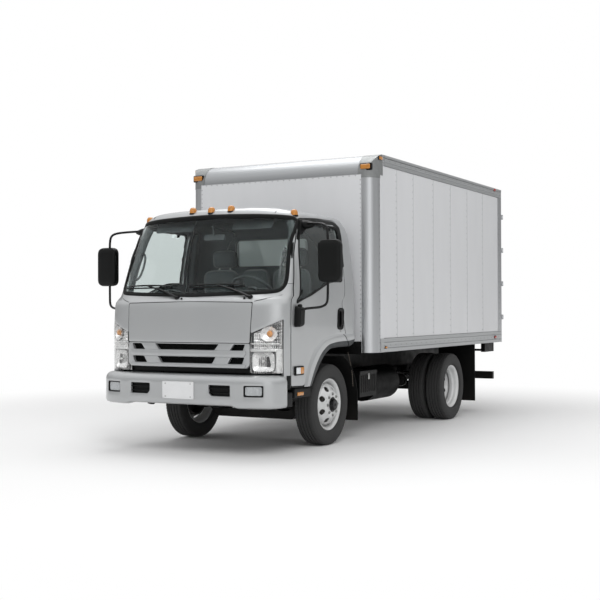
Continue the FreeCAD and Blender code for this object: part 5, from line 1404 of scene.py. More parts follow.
        half, wide = (reach - CAB.rear_round + 0.006 for reach in (0.966, 1.064))
        outline = rounded([(-wide, 1.13), (wide, 1.13), (wide, 1.6, 0.2), (half, 2.25, 0.1), (half, 2.333),
            (-half, 2.333), (-half, 2.25, 0.1), (-wide, 1.6, 0.2)], 0.01)
        window = rounded(quad(-0.475, 0.475, 1.94, 2.25), 0.06)
        Skin(place, spacing=0.06, flange=0.02).cut(outline, [window[::-1]]).make("cab_back_panel", CAB_PAINT, "cab")
        inner = Skin(proud(place, -self.wall), spacing=0.08, roll=0.0)
        inner.cut(grown(outline, -0.03), [window[::-1]], bare=everywhere).flipped().make("cab_back_lining", CAB_TRIM,
            "cab")
        # The rear window is an opaque pale pane: painted light for the brightness seen through it.
        Skin(place, spacing=0.08, roll=0.0).cut(grown(window, -0.008), thick=0.005).moved(by=(0, -0.006, 0)).make(
            "rear_window_glass", PAINTED_BRIGHT_GLASS, "cab", ["cab_glass"])
        rubber_ring(place, window, 0.03, 0.008).make("rear_window_rubber", SEAL_RUBBER_AND_GAP_SHADE, "cab")

    def door(self, side: Side) -> None:
        """One door: outer skin, window rubber and glass.

        Args:
            side: which side of the cab.
        """
        outline, window = grown(self.door_outline(), -self.gap), rounded(sides(self.window), 0.03)
        body = f"cab_door_{side.word}"
        panel = Skin(CAB.place, spacing=0.032, flange=0.04).cut(outline, [window[::-1]])
        inner = Skin(proud(CAB.place, -self.wall), spacing=0.05, roll=0.003, flange=0.004)
        lining = inner.cut(grown(outline, -0.004), [grown(window, 0.004)[::-1]]).flipped()
        glass = Skin(CAB.place, spacing=0.05, roll=0.0).cut(grown(window, -0.016), thick=0.004)
        glass.moved(by=(-0.009, 0, 0))
        rubber = rubber_ring(CAB.place, window, 0.02, 0.006)
        band = rounded(sides([(0.056, 1.9), (0.112, 1.9), (0.112, 2.386, 0.09), (-0.3, 2.389), (-0.75, 2.368, 0.03),
            (-0.85, 2.15), (-0.82, 2.14), (-0.71, 2.318, 0.05), (0.058, 2.305, 0.07)]), 0.01)
        Skin(proud(CAB.place, 0.003), spacing=0.05, roll=0.002, flange=0.006).cut(band, into=rubber)
        for name, piece, finish, nodes in (("door_skin", panel, CAB_PAINT, [body]),
                ("door_window", glass, WINDOW_GLASS, [f"door_glass_{side.word}"]),
                ("door_lining", lining, CAB_TRIM, []), ("door_rubber", rubber, SEAL_RUBBER_AND_GAP_SHADE, [])):
            piece.make_on(side, name, finish, body, nodes, angle=38)

    def lid_outline(self) -> Array:
        """The front lid's outline."""
        return even(fronts([(0.0, self.lid_low), (0.729, self.lid_low, 0.008), (self.lid_half, self.lid_high, 0.01),
            (0.0, self.lid_high + 0.013)]))

    def lid(self) -> None:
        """The front lid between cowl and grille."""
        panel = Skin(CAB.place, spacing=0.034, flange=0.03).cut(self.lid_outline())
        panel.make("front_lid_skin", CAB_PAINT, "front_lid", ["front_lid"])

    def screen_parts(self) -> None:
        """Windscreen glass and its wide black rubber."""
        opening = even(fronts(self.screen))
        pane = Skin(CAB.place, spacing=0.05, roll=0.0).cut(grown(opening, -0.03), thick=0.006)
        pane.moved(by=(0, 0.004, -0.002)).make("windscreen_glass", WINDOW_GLASS, "cab")
        rubber_ring(CAB.place, opening, self.rubber, 0.009).make("windscreen_rubber", SEAL_RUBBER_AND_GAP_SHADE, "cab")


def everywhere(loop: Array) -> Array:
    """True for every point of an outline: none of it gets an edge."""
    return np.ones(len(loop), bool)


def gap_ring(outline: Array, width: float) -> Piece:
    """A dark strip that lies in the gap round a panel, a little below the skin: painted shade of the gap.

    Args:
        outline: the panel's outline.
        width: the gap's width.

    Returns:
        The strip.
    """
    loop = resample(outline, 0.02)
    below = proud(CAB.place, -0.0016)
    rings = [below(*grown(loop, reach).T) for reach in (-width / 2, width / 2)]
    return Piece().hoops(rings, flip=True)


def rubber_ring(surface: Surface, outline: Array, width: float, proud: float) -> Piece:
    """A rubber moulding that runs inside an opening's outline.

    Its section is an arc: at a share t of the width inwards, it stands proud by 4 t (1 - t) of the height, with a
    foot turned in at both sides.

    Args:
        surface: the panel's surface.
        outline: the opening, anticlockwise.
        width: width of the moulding on the panel.
        proud: height of its crown.

    Returns:
        The moulding.
    """
    loop = resample(outline, 0.02)
    skin = Skin(surface)
    rings = []
    for share, high in ((-0.12, -0.01), (-0.12, 0.0015), (0.0, proud * 0.55), (0.15, proud * 0.9), (0.4, proud),
            (0.7, proud * 0.75), (0.92, proud * 0.35), (1.0, -0.002), (1.0, -0.02)):
        ring = grown(loop, -width * share)
        rings.append(skin.at(ring, high))
    return Piece().hoops(rings)


# ------------------------------------------------------------------ grille
@dataclass
class Grille:
    """Silver grille frame with slots over a black mesh, with black sheets behind the mesh and in the intake under it
    as painted shade.
    """

    half: float = 0.73
    low: float = 0.88
    high: float = 1.116
    rows: Corners = ((1.115, 1.047, 0.391, 0.338, 0.556, 0.509, 0.687, 0.663),
        (0.984, 0.914, 0.355, 0.31, 0.525, 0.482, 0.68, 0.654))
    bars: Sequence[tuple[float, float, float]] = ((0.992, 1.04, 0.014), (0.884, 0.908, 0.01))
    pitch: float = 0.0135
    mesh_behind: float = 0.032
    shade_sheet_behind: float = 0.05

    def build(self) -> None:
        """Make the frame, its raised bars, the mesh and the intake."""
        holes = []
        for high, low, mid_high, mid_low, in_high, in_low, out_high, out_low in self.rows:
            high = min(high, self.high - 0.004)
            slots = [[(-mid_low, low), (mid_low, low), (mid_high, high), (-mid_high, high)]]
            outer = [(in_low, low), (out_low, low), (out_high, high), (in_high, high)]
            slots += [outer, [(-x, z) for x, z in outer[::-1]]]
            holes += [rounded(fronts(slot), 0.01) for slot in slots]
        outline = rounded(fronts([(-self.half + 0.03, self.low), (self.half - 0.03, self.low),
            (self.half, self.low + 0.03), (self.half, self.high), (-self.half, self.high),
            (-self.half, self.low + 0.03)]), 0.01)
        frame_piece = Skin(CAB.place, spacing=0.03, flange=0.035).cut(outline, [hole[::-1] for hole in holes])
        for low, high, out in self.bars:
            skin = Skin(proud(CAB.place, out), spacing=0.035, roll=0.008, flange=out)
            half = self.half - 0.035
            skin.cut(rounded(fronts([(-half + 0.02, low), (half - 0.02, low), (half, high), (-half, high)]), 0.012),
                into=frame_piece)
        frame_piece.make("grille_frame", CAB_PAINT, "cab", ["grille"])
        self.mesh().make("grille_mesh_and_shade_sheets", BLACK_PLASTIC, "cab")

    def mesh(self) -> Piece:
        """A lattice of thin bars behind the slots, a solid black sheet behind it, and another set back in the intake
        below: the sheets are painted shade of the dark space behind.

        Returns:
            The piece.
        """
        piece = Piece()
        girth = CAB.front(self.half - 0.03, 1.0)[0]
        across = np.linspace(-girth, girth, 60)
        section = np.array([(-0.0022, 0.0), (0.0, 0.004), (0.0022, 0.0), (0.0, -0.004)])
        for z in np.arange(self.low + 0.01, self.high, self.pitch):
            rings = [proud(CAB.place, out - self.mesh_behind)(across, z + up) for up, out in section]
            piece.bars(rings, flip=True)
        low, high = np.array([self.low + 0.005]), np.array([self.high])
        for u in np.arange(-girth, girth, self.pitch * 1.6):
            rings = [np.concatenate([proud(CAB.place, out - self.mesh_behind)(np.array([u + side]), z)
                for z in (low, high)]) for side, out in section]
            piece.bars(rings)
        # Black sheets behind the mesh and in the intake: painted shade.
        piece.grid(proud(CAB.place, -self.shade_sheet_behind)(across[:, None], np.linspace(self.low - 0.05, self.high,
            5)[None]))
        piece.grid(proud(CAB.place, -self.mesh_behind)(across[:, None], np.linspace(0.822, self.low - 0.008, 3)[None])
            + np.array([0, 0.05, 0]))
        return piece


# ------------------------------------------------------------------ headlamps
@dataclass
class Headlamp:
    """A clear two-chamber lamp: an indicator in a fluted reflector above, a squarish main lamp below."""

    side: Side
    inner: float = 0.737
    outer: float = 1.032
    low: float = 0.83
    split: float = 1.055
    top_in: float = 1.217
    top_out: float = 1.355
    deep: float = 0.045
    flutes: int = 16
    flute_deep: float = 0.008
    rungs: int = 9
    rung_deep: float = 0.006

    def build(self) -> None:
        """Make the lens, the housing, the reflectors and the bulbs."""
        corners = [(self.inner, self.low, 0.012), (self.outer - 0.006, self.low, 0.012),
            (self.outer, self.top_out, 0.015), (self.inner, self.top_in, 0.015)]
        outline = rounded(fronts(corners), 0.012)
        lens = Skin(CAB.place, spacing=0.03, roll=0.0).cut(outline, thick=0.004)
        rim = resample(grown(outline, -0.003), 0.014)
        shell = Piece().grid(np.array([CAB_SKIN.at(rim, -depth) for depth in (0.002, 0.03, self.deep)]), wrap_v=True)
        self.facets(shell)
        self.bowl(shell)
        trim, bulb, shield = Piece(), Piece(), Piece()
        self.divider(trim)
        bulb.lathe([(0, 0.0), (0.004, 0.02), (0.01, 0.028), (0.02, 0.031), (0.03, 0.028), (0.036, 0.018),
            (0.042, 0.0)], on_front(0.925, 1.215, -0.022) + (0, 0.025, 0), 20, "y", -1)
        shield.lathe([(0, 0.0), (0, 0.012), (0.03, 0.014), (0.034, 0.011), (0.036, 0.0)],
            on_front(0.868, 0.942, -0.026) + (0, 0.012, 0), 20, "y", -1)
        for name, piece, finish, nodes in (("headlamp_lens", lens, LAMP_GLASS, [f"headlamp_{self.side.word}"]),
                ("headlamp_shell", shell, REFLECTOR, []), ("headlamp_trim", trim, LAMP_GREY, []),
                ("headlamp_indicator_bulb", bulb, AMBER_LENS, []), ("headlamp_bulb_shield", shield, LAMP_GREY, [])):
            piece.make_on(self.side, name, finish, "cab", nodes, angle=25)

    def facets(self, piece: Piece) -> None:
        """Back wall of the housing in upright flutes, rows of shallow arcs, crossed by rungs in the upper chamber.

        Args:
            piece: what the faces are laid in.
        """
        columns = self.flutes * 8 + 1
        share = np.linspace(0, 1, columns)
        girths = np.linspace(CAB.front(self.inner, 1.0)[0], CAB.front(self.outer, 1.0)[0], columns)
        flute = self.flute_deep * np.abs(np.sin(np.pi * self.flutes * share))
        top = self.top_in + (self.top_out - self.top_in) * share
        for low, high, steps in ((self.low, self.split, 3), (self.split, self.top_out, 40)):
            levels = np.linspace(low, high, steps)
            grid_z = np.minimum(levels[None], top[:, None])
            rung = self.rung_deep * np.abs(np.sin(np.pi * self.rungs * np.linspace(0, 1, steps))) * (steps > 3)
            wave = flute[:, None] + rung[None]
            flat = np.stack(np.broadcast_arrays(girths[:, None], grid_z), axis=-1).reshape(-1, 2)
            out = np.broadcast_to(wave, grid_z.shape).reshape(-1, 1) - self.deep
            piece.grid(CAB_SKIN.at(flat, out).reshape(columns, steps, 3))

    def bowl(self, piece: Piece) -> None:
        """Reflectors: rounded rectangles below and ovals above, that shrink into the housing along a parabola.

        Args:
            piece: what the faces are laid in.
        """
        spin = np.linspace(0, 2 * np.pi, 96)[:, None]
        angle = np.linspace(0, 2 * np.pi, 64, endpoint=False)
        main, upper = [], []
        for share in np.linspace(1, 0.12, 14):
            flat = spaced(rectangle(0.226 * share, 0.186 * share, 0.05 * share), 96) + CAB.front(0.868, 0.942)
            depth = 0.008 + 0.04 * (1 - share ** 2) + 0.003 * np.abs(np.sin(7 * spin + 9 * share)) * share
            main.append(CAB_SKIN.at(flat, -depth))
        for share in np.linspace(1, 0.15, 10):
            oval = np.stack([0.085 * share * np.cos(angle), 0.072 * share * np.sin(angle)], axis=1)
            upper.append(CAB_SKIN.at(oval + CAB.front(0.918, 1.212), -0.008 - 0.03 * (1 - share ** 2)))
        for loops in (main, upper):
            piece.hoops(loops, flip=True).cap(loops[-1])

    def divider(self, piece: Piece) -> None:
        """Grey bar between the chambers, a band under the indicator, and the plain strip at the outer edge.

        Args:
            piece: what the faces are laid in.
        """
        raised = proud(CAB.place, -0.008)
        for low, high, x0, x1 in ((self.split - 0.012, self.split + 0.008, self.inner, self.outer),
                (self.split + 0.058, self.split + 0.066, self.inner + 0.01, self.outer - 0.02),
                (self.low + 0.006, self.split - 0.014, 0.985, self.outer)):
            strip = rounded(fronts(quad(x0, x1, low, high)), 0.004)
            Skin(raised, spacing=0.03, roll=0.003, flange=0.03).cut(strip, into=piece)


# ------------------------------------------------------------------ bumper
@dataclass
class Bumper:
    """Painted steel bumper: a swept channel with round ends, two vents, two fog lamps and a blank plate.

    In plan its sag behind the middle is 0.035 f^2 + 0.25 (1 - sqrt(1 - f^8)), f being x over the half width. Up
    its height it follows a profile of depth and height, and its ends hang a little lower.
    """

    half: float = 1.068
    nose: float = -1.484
    bow: float = 0.035
    end_sag: float = 0.25
    end_drop: float = 0.02
    profile: Pairs = ((0.13, 0.518), (0.05, 0.512), (0.014, 0.52), (0.0, 0.54), (0.0, 0.745), (0.004, 0.765),
        (0.032, 0.8), (0.075, 0.812), (0.15, 0.813))
    vent: Pairs = ((0.38, 0.604), (0.604, 0.604), (0.604, 0.724), (0.346, 0.724), (0.346, 0.64))
    fog: tuple[float, float, float, float] = (0.745, 0.935, 0.625, 0.718)

    def __post_init__(self) -> None:
        """Work out the plan's girth table and the profile's."""
        share = np.concatenate([np.linspace(0, 0.72, 120), np.sin(np.linspace(0.3, np.pi / 2, 400)) ** 0.25])
        share = np.unique(share)
        sag = self.bow * share ** 2 + self.end_sag * (1 - np.sqrt(np.clip(1 - share ** 8, 0, 1)))
        step = np.hypot(np.diff(share) * self.half, np.diff(sag))
        self.table = (np.concatenate([[0], np.cumsum(step)]), share, sag)
        self.rise = arc_length(self.profile)

    def place(self, girth: Array, up: Array) -> Array:
        """Place at a girth round the plan and a length up the profile.

        Args:
            girth: distance round the plan.
            up: length along the profile.

        Returns:
            The places.
        """
        girth, up = np.broadcast_arrays(np.asarray(girth, float), np.asarray(up, float))
        table, share, sag = self.table
        a = np.abs(girth)
        slope = np.interp(a, table, np.gradient(sag, table))
        x, y = self.half * np.interp(a, table, share), self.nose + np.interp(a, table, sag)
        y = y + np.maximum(a - table[-1], 0)
        length, deep, high = self.rise
        inward = pchip(list(zip(length, deep)), up)
        z = pchip(list(zip(length, high)), up)
        ends = np.clip((x - 0.6) / 0.07, 0, 1)
        z = z - self.end_drop * ends * ends * (3 - 2 * ends) * np.clip((0.7 - z) / 0.16, 0, 1)
        face = np.sqrt(np.clip(1 - slope ** 2, 0, 1))
        return np.stack([np.sign(girth) * (x - inward * slope), y + inward * face + AXLE, z], axis=-1)

    def spot(self, x: float, z: float) -> tuple[float, float]:
        """Girth and profile length of the point of the face with this x and z.

        Args:
            x: distance from the middle plane.
            z: height over the ground.

        Returns:
            Girth and profile length.
        """
        table, share, _ = self.table
        length, _, high = self.rise
        face = slice(2, 6)
        return (math.copysign(float(np.interp(abs(x) / self.half, share, table)), x),
            float(np.interp(z, np.array(high)[face], np.array(length)[face])))

    def outline(self, corners: Pairs, sign: int, radius: float) -> Array:
        """Rounded outline through (x, z) corners on one side, anticlockwise."""
        points = [self.spot(sign * x, z) for x, z in corners]
        return rounded(points[::sign], radius)

    def build(self) -> None:
        """Make the bumper and what it holds."""
        end, top = self.table[0][-1] + 0.018, self.rise[0][-1]
        border = rounded(quad(-end, end, 0.001, top), 0.002)
        x0, x1, low, high = self.fog
        fog = quad(x0 - 0.008, x1 + 0.008, low - 0.008, high + 0.008)
        holes = [self.outline(corners, sign, 0.016)[::-1] for corners in (self.vent, fog) for sign in (1, -1)]
        Skin(self.place, spacing=0.028, roll=0.009, flange=0.022).cut(border, holes).make("bumper_skin", CAB_PAINT,
            "chassis", ["front_bumper"])
        vents, lamps, bezels = Piece(), Piece(), Piece()
        for sign in (1, -1):
            self.vent_inside(vents, sign)
            self.fog_lamp(lamps, bezels, sign)
        vents.make("bumper_vents", BLACK_PLASTIC, "chassis")
        lamps.make("fog_lamp_lenses", FOG_LENS, "chassis", ["fog_lamps"])
        bezels.make("fog_lamp_bezels", BLACK_PLASTIC, "chassis")
        self.plate()

    def vent_inside(self, piece: Piece, sign: int) -> None:
        """A black back wall in a vent, painted shade of the opening's depth, and the two bars across it.

        Args:
            piece: what the faces are laid in.
            sign: which side of the middle plane, as 1 or -1.
        """
        behind = proud(self.place, -0.04)
        (u0, v0), (u1, v1) = self.spot(0.33 * sign, 0.585), self.spot(0.62 * sign, 0.738)
        us, vs = np.linspace(min(u0, u1), max(u0, u1), 8), np.linspace(v0, v1, 4)
        piece.grid(behind(us[:, None], vs[None]))
        for z in (0.642, 0.684):
            level = self.spot(0.5, z)[1]
            rings = [proud(self.place, -0.008 + out)(us, level + up) for up, out in ((-0.006, -0.014), (-0.004, 0.0),
                (0.004, 0.0), (0.006, -0.014))]
            piece.bars(rings, flip=True)

    def fog_lamp(self, lamps: Piece, bezels: Piece, sign: int) -> None:
        """A fluted lens in a chamfered bezel: the flutes are a row of arcs across the lens.

        Args:
            lamps: what the lens is laid in.
            bezels: what its bezel is laid in.
            sign: which side of the middle plane, as 1 or -1.
        """
        x0, x1, low, high = self.fog
        frames = [self.outline(quad(x0 + dx, x1 - dx, low + dz, high - dz), sign, 0.016) for dx,
            dz in ((0.012, 0.01), (0.0, 0.0))]
        count = min(len(resample(loop, 0.01)) for loop in frames)
        inner, outer = (spaced(loop, count, 0.01) for loop in frames)
        skin = Skin(self.place)
        rings = [self.place(*grown(outer, 0.006).T) - skin.normals(outer) * 0.006, skin.at(outer, -0.002),
            skin.at(inner, -0.014), skin.at(inner, -0.03)]
        bezels.hoops(rings)
        (u0, v0), (u1, v1) = self.spot(sign * x0, low), self.spot(sign * x1, high)
        us, vs = np.linspace(min(u0, u1) + 0.006, max(u0, u1) - 0.006, 97), np.linspace(v0 + 0.006, v1 - 0.006, 7)
        flat = np.stack(np.meshgrid(us, vs, indexing="ij"), axis=-1).reshape(-1, 2)
        wave = 0.004 * np.abs(np.sin(np.pi * 12 * (flat[:, :1] - us[0]) / (us[-1] - us[0])))
        lamps.grid(skin.at(flat, wave - 0.02).reshape(97, 7, 3))

    def plate(self) -> None:
        """Blank plate with rounded corners, a raised rim and four fixing screws."""
        half_wide, low, high = 0.188, 0.57, 0.742
        y = self.nose + AXLE - 0.004
        plate = Piece().block((-half_wide, y - 0.004, low), (half_wide, y + 0.004, high), 0.0015, axis="y",
            corner=0.012)
        rim = resample(rectangle(2 * half_wide - 0.008, high - low - 0.008, 0.01), 0.008)
        path = xyz(rim[:, 0], y - 0.0045, rim[:, 1] + (low + high) / 2)
        plate.tube(np.vstack([path, path[:2]]), 0.0022, 6, up=(0, 1, 0))
        plate.make("blank_plate", PLATE_BLANK, "chassis")
        screws = Piece()
        for x, z in ((x, z) for x in (-0.15, 0.15) for z in (low + 0.022, high - 0.022)):
            screws.lathe([(0, 0), (0, 0.0065), (0.002, 0.0065), (0.004, 0.004), (0.0042, 0)], (x, y - 0.004, z), 12,
                "y", -1)
        screws.make("plate_screws", BRIGHT_STEEL, "chassis")


# ------------------------------------------------------------------ things on the cab
@dataclass
class CabTrim:
    """Flares, handles, markers, mirrors, wipers, steps and roof lamps."""

    mirror_at: tuple[float, float, float] = (1.3775, -0.866, 1.9235)
    mirror_size: tuple[float, float] = (0.243, 0.423)
    handle_at: tuple[float, float] = (-0.02, 1.348)
    lamps_at: Pairs = ((0.0, -0.878), (0.237, -0.868), (-0.237, -0.868), (0.9, -0.728), (-0.9, -0.728))

    def build(self) -> None:
        """Make all of them."""
        for side in Side:
            self.flare(side)
            self.handle(side)
            self.marker(side)
            self.mirror(side)
            self.step(side)
        self.wipers()
        self.roof_lamps()

    def flare(self, side: Side) -> None:
        """Wheel-arch flare: a raised painted band with a dark lip inside it, split at the door's rear edge.

        Args:
            side: which side of the cab.
        """
        skin_form = CabSkin()
        outer, inner = np.array(skin_form.arch_out), np.array(skin_form.arch_in)
        share, steps = np.linspace(0, 1, 70), np.linspace(0, 1, 14)[1:, None]
        out, into = (np.array([CAB.side(*spot) for spot in self.smooth(edge, share)]) for edge in (outer, inner))
        out = np.vstack([out, out[-1] + (np.array(CAB.side(0.36, 1.172)) - out[-1]) * steps])
        into = np.vstack([into, into[-1] + (np.array(CAB.side(0.36, 1.106)) - into[-1]) * steps])
        split = CAB.side(0.116, 1.17)[0]
        sections = (("flare", CAB_PAINT, ((-0.17, -0.004), (-0.15, 0.0015), (-0.03, 0.006), (0.04, 0.013),
            (0.14, 0.014), (0.5, 0.012), (0.62, 0.011), (0.66, 0.004))), ("flare_lip", FLARE_LIP,
            ((0.64, 0.0), (0.64, 0.009), (0.68, 0.009), (0.95, 0.003), (1.15, -0.006), (1.3, -0.03), (1.34, -0.09))))
        for name, finish, section in sections:
            rings = np.array([CAB_SKIN.at(out + (into - out) * way, high) for way, high in section])
            middle_girth = ((out + into) / 2)[:, 0]
            for part, keep, body in (("door", middle_girth <= split - 0.004, f"cab_door_{side.word}"),
                    ("cab", middle_girth >= split + 0.004, "cab")):
                Piece().grid(rings[:, keep]).make_on(side, f"{name}_{part}", finish, body, angle=40)

    @staticmethod
    def smooth(points: Array, share: Array) -> Array:
        """Smooth curve through points, by their length along the line."""
        length = np.concatenate([[0], np.cumsum(np.linalg.norm(np.diff(points, axis=0), axis=1))])
        return np.stack([pchip(list(zip(length, points[:, k])), share * length[-1]) for k in (0, 1)], axis=1)

    def handle(self, side: Side) -> None:
        """Recessed black pull: a dished cup with an upright grip over it.

        Args:
            side: which side of the cab.
        """
        middle_y, middle_z = self.handle_at
        loops = []
        for share, high in ((1.08, -0.002), (1.08, 0.005), (1.0, 0.008), (0.9, 0.006), (0.84, 0.0022), (0.5, 0.0015)):
            ring = spaced(rectangle(0.135 * share, 0.215 * share, 0.05 * share), 72)
            loops.append(CAB_SKIN.at(ring + CAB.side(middle_y, middle_z), high))
        cup = Piece().hoops(loops).cap(loops[-1])
        levels = np.linspace(-0.078, 0.078, 15)
        path = np.array([on_side(middle_y + 0.004, middle_z + z, 0.012 - 0.012 * (abs(z) / 0.078) ** 6)
            for z in levels])
        grip = Piece().tube(path, 0.012 + 0.003 * (1 - (levels / 0.078) ** 2), 12, up=(0, 1, 0), flat=0.8)
        lock = Piece().lathe([(0, 0.0), (0, 0.011), (0.003, 0.01), (0.004, 0.0)], on_side(-0.02, 1.215, 0.0), 20, "x")
        for name, piece, finish in (("cup", cup, BLACK_PLASTIC), ("grip", grip, GLOSS_BLACK)):
            piece.make_on(side, f"door_handle_{name}", finish, f"cab_door_{side.word}")
        lock.make_on(side, "door_lock", BRIGHT_STEEL, f"cab_door_{side.word}")

    def marker(self, side: Side) -> None:
        """Side repeater: black bezel, clear front half and amber rear half.

        Args:
            side: which side of the cab.
        """
        low, high = on_side(-1.034, 0.8), on_side(-0.86, 0.892)
        x = max(low[0], high[0])
        bezel = Piece().block((x - 0.01, low[1], 0.8), (x + 0.02, high[1], 0.892), 0.006, axis="x", corner=0.016)
        clear, amber = (Piece().block((x, y0, 0.814), (x + 0.03, y1, 0.878), 0.006, "x", 0.008) for y0,
            y1 in ((low[1] + 0.014, low[1] + 0.088), (low[1] + 0.089, high[1] - 0.014)))
        for name, piece, finish in (("bezel", bezel, BLACK_PLASTIC), ("clear", clear, WHITE_LENS),
                ("amber", amber, AMBER_LENS)):
            piece.make_on(side, f"marker_{name}", finish, f"cab_door_{side.word}")

    def mirror(self, side: Side) -> None:
        """Mirror head on two bent tubes: the upper from the pillar's top, the lower from a pod on the door.

        Args:
            side: which side of the cab.
        """
        centre = np.array(self.mirror_at) + (0, AXLE, 0)
        wide, tall = self.mirror_size
        rings, dome, plates = [], [], []
        for depth, share in ((0.040, 0.86), (0.042, 0.93), (0.036, 0.985), (0.02, 1.0), (-0.01, 1.0), (-0.03, 0.97),
                (-0.041, 0.88), (-0.046, 0.7), (-0.048, 0.4)):
            ring = spaced(rectangle(wide * share, tall * share, 0.07 * share), 96)
            rings.append(xyz(ring[:, 0], depth, ring[:, 1]) + centre)
        head = Piece().stack(np.array(rings), ends=(False, True)).cap(rings[0] + (0, -0.006, 0), flip=True)
        for share in (1.0, 0.7, 0.35, 0.02):
            ring = spaced(rectangle(0.212 * share, 0.385 * share, 0.055 * share), 64, 0.0005 + 0.001 * share)
            dome.append(xyz(ring[:, 0], 0.037 + 0.003 * (1 - share ** 2), ring[:, 1]) + centre)
        glass = Piece().hoops(dome, flip=True)
        top_foot, pod = on_side(-0.69, 2.3, 0.012), on_side(-0.965, 1.375, 0.03)
        upper = [top_foot, top_foot + (0.05, -0.02, 0.012), (1.16, AXLE - 0.78, 2.305), (1.32, AXLE - 0.856, 2.292),
            (1.352, AXLE - 0.866, 2.23), (1.352, AXLE - 0.866, 2.1)]
        lower = [(1.352, AXLE - 0.866, 1.75), (1.352, AXLE - 0.866, 1.56), (1.345, AXLE - 0.87, 1.5),
            (1.29, AXLE - 0.89, 1.468), (1.17, AXLE - 0.945, 1.462), pod + (0.0, 0, 0.07), pod + (-0.01, 0, 0.02)]
        tubes = Piece()
        for route in (upper, lower):
            tubes.tube(bend(route), 0.0125, 14, up=(0.3, 1, 0.1))
        for out in (-0.002, 0.014, 0.02):
            inset = 0.0 if out < 0.018 else 0.006
            spots = ((-0.812 + inset, 2.19 + inset), (-0.77, 2.2 + inset), (-0.64 - inset, 2.27 + inset),
                (-0.6 - inset, 2.36 - inset), (-0.74 + inset, 2.352 - inset))
            plates.append(CAB_SKIN.at(spaced(rounded([CAB.side(*spot) for spot in spots], 0.012), 48), out))
        bracket = Piece().hoops(plates).cap(plates[-1])
        bracket.lathe([(-0.01, 0.0), (-0.01, 0.046), (0.05, 0.042), (0.1, 0.028), (0.13, 0.015), (0.132, 0)],
            top_foot, 20, "x")
        bracket.also(self.pod())
        for name, piece, finish, nodes in (("head", head, BLACK_PLASTIC, [f"mirror_{side.word}"]),
                ("glass", glass, MIRROR_GLASS, []), ("tubes", tubes, GLOSS_BLACK, []),
                ("brackets", bracket, BLACK_PLASTIC, [])):
            piece.make_on(side, f"mirror_{name}", finish, f"cab_door_{side.word}", nodes, 40)

    def pod(self) -> Piece:
        """The lower arm's housing on the door: a tall tapered block with eased edges and a clamp over it.

        Returns:
            The piece.
        """
        rings = []
        for out, wide, tall in ((-0.01, 0.125, 0.205), (0.012, 0.125, 0.205), (0.045, 0.112, 0.185),
                (0.058, 0.098, 0.165), (0.062, 0.08, 0.14)):
            rings.append(CAB_SKIN.at(spaced(rectangle(wide, tall, 0.025), 64) + CAB.side(-0.965, 1.378), out))
        return Piece().hoops(rings).cap(rings[-1]).lathe([(-0.03, 0.0), (-0.03, 0.024), (0.02, 0.024), (0.03, 0.016),
            (0.032, 0)], on_side(-0.965, 1.47, 0.03), 20, "z")

    def step(self, side: Side) -> None:
        """Black step under the door with an amber reflector and a ribbed tread.

        Args:
            side: which side of the cab.
        """
        y0, y1 = AXLE - 1.02, AXLE - 0.68
        piece = Piece()
        section = rounded([(0.86, 0.60), (1.045, 0.572), (1.058, 0.582), (1.062, 0.668), (0.86, 0.672)], 0.014)
        rows = []
        for y, share in ((y0, 0.9), (y0 + 0.01, 1.0), (y1 - 0.01, 1.0), (y1, 0.9)):
            centre = section.mean(axis=0)
            ring = centre + (section - centre) * share
            rows.append(xyz(ring[:, 0], y, ring[:, 1]))
        piece.stack(np.array(rows)[:, ::-1])
        rib = Piece().block((0.9, -0.004, 0.67), (1.05, 0.004, 0.677), 0.002)
        piece.copies(rib, [(0, y, 0) for y in np.arange(y0 + 0.05, y1 - 0.04, 0.025)])
        piece.make_on(side, "cab_step", BLACK_PLASTIC, "cab", ["cab_steps"] if side is Side.LEFT else [])
        # A black block behind the bumper's end, below the step: painted shade of the dark gap there.
        bracket = Piece().block((0.87, AXLE - 1.165, 0.5), (1.053, AXLE - 1.046, 0.638), 0.008)
        bracket.make_on(side, "bumper_end_shade_block", BLACK_PLASTIC, "chassis")
        lens = Piece().block((1.052, AXLE - 0.962, 0.597), (1.0665, AXLE - 0.842, 0.632), 0.004, "x", 0.008)
        lens.make_on(side, "step_reflector", AMBER_LENS, "cab")

    def wipers(self) -> None:
        """Two wipers that lie along the foot of the glass: pivot caps, tapered arms and blades."""
        piece = Piece()
        for pivot, reach in ((-0.161, 0.62), (0.699, 0.66)):
            foot = on_front(pivot, 1.566, 0.004)
            piece.lathe([(-0.01, 0.0), (-0.01, 0.024), (0.012, 0.023), (0.022, 0.016), (0.025, 0.0)], foot, 20, "y",
                -1)
            arm = bend([foot + (0, -0.012, 0.004), on_front(pivot - 0.2, 1.637, 0.022),
                on_front(pivot - 0.43, 1.69, 0.026)])
            piece.tube(arm, np.linspace(0.014, 0.008, len(arm)), 8, up=(0, 1, 0.3))
            run = np.linspace(pivot - 0.43 - reach / 2, pivot - 0.43 + reach / 2, 26)
            spine = np.array([on_front(float(x), 1.683 + 0.012 * (1 - ((x - run.mean()) / (reach / 2)) ** 2), 0.02)
                for x in run])
            piece.tube(spine, 0.009 - 0.004 * np.abs(np.linspace(-1, 1, 26)) ** 3, 8, up=(0, 1, 0.3))
            blade = np.array([on_front(float(x), 1.672, 0.009) for x in run])
            piece.tube(blade, 0.008, 6, up=(0, 1, 0.3), flat=1.2)
        for x in (-0.1, 0.64):
            piece.lathe([(-0.004, 0.0), (-0.004, 0.012), (0.006, 0.01), (0.01, 0.004), (0.0105, 0.0)],
                on_front(x, 1.557, 0.004), 14, "y", -1)
        piece.make("wiper_pair", GLOSS_BLACK, "cab", ["wipers"])

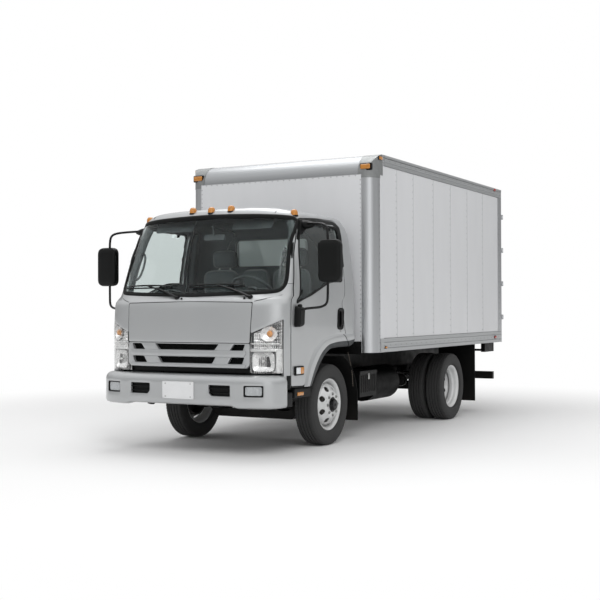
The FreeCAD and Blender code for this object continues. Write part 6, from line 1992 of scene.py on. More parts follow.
    def roof_lamps(self) -> None:
        """Five amber domes along the roof's front edge, each on a dark foot."""
        lamps, feet = Piece(), Piece()
        angle = np.linspace(0, 2 * np.pi, 32, endpoint=False)
        for x, y in self.lamps_at:
            spot = np.array([x, AXLE + y, self.roof_at(abs(x), y) - 0.003])
            rings = []
            for high, share in ((-0.016, 1.0), (0.006, 1.0), (0.018, 0.96), (0.03, 0.85), (0.039, 0.66),
                    (0.0445, 0.36), (0.046, 0.05)):
                rings.append(xyz(0.037 * share * np.cos(angle), 0.043 * share * np.sin(angle), high - 0.002) + spot)
            lamps.stack(np.array(rings))
            feet.lathe([(-0.03, 0.0), (-0.03, 0.042), (-0.0175, 0.042), (-0.017, 0.0)], spot, 28, "z")
        lamps.make("roof_lamp_lenses", AMBER_LENS, "cab", ["roof_lamps"])
        feet.make("roof_lamp_feet", GLOSS_BLACK, "cab")

    @staticmethod
    def roof_at(x: float, y: float) -> float:
        """Height of the roof over a point, from the nearest of a fine set of places.

        Args:
            x: distance from the middle plane.
            y: distance along the truck.

        Returns:
            The height, in metres.
        """
        girths = np.linspace(0, CAB.end(2.3)[0], 200)
        ups = CAB.shoulder + np.concatenate([np.linspace(0.02, CAB.brim, 60), CAB.brim + np.linspace(0.01, 0.9, 60)])
        places = CAB.place(girths[:, None], ups[None]).reshape(-1, 3)
        near = np.argmin((places[:, 0] - x) ** 2 + (places[:, 1] - AXLE - y) ** 2)
        return float(places[near, 2])


def bend(route: Sequence[Sequence[float]], steps: int = 40) -> Array:
    """A smooth path: a cubic B-spline whose control points are the route, held at both ends.

    Args:
        route: the control points.
        steps: how many places are worked out.

    Returns:
        Places along the path.
    """
    points = np.array([np.asarray(point, float) for point in route])
    points = np.vstack([2 * points[0] - points[1], points, 2 * points[-1] - points[-2]])
    at = np.linspace(0, len(points) - 3 - 1e-9, steps)
    k = at.astype(int)
    t = (at - k)[:, None]
    a, b, c, d = points[k], points[k + 1], points[k + 2], points[np.minimum(k + 3, len(points) - 1)]
    return (((1 - t) ** 3) * a + (3 * t ** 3 - 6 * t ** 2 + 4) * b + (-3 * t ** 3 + 3 * t ** 2 + 3 * t + 1) * c
        + t ** 3 * d) / 6


# ------------------------------------------------------------------ wheels
@dataclass
class Tyre:
    """Highway-rib tyre with four grooves round it and fine cuts along the ribs' edges.

    The section is a smooth curve of half width against radius. The tread's radius drops in each groove, and along a
    rib's edges it drops again in short pulses round the wheel.
    """

    radius: float = 0.433
    half: float = 0.1125
    tread: float = 0.088
    grooves: Sequence[float] = (-0.054, -0.019, 0.019, 0.054)
    groove_wide: float = 0.0085
    groove_deep: float = 0.011
    crown_drop: float = 0.0045
    cut_deep: float = 0.0045
    cut_above: float = 0.412
    cuts: int = 80
    steps: int = 320

    def section(self) -> Array:
        """Half of the section from the bead to the tread's edge, as (across, radius).

        Returns:
            The section's points.
        """
        knots = [(0.0, 0.068, 0.25), (0.04, 0.079, 0.262), (0.1, 0.088, 0.279), (0.13, 0.09, 0.284),
            (0.17, 0.097, 0.287), (0.35, 0.11, 0.315), (0.55, self.half, 0.35), (0.72, 0.1095, 0.385),
            (0.86, 0.103, 0.409), (0.95, 0.0955, 0.4235), (1.0, self.tread, 0.4285)]
        at = np.linspace(0, 1, 36)
        across = pchip([(a, b) for a, b, _ in knots], at)
        radius = pchip([(a, c) for a, _, c in knots], at)
        ring = 0.0016 * (np.abs(radius - 0.300) < 0.004) + 0.0014 * (np.abs(radius - 0.392) < 0.003)
        return np.stack([across + ring, radius], axis=1)

    def build(self, centre: Sequence[float]) -> Piece:
        """Lay one tyre with its middle at a place.

        Args:
            centre: the tyre's middle.

        Returns:
            The piece.
        """
        side = self.section()
        edges = []
        for groove in self.grooves:
            w = self.groove_wide / 2
            edges += [(groove + sign * reach, deep, cut) for sign in (1, -1) for reach, deep,
                cut in ((w + 0.006, 0.0, 0.0), (w + 0.0012, 0.0, 1.0), (w, 0.0, 1.0),
                (w * 0.7, self.groove_deep, 0.0))]
        edges += [(-self.tread + 0.006, 0.0, 1.0), (self.tread - 0.006, 0.0, 1.0), (0.0, 0.0, 0.0)]
        edges = np.array(sorted(edges))
        crown = self.radius - self.crown_drop * (np.abs(edges[:, 0]) / self.tread) ** 2.4 - 0.0001
        across = np.concatenate([-side[:, 0], edges[:, 0], side[::-1, 0]])
        radius = np.concatenate([side[:, 1], crown - edges[:, 1], side[::-1, 1]])
        wall = np.where(side[:, 1] > self.cut_above, 1.0, 0.0)
        mask = np.concatenate([wall, edges[:, 2], wall[::-1]])
        angle = np.linspace(0, 2 * np.pi, self.steps, endpoint=False)
        pulse = np.where(np.arange(self.steps) % (self.steps // self.cuts) == 0, 1.0, 0.0)
        reach = radius[:, None] - self.cut_deep * mask[:, None] * pulse[None]
        points = np.stack([np.broadcast_to(across[:, None], reach.shape), reach * np.cos(angle),
            reach * np.sin(angle)], axis=-1) + np.array(centre)
        return Piece().grid(points, wrap_v=True, flip=True)


@dataclass
class Rim:
    """Pressed steel wheel: a flanged barrel and a domed disc with eight hand holes and eight stud recesses."""

    holes: int = 8
    studs: int = 8
    hole_at: float = 0.182
    stud_at: float = 0.112
    disc: Pairs = ((0.0, 0.131), (0.07, 0.131), (0.132, 0.13), (0.142, 0.126), (0.156, 0.113), (0.172, 0.099),
        (0.2, 0.083), (0.213, 0.066), (0.224, 0.042))

    def barrel(self, centre: Array, sign: int) -> Piece:
        """The barrel: its flanges, bead seats, humps and drop well, outside and inside.

        Args:
            centre: the wheel's middle.
            sign: which way its outer face looks along x, as 1 or -1.

        Returns:
            The piece.
        """
        profile = [(0.0795, 0.2660), (0.083, 0.272), (0.085, 0.2755), (0.0862, 0.2755), (0.0872, 0.272),
            (0.0845, 0.2645), (0.078, 0.257), (0.07, 0.2475), (0.05, 0.241), (0.034, 0.239), (0.026, 0.2335),
            (0.016, 0.2225), (0.0, 0.2185), (-0.02, 0.2185), (-0.03, 0.226), (-0.045, 0.238), (-0.07, 0.2475),
            (-0.0845, 0.2645), (-0.0872, 0.272), (-0.0862, 0.2755), (-0.083, 0.272), (-0.076, 0.255), (-0.045, 0.244),
            (-0.022, 0.2265), (0.012, 0.2265), (0.032, 0.243), (0.07, 0.253), (0.0795, 0.2660)]
        return Piece().lathe(profile, centre, steps=96, sign=sign)

    def face(self, centre: Array, way: int) -> tuple[Piece, Piece, Piece]:
        """The disc with its holes, the stud recesses and nuts, facing +X or -X.

        The disc's height at a radius is a smooth curve; holes are outlines in the wheel's plane.

        Args:
            centre: middle of the rim.
            way: 1 for a dome towards +X and -1 towards -X.

        Returns:
            Disc, recesses, and nuts.
        """
        def place(u: Array, v: Array) -> Array:
            """Domed disc over the wheel's plane."""
            reach = np.hypot(u, v)
            return np.stack([centre[0] + way * pchip(self.disc, reach), centre[1] + way * u, centre[2] + v], axis=-1)

        turns = np.linspace(0, 2 * np.pi, 97)[:-1]
        ring = np.stack([np.cos(turns), np.sin(turns)], axis=1)
        holes = []
        for k in range(self.holes):
            a = 2 * np.pi * (k + 0.5) / self.holes
            spin = np.array([[math.cos(a), math.sin(a)], [-math.sin(a), math.cos(a)]])
            holes.append((ring[::3] * (0.0295, 0.036) + (self.hole_at, 0)) @ spin)
        cups, nuts = Piece(), Piece()
        for k in range(self.studs):
            a = 2 * np.pi * k / self.studs
            spot = np.array([math.cos(a), math.sin(a)]) * self.stud_at
            holes.append(0.0195 * ring[::6] + spot)
            at = centre + np.array([way * 0.1305, way * spot[0], spot[1]])
            cups.lathe([(0.0, 0.0205), (-0.009, 0.0195), (-0.012, 0.0)], at, 16, sign=way)
            nuts.lathe([(-0.011, 0.0), (-0.011, 0.014), (0.006, 0.014), (0.0085, 0.0115), (0.009, 0.007),
                (0.014, 0.0065), (0.015, 0.0)], at, 6, sign=way)
        skin = Skin(place, spacing=0.016, roll=0.0035, flange=0.008)
        return skin.cut(0.2235 * ring, [hole[::-1] for hole in (*holes, 0.083 * ring[::2])]), cups, nuts


@dataclass
class Wheels:
    """Steered single wheels in front and twin wheels behind."""

    side: Side
    twin_half: float = 0.125

    def build(self) -> None:
        """Make the side's three rims and tyres."""
        self.front()
        self.rear()

    def place(self, x: float, y: float) -> Array:
        """Middle of a wheel."""
        return np.array([x, y, WHEEL_HIGH])

    def front(self) -> None:
        """The front wheel, its dome outwards, with a black hub cap."""
        low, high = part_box("front_tyre_left")
        centre, body = self.place((low[0] + high[0]) / 2, AXLE), f"front_wheel_{self.side.word}"
        rim, side = Rim(), self.side
        disc, cups, nuts = rim.face(centre, 1)
        rim.barrel(centre, 1).also(disc).make_on(side, "front_wheel_disc", WHEEL_PAINT, body,
            [f"front_rim_{side.word}"])
        cups.make_on(side, "front_stud_recesses", CAST_IRON, body)
        nuts.make_on(side, "front_wheel_nuts", BRIGHT_STEEL, body)
        hub = Piece().lathe([(0.1, 0.082), (0.128, 0.082), (0.131, 0.078), (0.134, 0.066), (0.158, 0.058),
            (0.164, 0.052), (0.166, 0.03), (0.166, 0.0)], centre, 40)
        hub.lathe([(0.165, 0.0), (0.165, 0.016), (0.172, 0.013), (0.173, 0.0)], centre, 6)
        hub.make_on(side, "front_hub_cap", GLOSS_BLACK, body, angle=25)
        self.drum(centre, body, "front")
        Tyre().build(centre).make_on(side, "front_tyre_rubber", TYRE, body, [f"front_tyre_{side.word}"], 40)
        self.valve(centre, 1, body, "front")

    def rear(self) -> None:
        """The twin wheels: the outer one turned dish outwards, the inner one dome outwards."""
        low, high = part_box("rear_tyres_left")
        middle_x = (low[0] + high[0]) / 2
        outer, inner = (self.place(middle_x + off, REAR_AXLE) for off in (self.twin_half, -self.twin_half))
        body = f"rear_wheels_{self.side.word}"
        rim, side = Rim(), self.side
        metal, nuts = Piece(), Piece()
        for centre, way in ((outer, -1), (inner, 1)):
            metal.also(rim.barrel(centre, 1)).also(rim.face(centre, way)[0])
            if way < 0:
                nuts.copies(Piece().lathe([(0.0, 0.0), (0.0, 0.016), (0.018, 0.016), (0.022, 0.013), (0.03, 0.008),
                    (0.034, 0.007), (0.035, 0.0)], centre - (0.128, 0, 0), 6), [(0, rim.stud_at * math.cos(a),
                    rim.stud_at * math.sin(a)) for a in np.arange(8) * np.pi / 4])
        metal.make_on(side, "rear_wheel_discs", WHEEL_PAINT, body, [f"rear_rims_{side.word}"])
        nuts.make_on(side, "rear_wheel_nuts", CAST_IRON, body)
        hub = Piece().lathe([(-0.128, 0.085), (-0.11, 0.083), (-0.104, 0.078), (-0.08, 0.07), (-0.074, 0.064),
            (-0.07, 0.05), (-0.068, 0.0)], outer, 40)
        hub.copies(Piece().lathe([(-0.075, 0.0), (-0.075, 0.0075), (-0.064, 0.007), (-0.062, 0.0)], outer, 6),
            [(0, 0.06 * math.cos(a), 0.06 * math.sin(a)) for a in np.arange(6) * np.pi / 3])
        hub.make_on(side, "rear_hub_flange", FRAME_PAINT, body)
        self.drum(inner, body, "rear")
        tyres = Tyre().build(outer).also(Tyre().build(inner))
        tyres.make_on(side, "rear_tyre_rubber", TYRE, body, [f"rear_tyres_{side.word}"], 40)
        self.valve(outer, -1, body, "rear")

    def drum(self, centre: Array, body: str, name: str) -> None:
        """Ribbed brake drum behind the disc.

        Args:
            centre: the wheel's middle.
            body: the body that it turns with.
            name: front or rear, for the piece's name.
        """
        drum = Piece().lathe([(0.11, 0.086), (0.1, 0.15), (0.085, 0.176), (0.03, 0.18), (0.028, 0.186),
            (0.018, 0.186), (0.016, 0.18), (-0.02, 0.18), (-0.022, 0.187), (-0.034, 0.187), (-0.036, 0.176),
            (-0.036, 0.166), (-0.02, 0.164), (0.08, 0.16), (0.09, 0.086)], centre, 64)
        drum.make_on(self.side, f"{name}_brake_drum", CAST_IRON, body)

    def valve(self, centre: Array, way: int, body: str, name: str) -> None:
        """Tyre valve on the rim's slope.

        Args:
            centre: the wheel's middle.
            way: which way the wheel looks along x, as 1 or -1.
            body: the body that it turns with.
            name: front or rear, for the piece's name.
        """
        stem = Piece().tube(np.array([centre + (way * 0.03, 0.0, -0.214), centre + (way * 0.05, 0, -0.208),
            centre + (way * 0.085, 0, -0.213)]), np.array([0.006, 0.0045, 0.004]), 8, up=(0, 1, 0))
        stem.make_on(self.side, f"{name}_valve", BRIGHT_STEEL, body)


# ------------------------------------------------------------------ cargo body
def carved(node: str, planes: Sequence[tuple[Sequence[float], Sequence[float]]], out: float = 0.0) -> Piece:
    """A merged copy of a CAD node's mesh, cut by planes.

    Args:
        node: the node's name.
        planes: (point, normal) pairs; what lies ahead of a plane's normal is dropped.
        out: how far the copy is moved along its own normals.

    Returns:
        The copy's surfaces.
    """
    work = bmesh.new()
    work.from_mesh(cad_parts[node].data)
    bmesh.ops.remove_doubles(work, verts=work.verts, dist=0.00005)
    for point, normal in planes:
        bmesh.ops.bisect_plane(work, geom=[*work.verts, *work.edges, *work.faces], dist=1e-6, plane_co=point,
            plane_no=normal, clear_outer=True)
    work.normal_update()
    points = np.array([vertex.co + vertex.normal * out for vertex in work.verts]).reshape(-1, 3)
    work.verts.index_update()
    faces = [[vertex.index for vertex in face.verts] for face in work.faces]
    work.free()
    return Piece().lay(points, faces)


@dataclass
class CargoBody:
    """Dry-freight body: extruded posts and rails, riveted sheet, cast corners, lamps and swing doors."""

    half: float = 1.219
    high: float = 3.173
    front: float = 0.5
    rear: float = 4.886
    post: float = 0.155
    cove: float = 0.23
    joints: Sequence[float] = (1.104, 1.59, 2.227, 2.82, 3.437, 4.062)
    rivet: float = 0.0058
    rivet_pitch: float = 0.0762
    post_edge: float = 1.02
    casting_foot: float = 2.905

    def build(self) -> None:
        """Make every part of the dress."""
        self.front_frame()
        self.rails()
        self.rivets()
        self.lamps()
        self.rear_end()
        self.underside()

    def underside(self) -> None:
        """What hangs under the floor: front sill, helper springs, air tank, brake chambers, ribs, straps and chain."""
        black, metal, links = Piece(), Piece(), Piece()
        low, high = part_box("box_front_wall")
        for y0, y1, z0, z1 in ((-0.006, 0.001, 0.95, 1.092), (-0.014, -0.005, 1.03, 1.044)):
            black.block((low[0] + 0.004, low[1] + y0, z0), (high[0] - 0.004, low[1] + y1, z1), 0.002)
        for sign in (1, -1):
            way = np.linspace(-1, 1, 25)
            for lift, reach in ((0.0, 0.42), (0.011, 0.36), (0.022, 0.3)):
                leaf = xyz(0.455 * sign, REAR_AXLE + reach * way, 0.6 + lift + 0.05 * way ** 2 * (reach / 0.42))
                black.tube(leaf, 0.034, 10, flat=0.14)
            for y, half, low in ((-0.41, 0.04, 0.65), (0.41, 0.04, 0.65), (0.0, 0.05, 0.62), (0.0, 0.38, 0.63)):
                start, end = sorted((0.424 * sign, (0.49 if half < 0.1 else 0.434) * sign))
                black.block((start, REAR_AXLE + y - half, low), (end, REAR_AXLE + y + half, 0.7), 0.004)
            pot = (0.52 * sign, REAR_AXLE - 0.3, 0.52)
            black.lathe([(-0.07, 0.0), (-0.07, 0.06), (-0.05, 0.078), (0.0, 0.08), (0.05, 0.074), (0.07, 0.05),
                (0.075, 0.0)], pot, 28, "y")
            metal.lathe([(-0.008, 0.078), (-0.008, 0.087), (0.008, 0.087), (0.008, 0.078)], pot, 28, "y")
            chain = np.linspace(0, 1, 60)
            spots = np.array([(0.99, AXLE + 0.30, 0.98), (0.985, AXLE + 0.36, 0.88), (0.98, AXLE + 0.42, 0.76),
                (0.975, AXLE + 0.455, 0.6)])
            line = np.stack([pchip(list(zip(np.linspace(0, 1, 4), spots[:, k])), chain) for k in range(3)], axis=1)
            line[:, 0] *= sign
            links.tube(line, 0.0015 + 0.003 * np.abs(np.sin(np.arange(60) * np.pi / 3)), 6, up=(1, 0, 0))
        black.lathe([(-0.31, 0.0), (-0.31, 0.06), (-0.28, 0.095), (-0.2, 0.105), (0.2, 0.105), (0.28, 0.095),
            (0.31, 0.06), (0.31, 0.0)], (0.0, REAR_AXLE - 0.72, 0.56), 40)
        for x in (-0.16, 0.16):
            metal.lathe([(x - 0.015, 0.1045), (x - 0.015, 0.108), (x + 0.015, 0.108), (x + 0.015, 0.1045)],
                (0.0, REAR_AXLE - 0.72, 0.56), 40)
        low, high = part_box("battery_box")
        for y in np.arange(low[1] + 0.04, high[1] - 0.03, 0.052):
            black.block((high[0] - 0.02, y, low[2] + 0.05), (high[0] + 0.006, y + 0.022, high[2] - 0.05), 0.004, "x")
        black.block((high[0] - 0.03, low[1] - 0.004, high[2] - 0.04), (high[0] + 0.008, high[1] + 0.004,
            high[2] + 0.004), 0.006)
        metal.block((high[0] - 0.002, (low[1] + high[1]) / 2 - 0.02, high[2] - 0.1),
            (high[0] + 0.014, (low[1] + high[1]) / 2 + 0.02, high[2] - 0.03), 0.004, "x")
        black.make("under_floor_parts", FRAME_PAINT, "chassis", angle=35)
        metal.make("under_floor_fittings", BRIGHT_STEEL, "chassis", angle=35)
        links.make("retaining_chains", EXHAUST, "chassis")

    def front_frame(self) -> None:
        """The frame's own mesh, split into posts, cove and corner castings."""
        edge, foot = self.post_edge, self.casting_foot
        cove = carved("box_front_frame", [((edge, 0, 0), (1, 0, 0)), ((-edge, 0, 0), (-1, 0, 0)),
            ((0, 0, self.high - self.cove), (0, 0, -1))])
        cove.make("front_cove", COVE_METAL_SHADED, "chassis", ["box_front_frame"])
        posts, caps = Piece(), Piece()
        for sign in (1, -1):
            beside = ((sign * edge, 0, 0), (-sign, 0, 0))
            posts.also(carved("box_front_frame", [beside, ((0, 0, foot), (0, 0, 1))]))
            caps.also(carved("box_front_frame", [beside, ((0, 0, foot), (0, 0, -1))], out=0.003))
        posts.make("front_posts", POST_METAL, "chassis")
        caps.make("corner_castings", CAST_CORNER, "chassis", angle=40)

    def rails(self) -> None:
        """Grooved side rails: a section of proudness against height, carried along the body, with dark strips in the
        grooves and where the rails meet the wall as painted shade.
        """
        foot = [(0.968, 0.0), (0.9705, 0.005), (1.005, 0.0055), (1.008, 0.002), (1.014, 0.002), (1.017, 0.0055),
            (1.07, 0.0055), (1.073, 0.003), (1.079, 0.003), (1.082, 0.0055), (1.116, 0.005), (1.1205, 0.0)]
        head = [(3.058, 0.0), (3.061, 0.005), (3.09, 0.0055), (3.094, 0.002), (3.1, 0.002), (3.104, 0.0055),
            (3.138, 0.006), (3.142, 0.004), (3.146, 0.009), (3.17, 0.0095), (3.1745, 0.007), (3.1755, -0.02)]
        # A strip in the head rail's groove, laid just over it in black: painted shade.
        edge = [(3.1385, 0.0065), (3.141, 0.0045), (3.1445, 0.0045), (3.147, 0.0092)]
        rails, shadow = Piece(), Piece()
        groove_shade_lines = Piece()
        runs = [(foot, self.front + self.post + 0.004, rails), (head, self.front + self.cove + 0.02, rails),
            (edge, self.front + self.cove + 0.02, shadow)]
        # Thin grey strips in the grooves and along the rails' edges: painted shade.
        for z, out, tall in ((1.0085, 0.0024, 0.005), (1.0735, 0.0034, 0.005), (1.1195, 0.0012, 0.006),
                (3.0945, 0.0024, 0.005), (3.051, 0.0008, 0.006)):
            runs.append(([(z, out), (z + tall, out)], self.front + self.cove + 0.02, groove_shade_lines))
        for section, start, piece in runs:
            ys = np.linspace(start, self.rear - 0.02, 12) + AXLE
            lift = 0.0008 if piece is shadow else 0.0
            grid = np.array([xyz(self.half + out + lift, ys, z) for z, out in section])
            piece.grid(grid, flip=True).grid(grid * np.array([-1, 1, 1]))
        groove_shade_lines.make("rail_groove_shade_lines", RIVET_AND_GROOVE_SHADE, "chassis")
        rails.make("side_rails", RAIL_METAL, "chassis")
        shadow.make("rail_groove_shade", SEAL_RUBBER_AND_GAP_SHADE, "chassis")

    def rivets(self) -> None:
        """Rivet rows and lapped joints on the sides and front."""
        head = [(-0.001, self.rivet), (0.0012, self.rivet * 0.92), (0.0026, self.rivet * 0.6), (0.0031, 0.0)]
        side = Piece().lathe(head, (0, 0, 0), 8)
        spots, bare = [], np.arange(1.16, 3.04, self.rivet_pitch)
        for y in self.joints:
            spots += [(self.half - 0.004, y + AXLE, z) for z in bare]
        spots += [(self.half + 0.0055, y + AXLE, z) for z in (1.043, 3.12) for y in np.arange(self.front + 0.26,
            self.rear - 0.04, 0.152)]
        for y in (self.front + self.post - 0.012, self.rear - 0.105):
            spots += [(self.half - 0.0005, y + AXLE, z) for z in np.arange(1.0, 2.88, self.rivet_pitch)]
        left = Piece().copies(side, spots)
        left.also(Piece().also(left).mirrored())
        left.make("side_rivets", RIVET_AND_GROOVE_SHADE, "chassis")
        strips = Piece()
        for y in self.joints:
            strips.block((self.half - 0.0045, y + AXLE + 0.021, 1.12), (self.half - 0.0028, y + AXLE + 0.026, 3.06),
                0.0006)
        strips.also(Piece().also(strips).mirrored())
        strips.make("side_joints", JOINT_SEALER, "chassis")
        face = Piece().lathe(head, (0, 0, 0), 8, axis="y", sign=-1)
        y = AXLE + self.front
        front = Piece().copies(face, [(x, y - 0.0006, z) for x in (-1.052, 1.052)
            for z in np.arange(1.0, 2.9, 0.0508)])
        front.copies(face, [(x, y - 0.0006, self.high - self.cove - 0.012) for x in np.arange(-0.99, 1.0,
            self.rivet_pitch)])
        front.make("front_rivets", RIVET_AND_GROOVE_SHADE, "chassis")
        seams = Piece()
        for x0, x1, z0, z1 in ((-1.02, 1.02, self.high - self.cove - 0.003, self.high - self.cove),
                (1.0635, 1.0675, 0.99, 2.94), (-1.0635, -1.0675, 0.99, 2.94)):
            seams.block((x0, y - 0.0018, z0), (x1, y + 0.002, z1), 0.0006, "y")
        seams.make("front_joints", JOINT_SEALER, "chassis")

    def lamps(self) -> None:
        """Small marker lamps: amber in the corner castings and near the front, red at the rear."""
        amber, red, base = Piece(), Piece(), Piece()
        for sign in (1, -1):
            x = sign * 1.112
            y = AXLE + self.front + self.cove_depth(3.025) - 0.002
            base.block((x - 0.072, y - 0.006, 2.985), (x + 0.072, y + 0.03, 3.065), 0.006, "y", 0.014)
            amber.block((x - 0.058, y - 0.024, 2.997), (x + 0.058, y, 3.053), 0.01, "y", 0.014)
            for piece, at, z in ((amber, 0.66, 3.128), (red, 4.575, 3.15), (red, 4.575, 1.043), (amber, 0.789, 1.02)):
                small = 0.028 if z > 1.03 else 0.017
                low = (sign * (self.half + 0.002), at + AXLE - small * 1.3, z - small * 0.62)
                high = (sign * (self.half + 0.018), at + AXLE + small * 1.3, z + small * 0.62)
                base.block(np.array(low) - (0, 0.006, 0.006), np.array(high) + (-sign * 0.01, 0.006, 0.006), 0.003,
                    "x", 0.008)
                piece.block(low, high, 0.005, "x", 0.008)
        amber.make("amber_markers", AMBER_LENS, "chassis")
        red.make("red_markers", RED_LENS, "chassis")
        base.make("marker_bases", BLACK_PLASTIC, "chassis")

    def cove_depth(self, z: float) -> float:
        """How far the cove's face lies behind the front panel at a height: an arc of the cove's radius."""
        up = max(z - (self.high - self.cove), 0.0)
        return self.cove - math.sqrt(self.cove ** 2 - up ** 2)

    def rear_end(self) -> None:
        """Door gaskets, lock collars and handles, hinge bolts and tail lamps at the back."""
        y = AXLE + self.rear
        seal, metal, handles, red, amber, white, dark = (Piece() for _ in range(7))
        for sign in (1, -1):
            for x0, x1, z0, z1 in ((1.06, 1.078, 1.1, 3.01), (0.006, 0.02, 1.1, 3.01), (0.02, 1.06, 1.094, 1.108),
                    (0.02, 1.06, 3.0, 3.014)):
                seal.block((sign * x0, y - 0.004, z0), (sign * x1, y + 0.006, z1), 0.003, "y")
            x = sign * 0.122
            rod_y = y + 0.047
            for z in (1.12, 2.98):
                metal.lathe([(-0.02, 0.0), (-0.02, 0.026), (0.02, 0.026), (0.02, 0.0)], (x, rod_y, z), 16, "z")
            z = 1.98 + 0.12 * sign
            metal.lathe([(-0.04, 0.0), (-0.04, 0.022), (0.04, 0.022), (0.04, 0.0)], (x, rod_y, z - 0.2), 16, "z")
            path = bend([(x, rod_y + 0.012, z - 0.2), (x + sign * 0.08, rod_y + 0.014, z - 0.2),
                (x + sign * 0.3, rod_y + 0.01, z - 0.205), (x + sign * 0.42, rod_y + 0.012, z - 0.21)], 24)
            handles.tube(path, 0.011, 10, flat=0.6)
            handles.block((x + sign * 0.3, y, z - 0.235), (x + sign * 0.36, rod_y + 0.004, z - 0.175), 0.004, "y")
            bolt = Piece().lathe([(0, 0), (0, 0.009), (0.006, 0.009), (0.0075, 0.006), (0.0075, 0)], (0, 0, 0), 6,
                "y")
            for index in range(4):
                level = 1.087 + (index + 0.5) / 4 * (3.023 - 1.087)
                metal.copies(bolt, [(sign * (1.219 - s), y + 0.012, level) for s in (0.17, 0.25, 0.33, 0.38)])
            for start, piece in ((0.86, red), (1.02, amber)):
                dark.block((sign * (start - 0.01), y - 0.01, 0.985), (sign * (start + 0.14), y + 0.006, 1.075), 0.004,
                    "y", 0.01)
                piece.block((sign * start, y, 0.995), (sign * (start + 0.13), y + 0.02, 1.065), 0.007, "y", 0.012)
            red.block((sign * 0.96, y - 0.002, 3.085), (sign * 1.06, y + 0.016, 3.12), 0.006, "y", 0.01)
            white.block((sign * 0.78, y, 0.995), (sign * 0.84, y + 0.018, 1.065), 0.007, "y", 0.012)
        for x in (-0.2, 0.0, 0.2):
            red.block((x - 0.05, y - 0.002, 3.085), (x + 0.05, y + 0.016, 3.12), 0.006, "y", 0.01)
        dark.block((-0.17, y - 0.004, 0.98), (0.17, y + 0.01, 1.075), 0.003, "y", 0.008)
        white.block((-0.16, y + 0.008, 0.985), (0.16, y + 0.013, 1.07), 0.001, "y", 0.008)
        seal.make("door_seals", SEAL_RUBBER_AND_GAP_SHADE, "chassis")
        self.split(metal, "lock_collars", BRIGHT_STEEL)
        self.split(handles, "lock_handles", BRIGHT_STEEL)
        for name, piece, finish in (("tail_lamps_red", red, RED_LENS), ("tail_lamps_amber", amber, AMBER_LENS),
                ("tail_lamps_white", white, PLATE_BLANK), ("tail_lamp_bases", dark, BLACK_PLASTIC)):
            piece.make(name, finish, "chassis")

    def split(self, piece: Piece, name: str, finish: Finish) -> None:
        """Put the surfaces of a mirrored set on the two doors, by the side that each lies on.

        Args:
            piece: the surfaces of both sides.
            name: the pieces' name, before its side.
            finish: what they are dressed in.
        """
        points = np.vstack(piece.points)
        for side in Side:
            part = Piece()
            part.lay(points, [face for face in piece.faces if points[face[0], 0] * side.value > 0])
            part.make(f"{name}_{side.word}", finish, f"box_door_{side.word}")


# ------------------------------------------------------------------ inside the cab
def cab_depth(points: Array) -> tuple[Array, Array]:
    """How far places lie inside the cab's outer form, and the way out from each.

    Args:
        points: places in the frame.

    Returns:
        Depths, and unit vectors towards the nearest of side, nose, back and roof.
    """
    x, y, z = points[:, 0], points[:, 1] - AXLE, points[:, 2]
    level = np.minimum(z, CAB.shoulder)
    half, nose, back = pchip(CAB.half, level), pchip(CAB.nose, level), pchip(CAB.back, level)
    above = np.maximum(z - CAB.shoulder, 0)
    shrink = np.interp(above, [0, 0.092, 0.122, 0.14, 0.16], [0, 0.061, 0.15, 0.261, 0.6])
    half, nose, back = half - shrink, nose + shrink * 0.7, back - shrink * 0.6
    into = np.clip((y - nose) / CAB.depth, 0, 1)
    side = half * (1 - (1 - into) ** 2) ** 0.2 - np.abs(x)
    share = np.clip(np.abs(x) / half, 0, 1)
    front = y - nose - CAB.depth * (1 - np.sqrt(np.clip(1 - share ** 5, 0, 1)))
    edge = np.minimum(np.minimum(pchip(CAB.half, level) - np.abs(x), y - pchip(CAB.nose, level)),
        pchip(CAB.back, level) - y)
    top = CAB.shoulder + np.interp(edge, [0, 0.06, 0.15, 0.26, 0.6], [0, 0.092, 0.122, 0.14, 0.16]) - z
    ways = np.stack([side, front, back - y, top])
    nearest = np.argmin(ways, axis=0)
    zero = np.zeros_like(x)
    out = np.stack([np.stack([np.sign(x), zero, zero], 1), np.stack([zero, zero - 1, zero], 1),
        np.stack([zero, zero + 1, zero], 1), np.stack([zero, zero, zero + 1], 1)])
    return ways.min(axis=0), out[nearest, np.arange(len(x))]


def lining(node: str, skin_deep: float = 0.034, margin: float = 0.014, top: float = 1.46) -> tuple[Piece, Piece]:
    """The lower parts of a cab panel's mesh that lie behind its skin, split into cabin side and underside.

    Faces that look out and lie near the outer form are dropped, because a skin stands for them, and the points left
    near it are drawn in.

    Args:
        node: the CAD node.
        skin_deep: a face nearer than this to the outer form, and facing out, is dropped.
        margin: least depth of a point that stays.
        top: height above which nothing is kept.

    Returns:
        Surfaces for the trim, and surfaces for the painted underside.
    """
    stock = carved(node, [((0, 0, top), (0, 0, 1))])
    points = np.vstack(stock.points)
    depth, out = cab_depth(points)
    trim, under = [], []
    for face in stock.faces:
        corner = points[face]
        normal = np.cross(corner[1] - corner[0], corner[2] - corner[0])
        normal /= max(float(np.linalg.norm(normal)), 1e-12)
        middle_depth, centre = float(depth[face].mean()), corner.mean(axis=0)
        if middle_depth < skin_deep and float(normal @ out[face].mean(axis=0)) > 0.25:
            continue
        if middle_depth < 0.05 and centre[2] > 1.16 and centre[1] > AXLE - 1.1:
            continue
        low = normal[2] < -0.2 or centre[2] < 0.78
        ahead = centre[1] < AXLE - 1.15 and normal[1] < -0.2
        (under if low or ahead else trim).append(face)
    points = points - out * np.clip(margin - depth, 0, 0.08)[:, None]
    return Piece().lay(points, trim), Piece().lay(points, under)


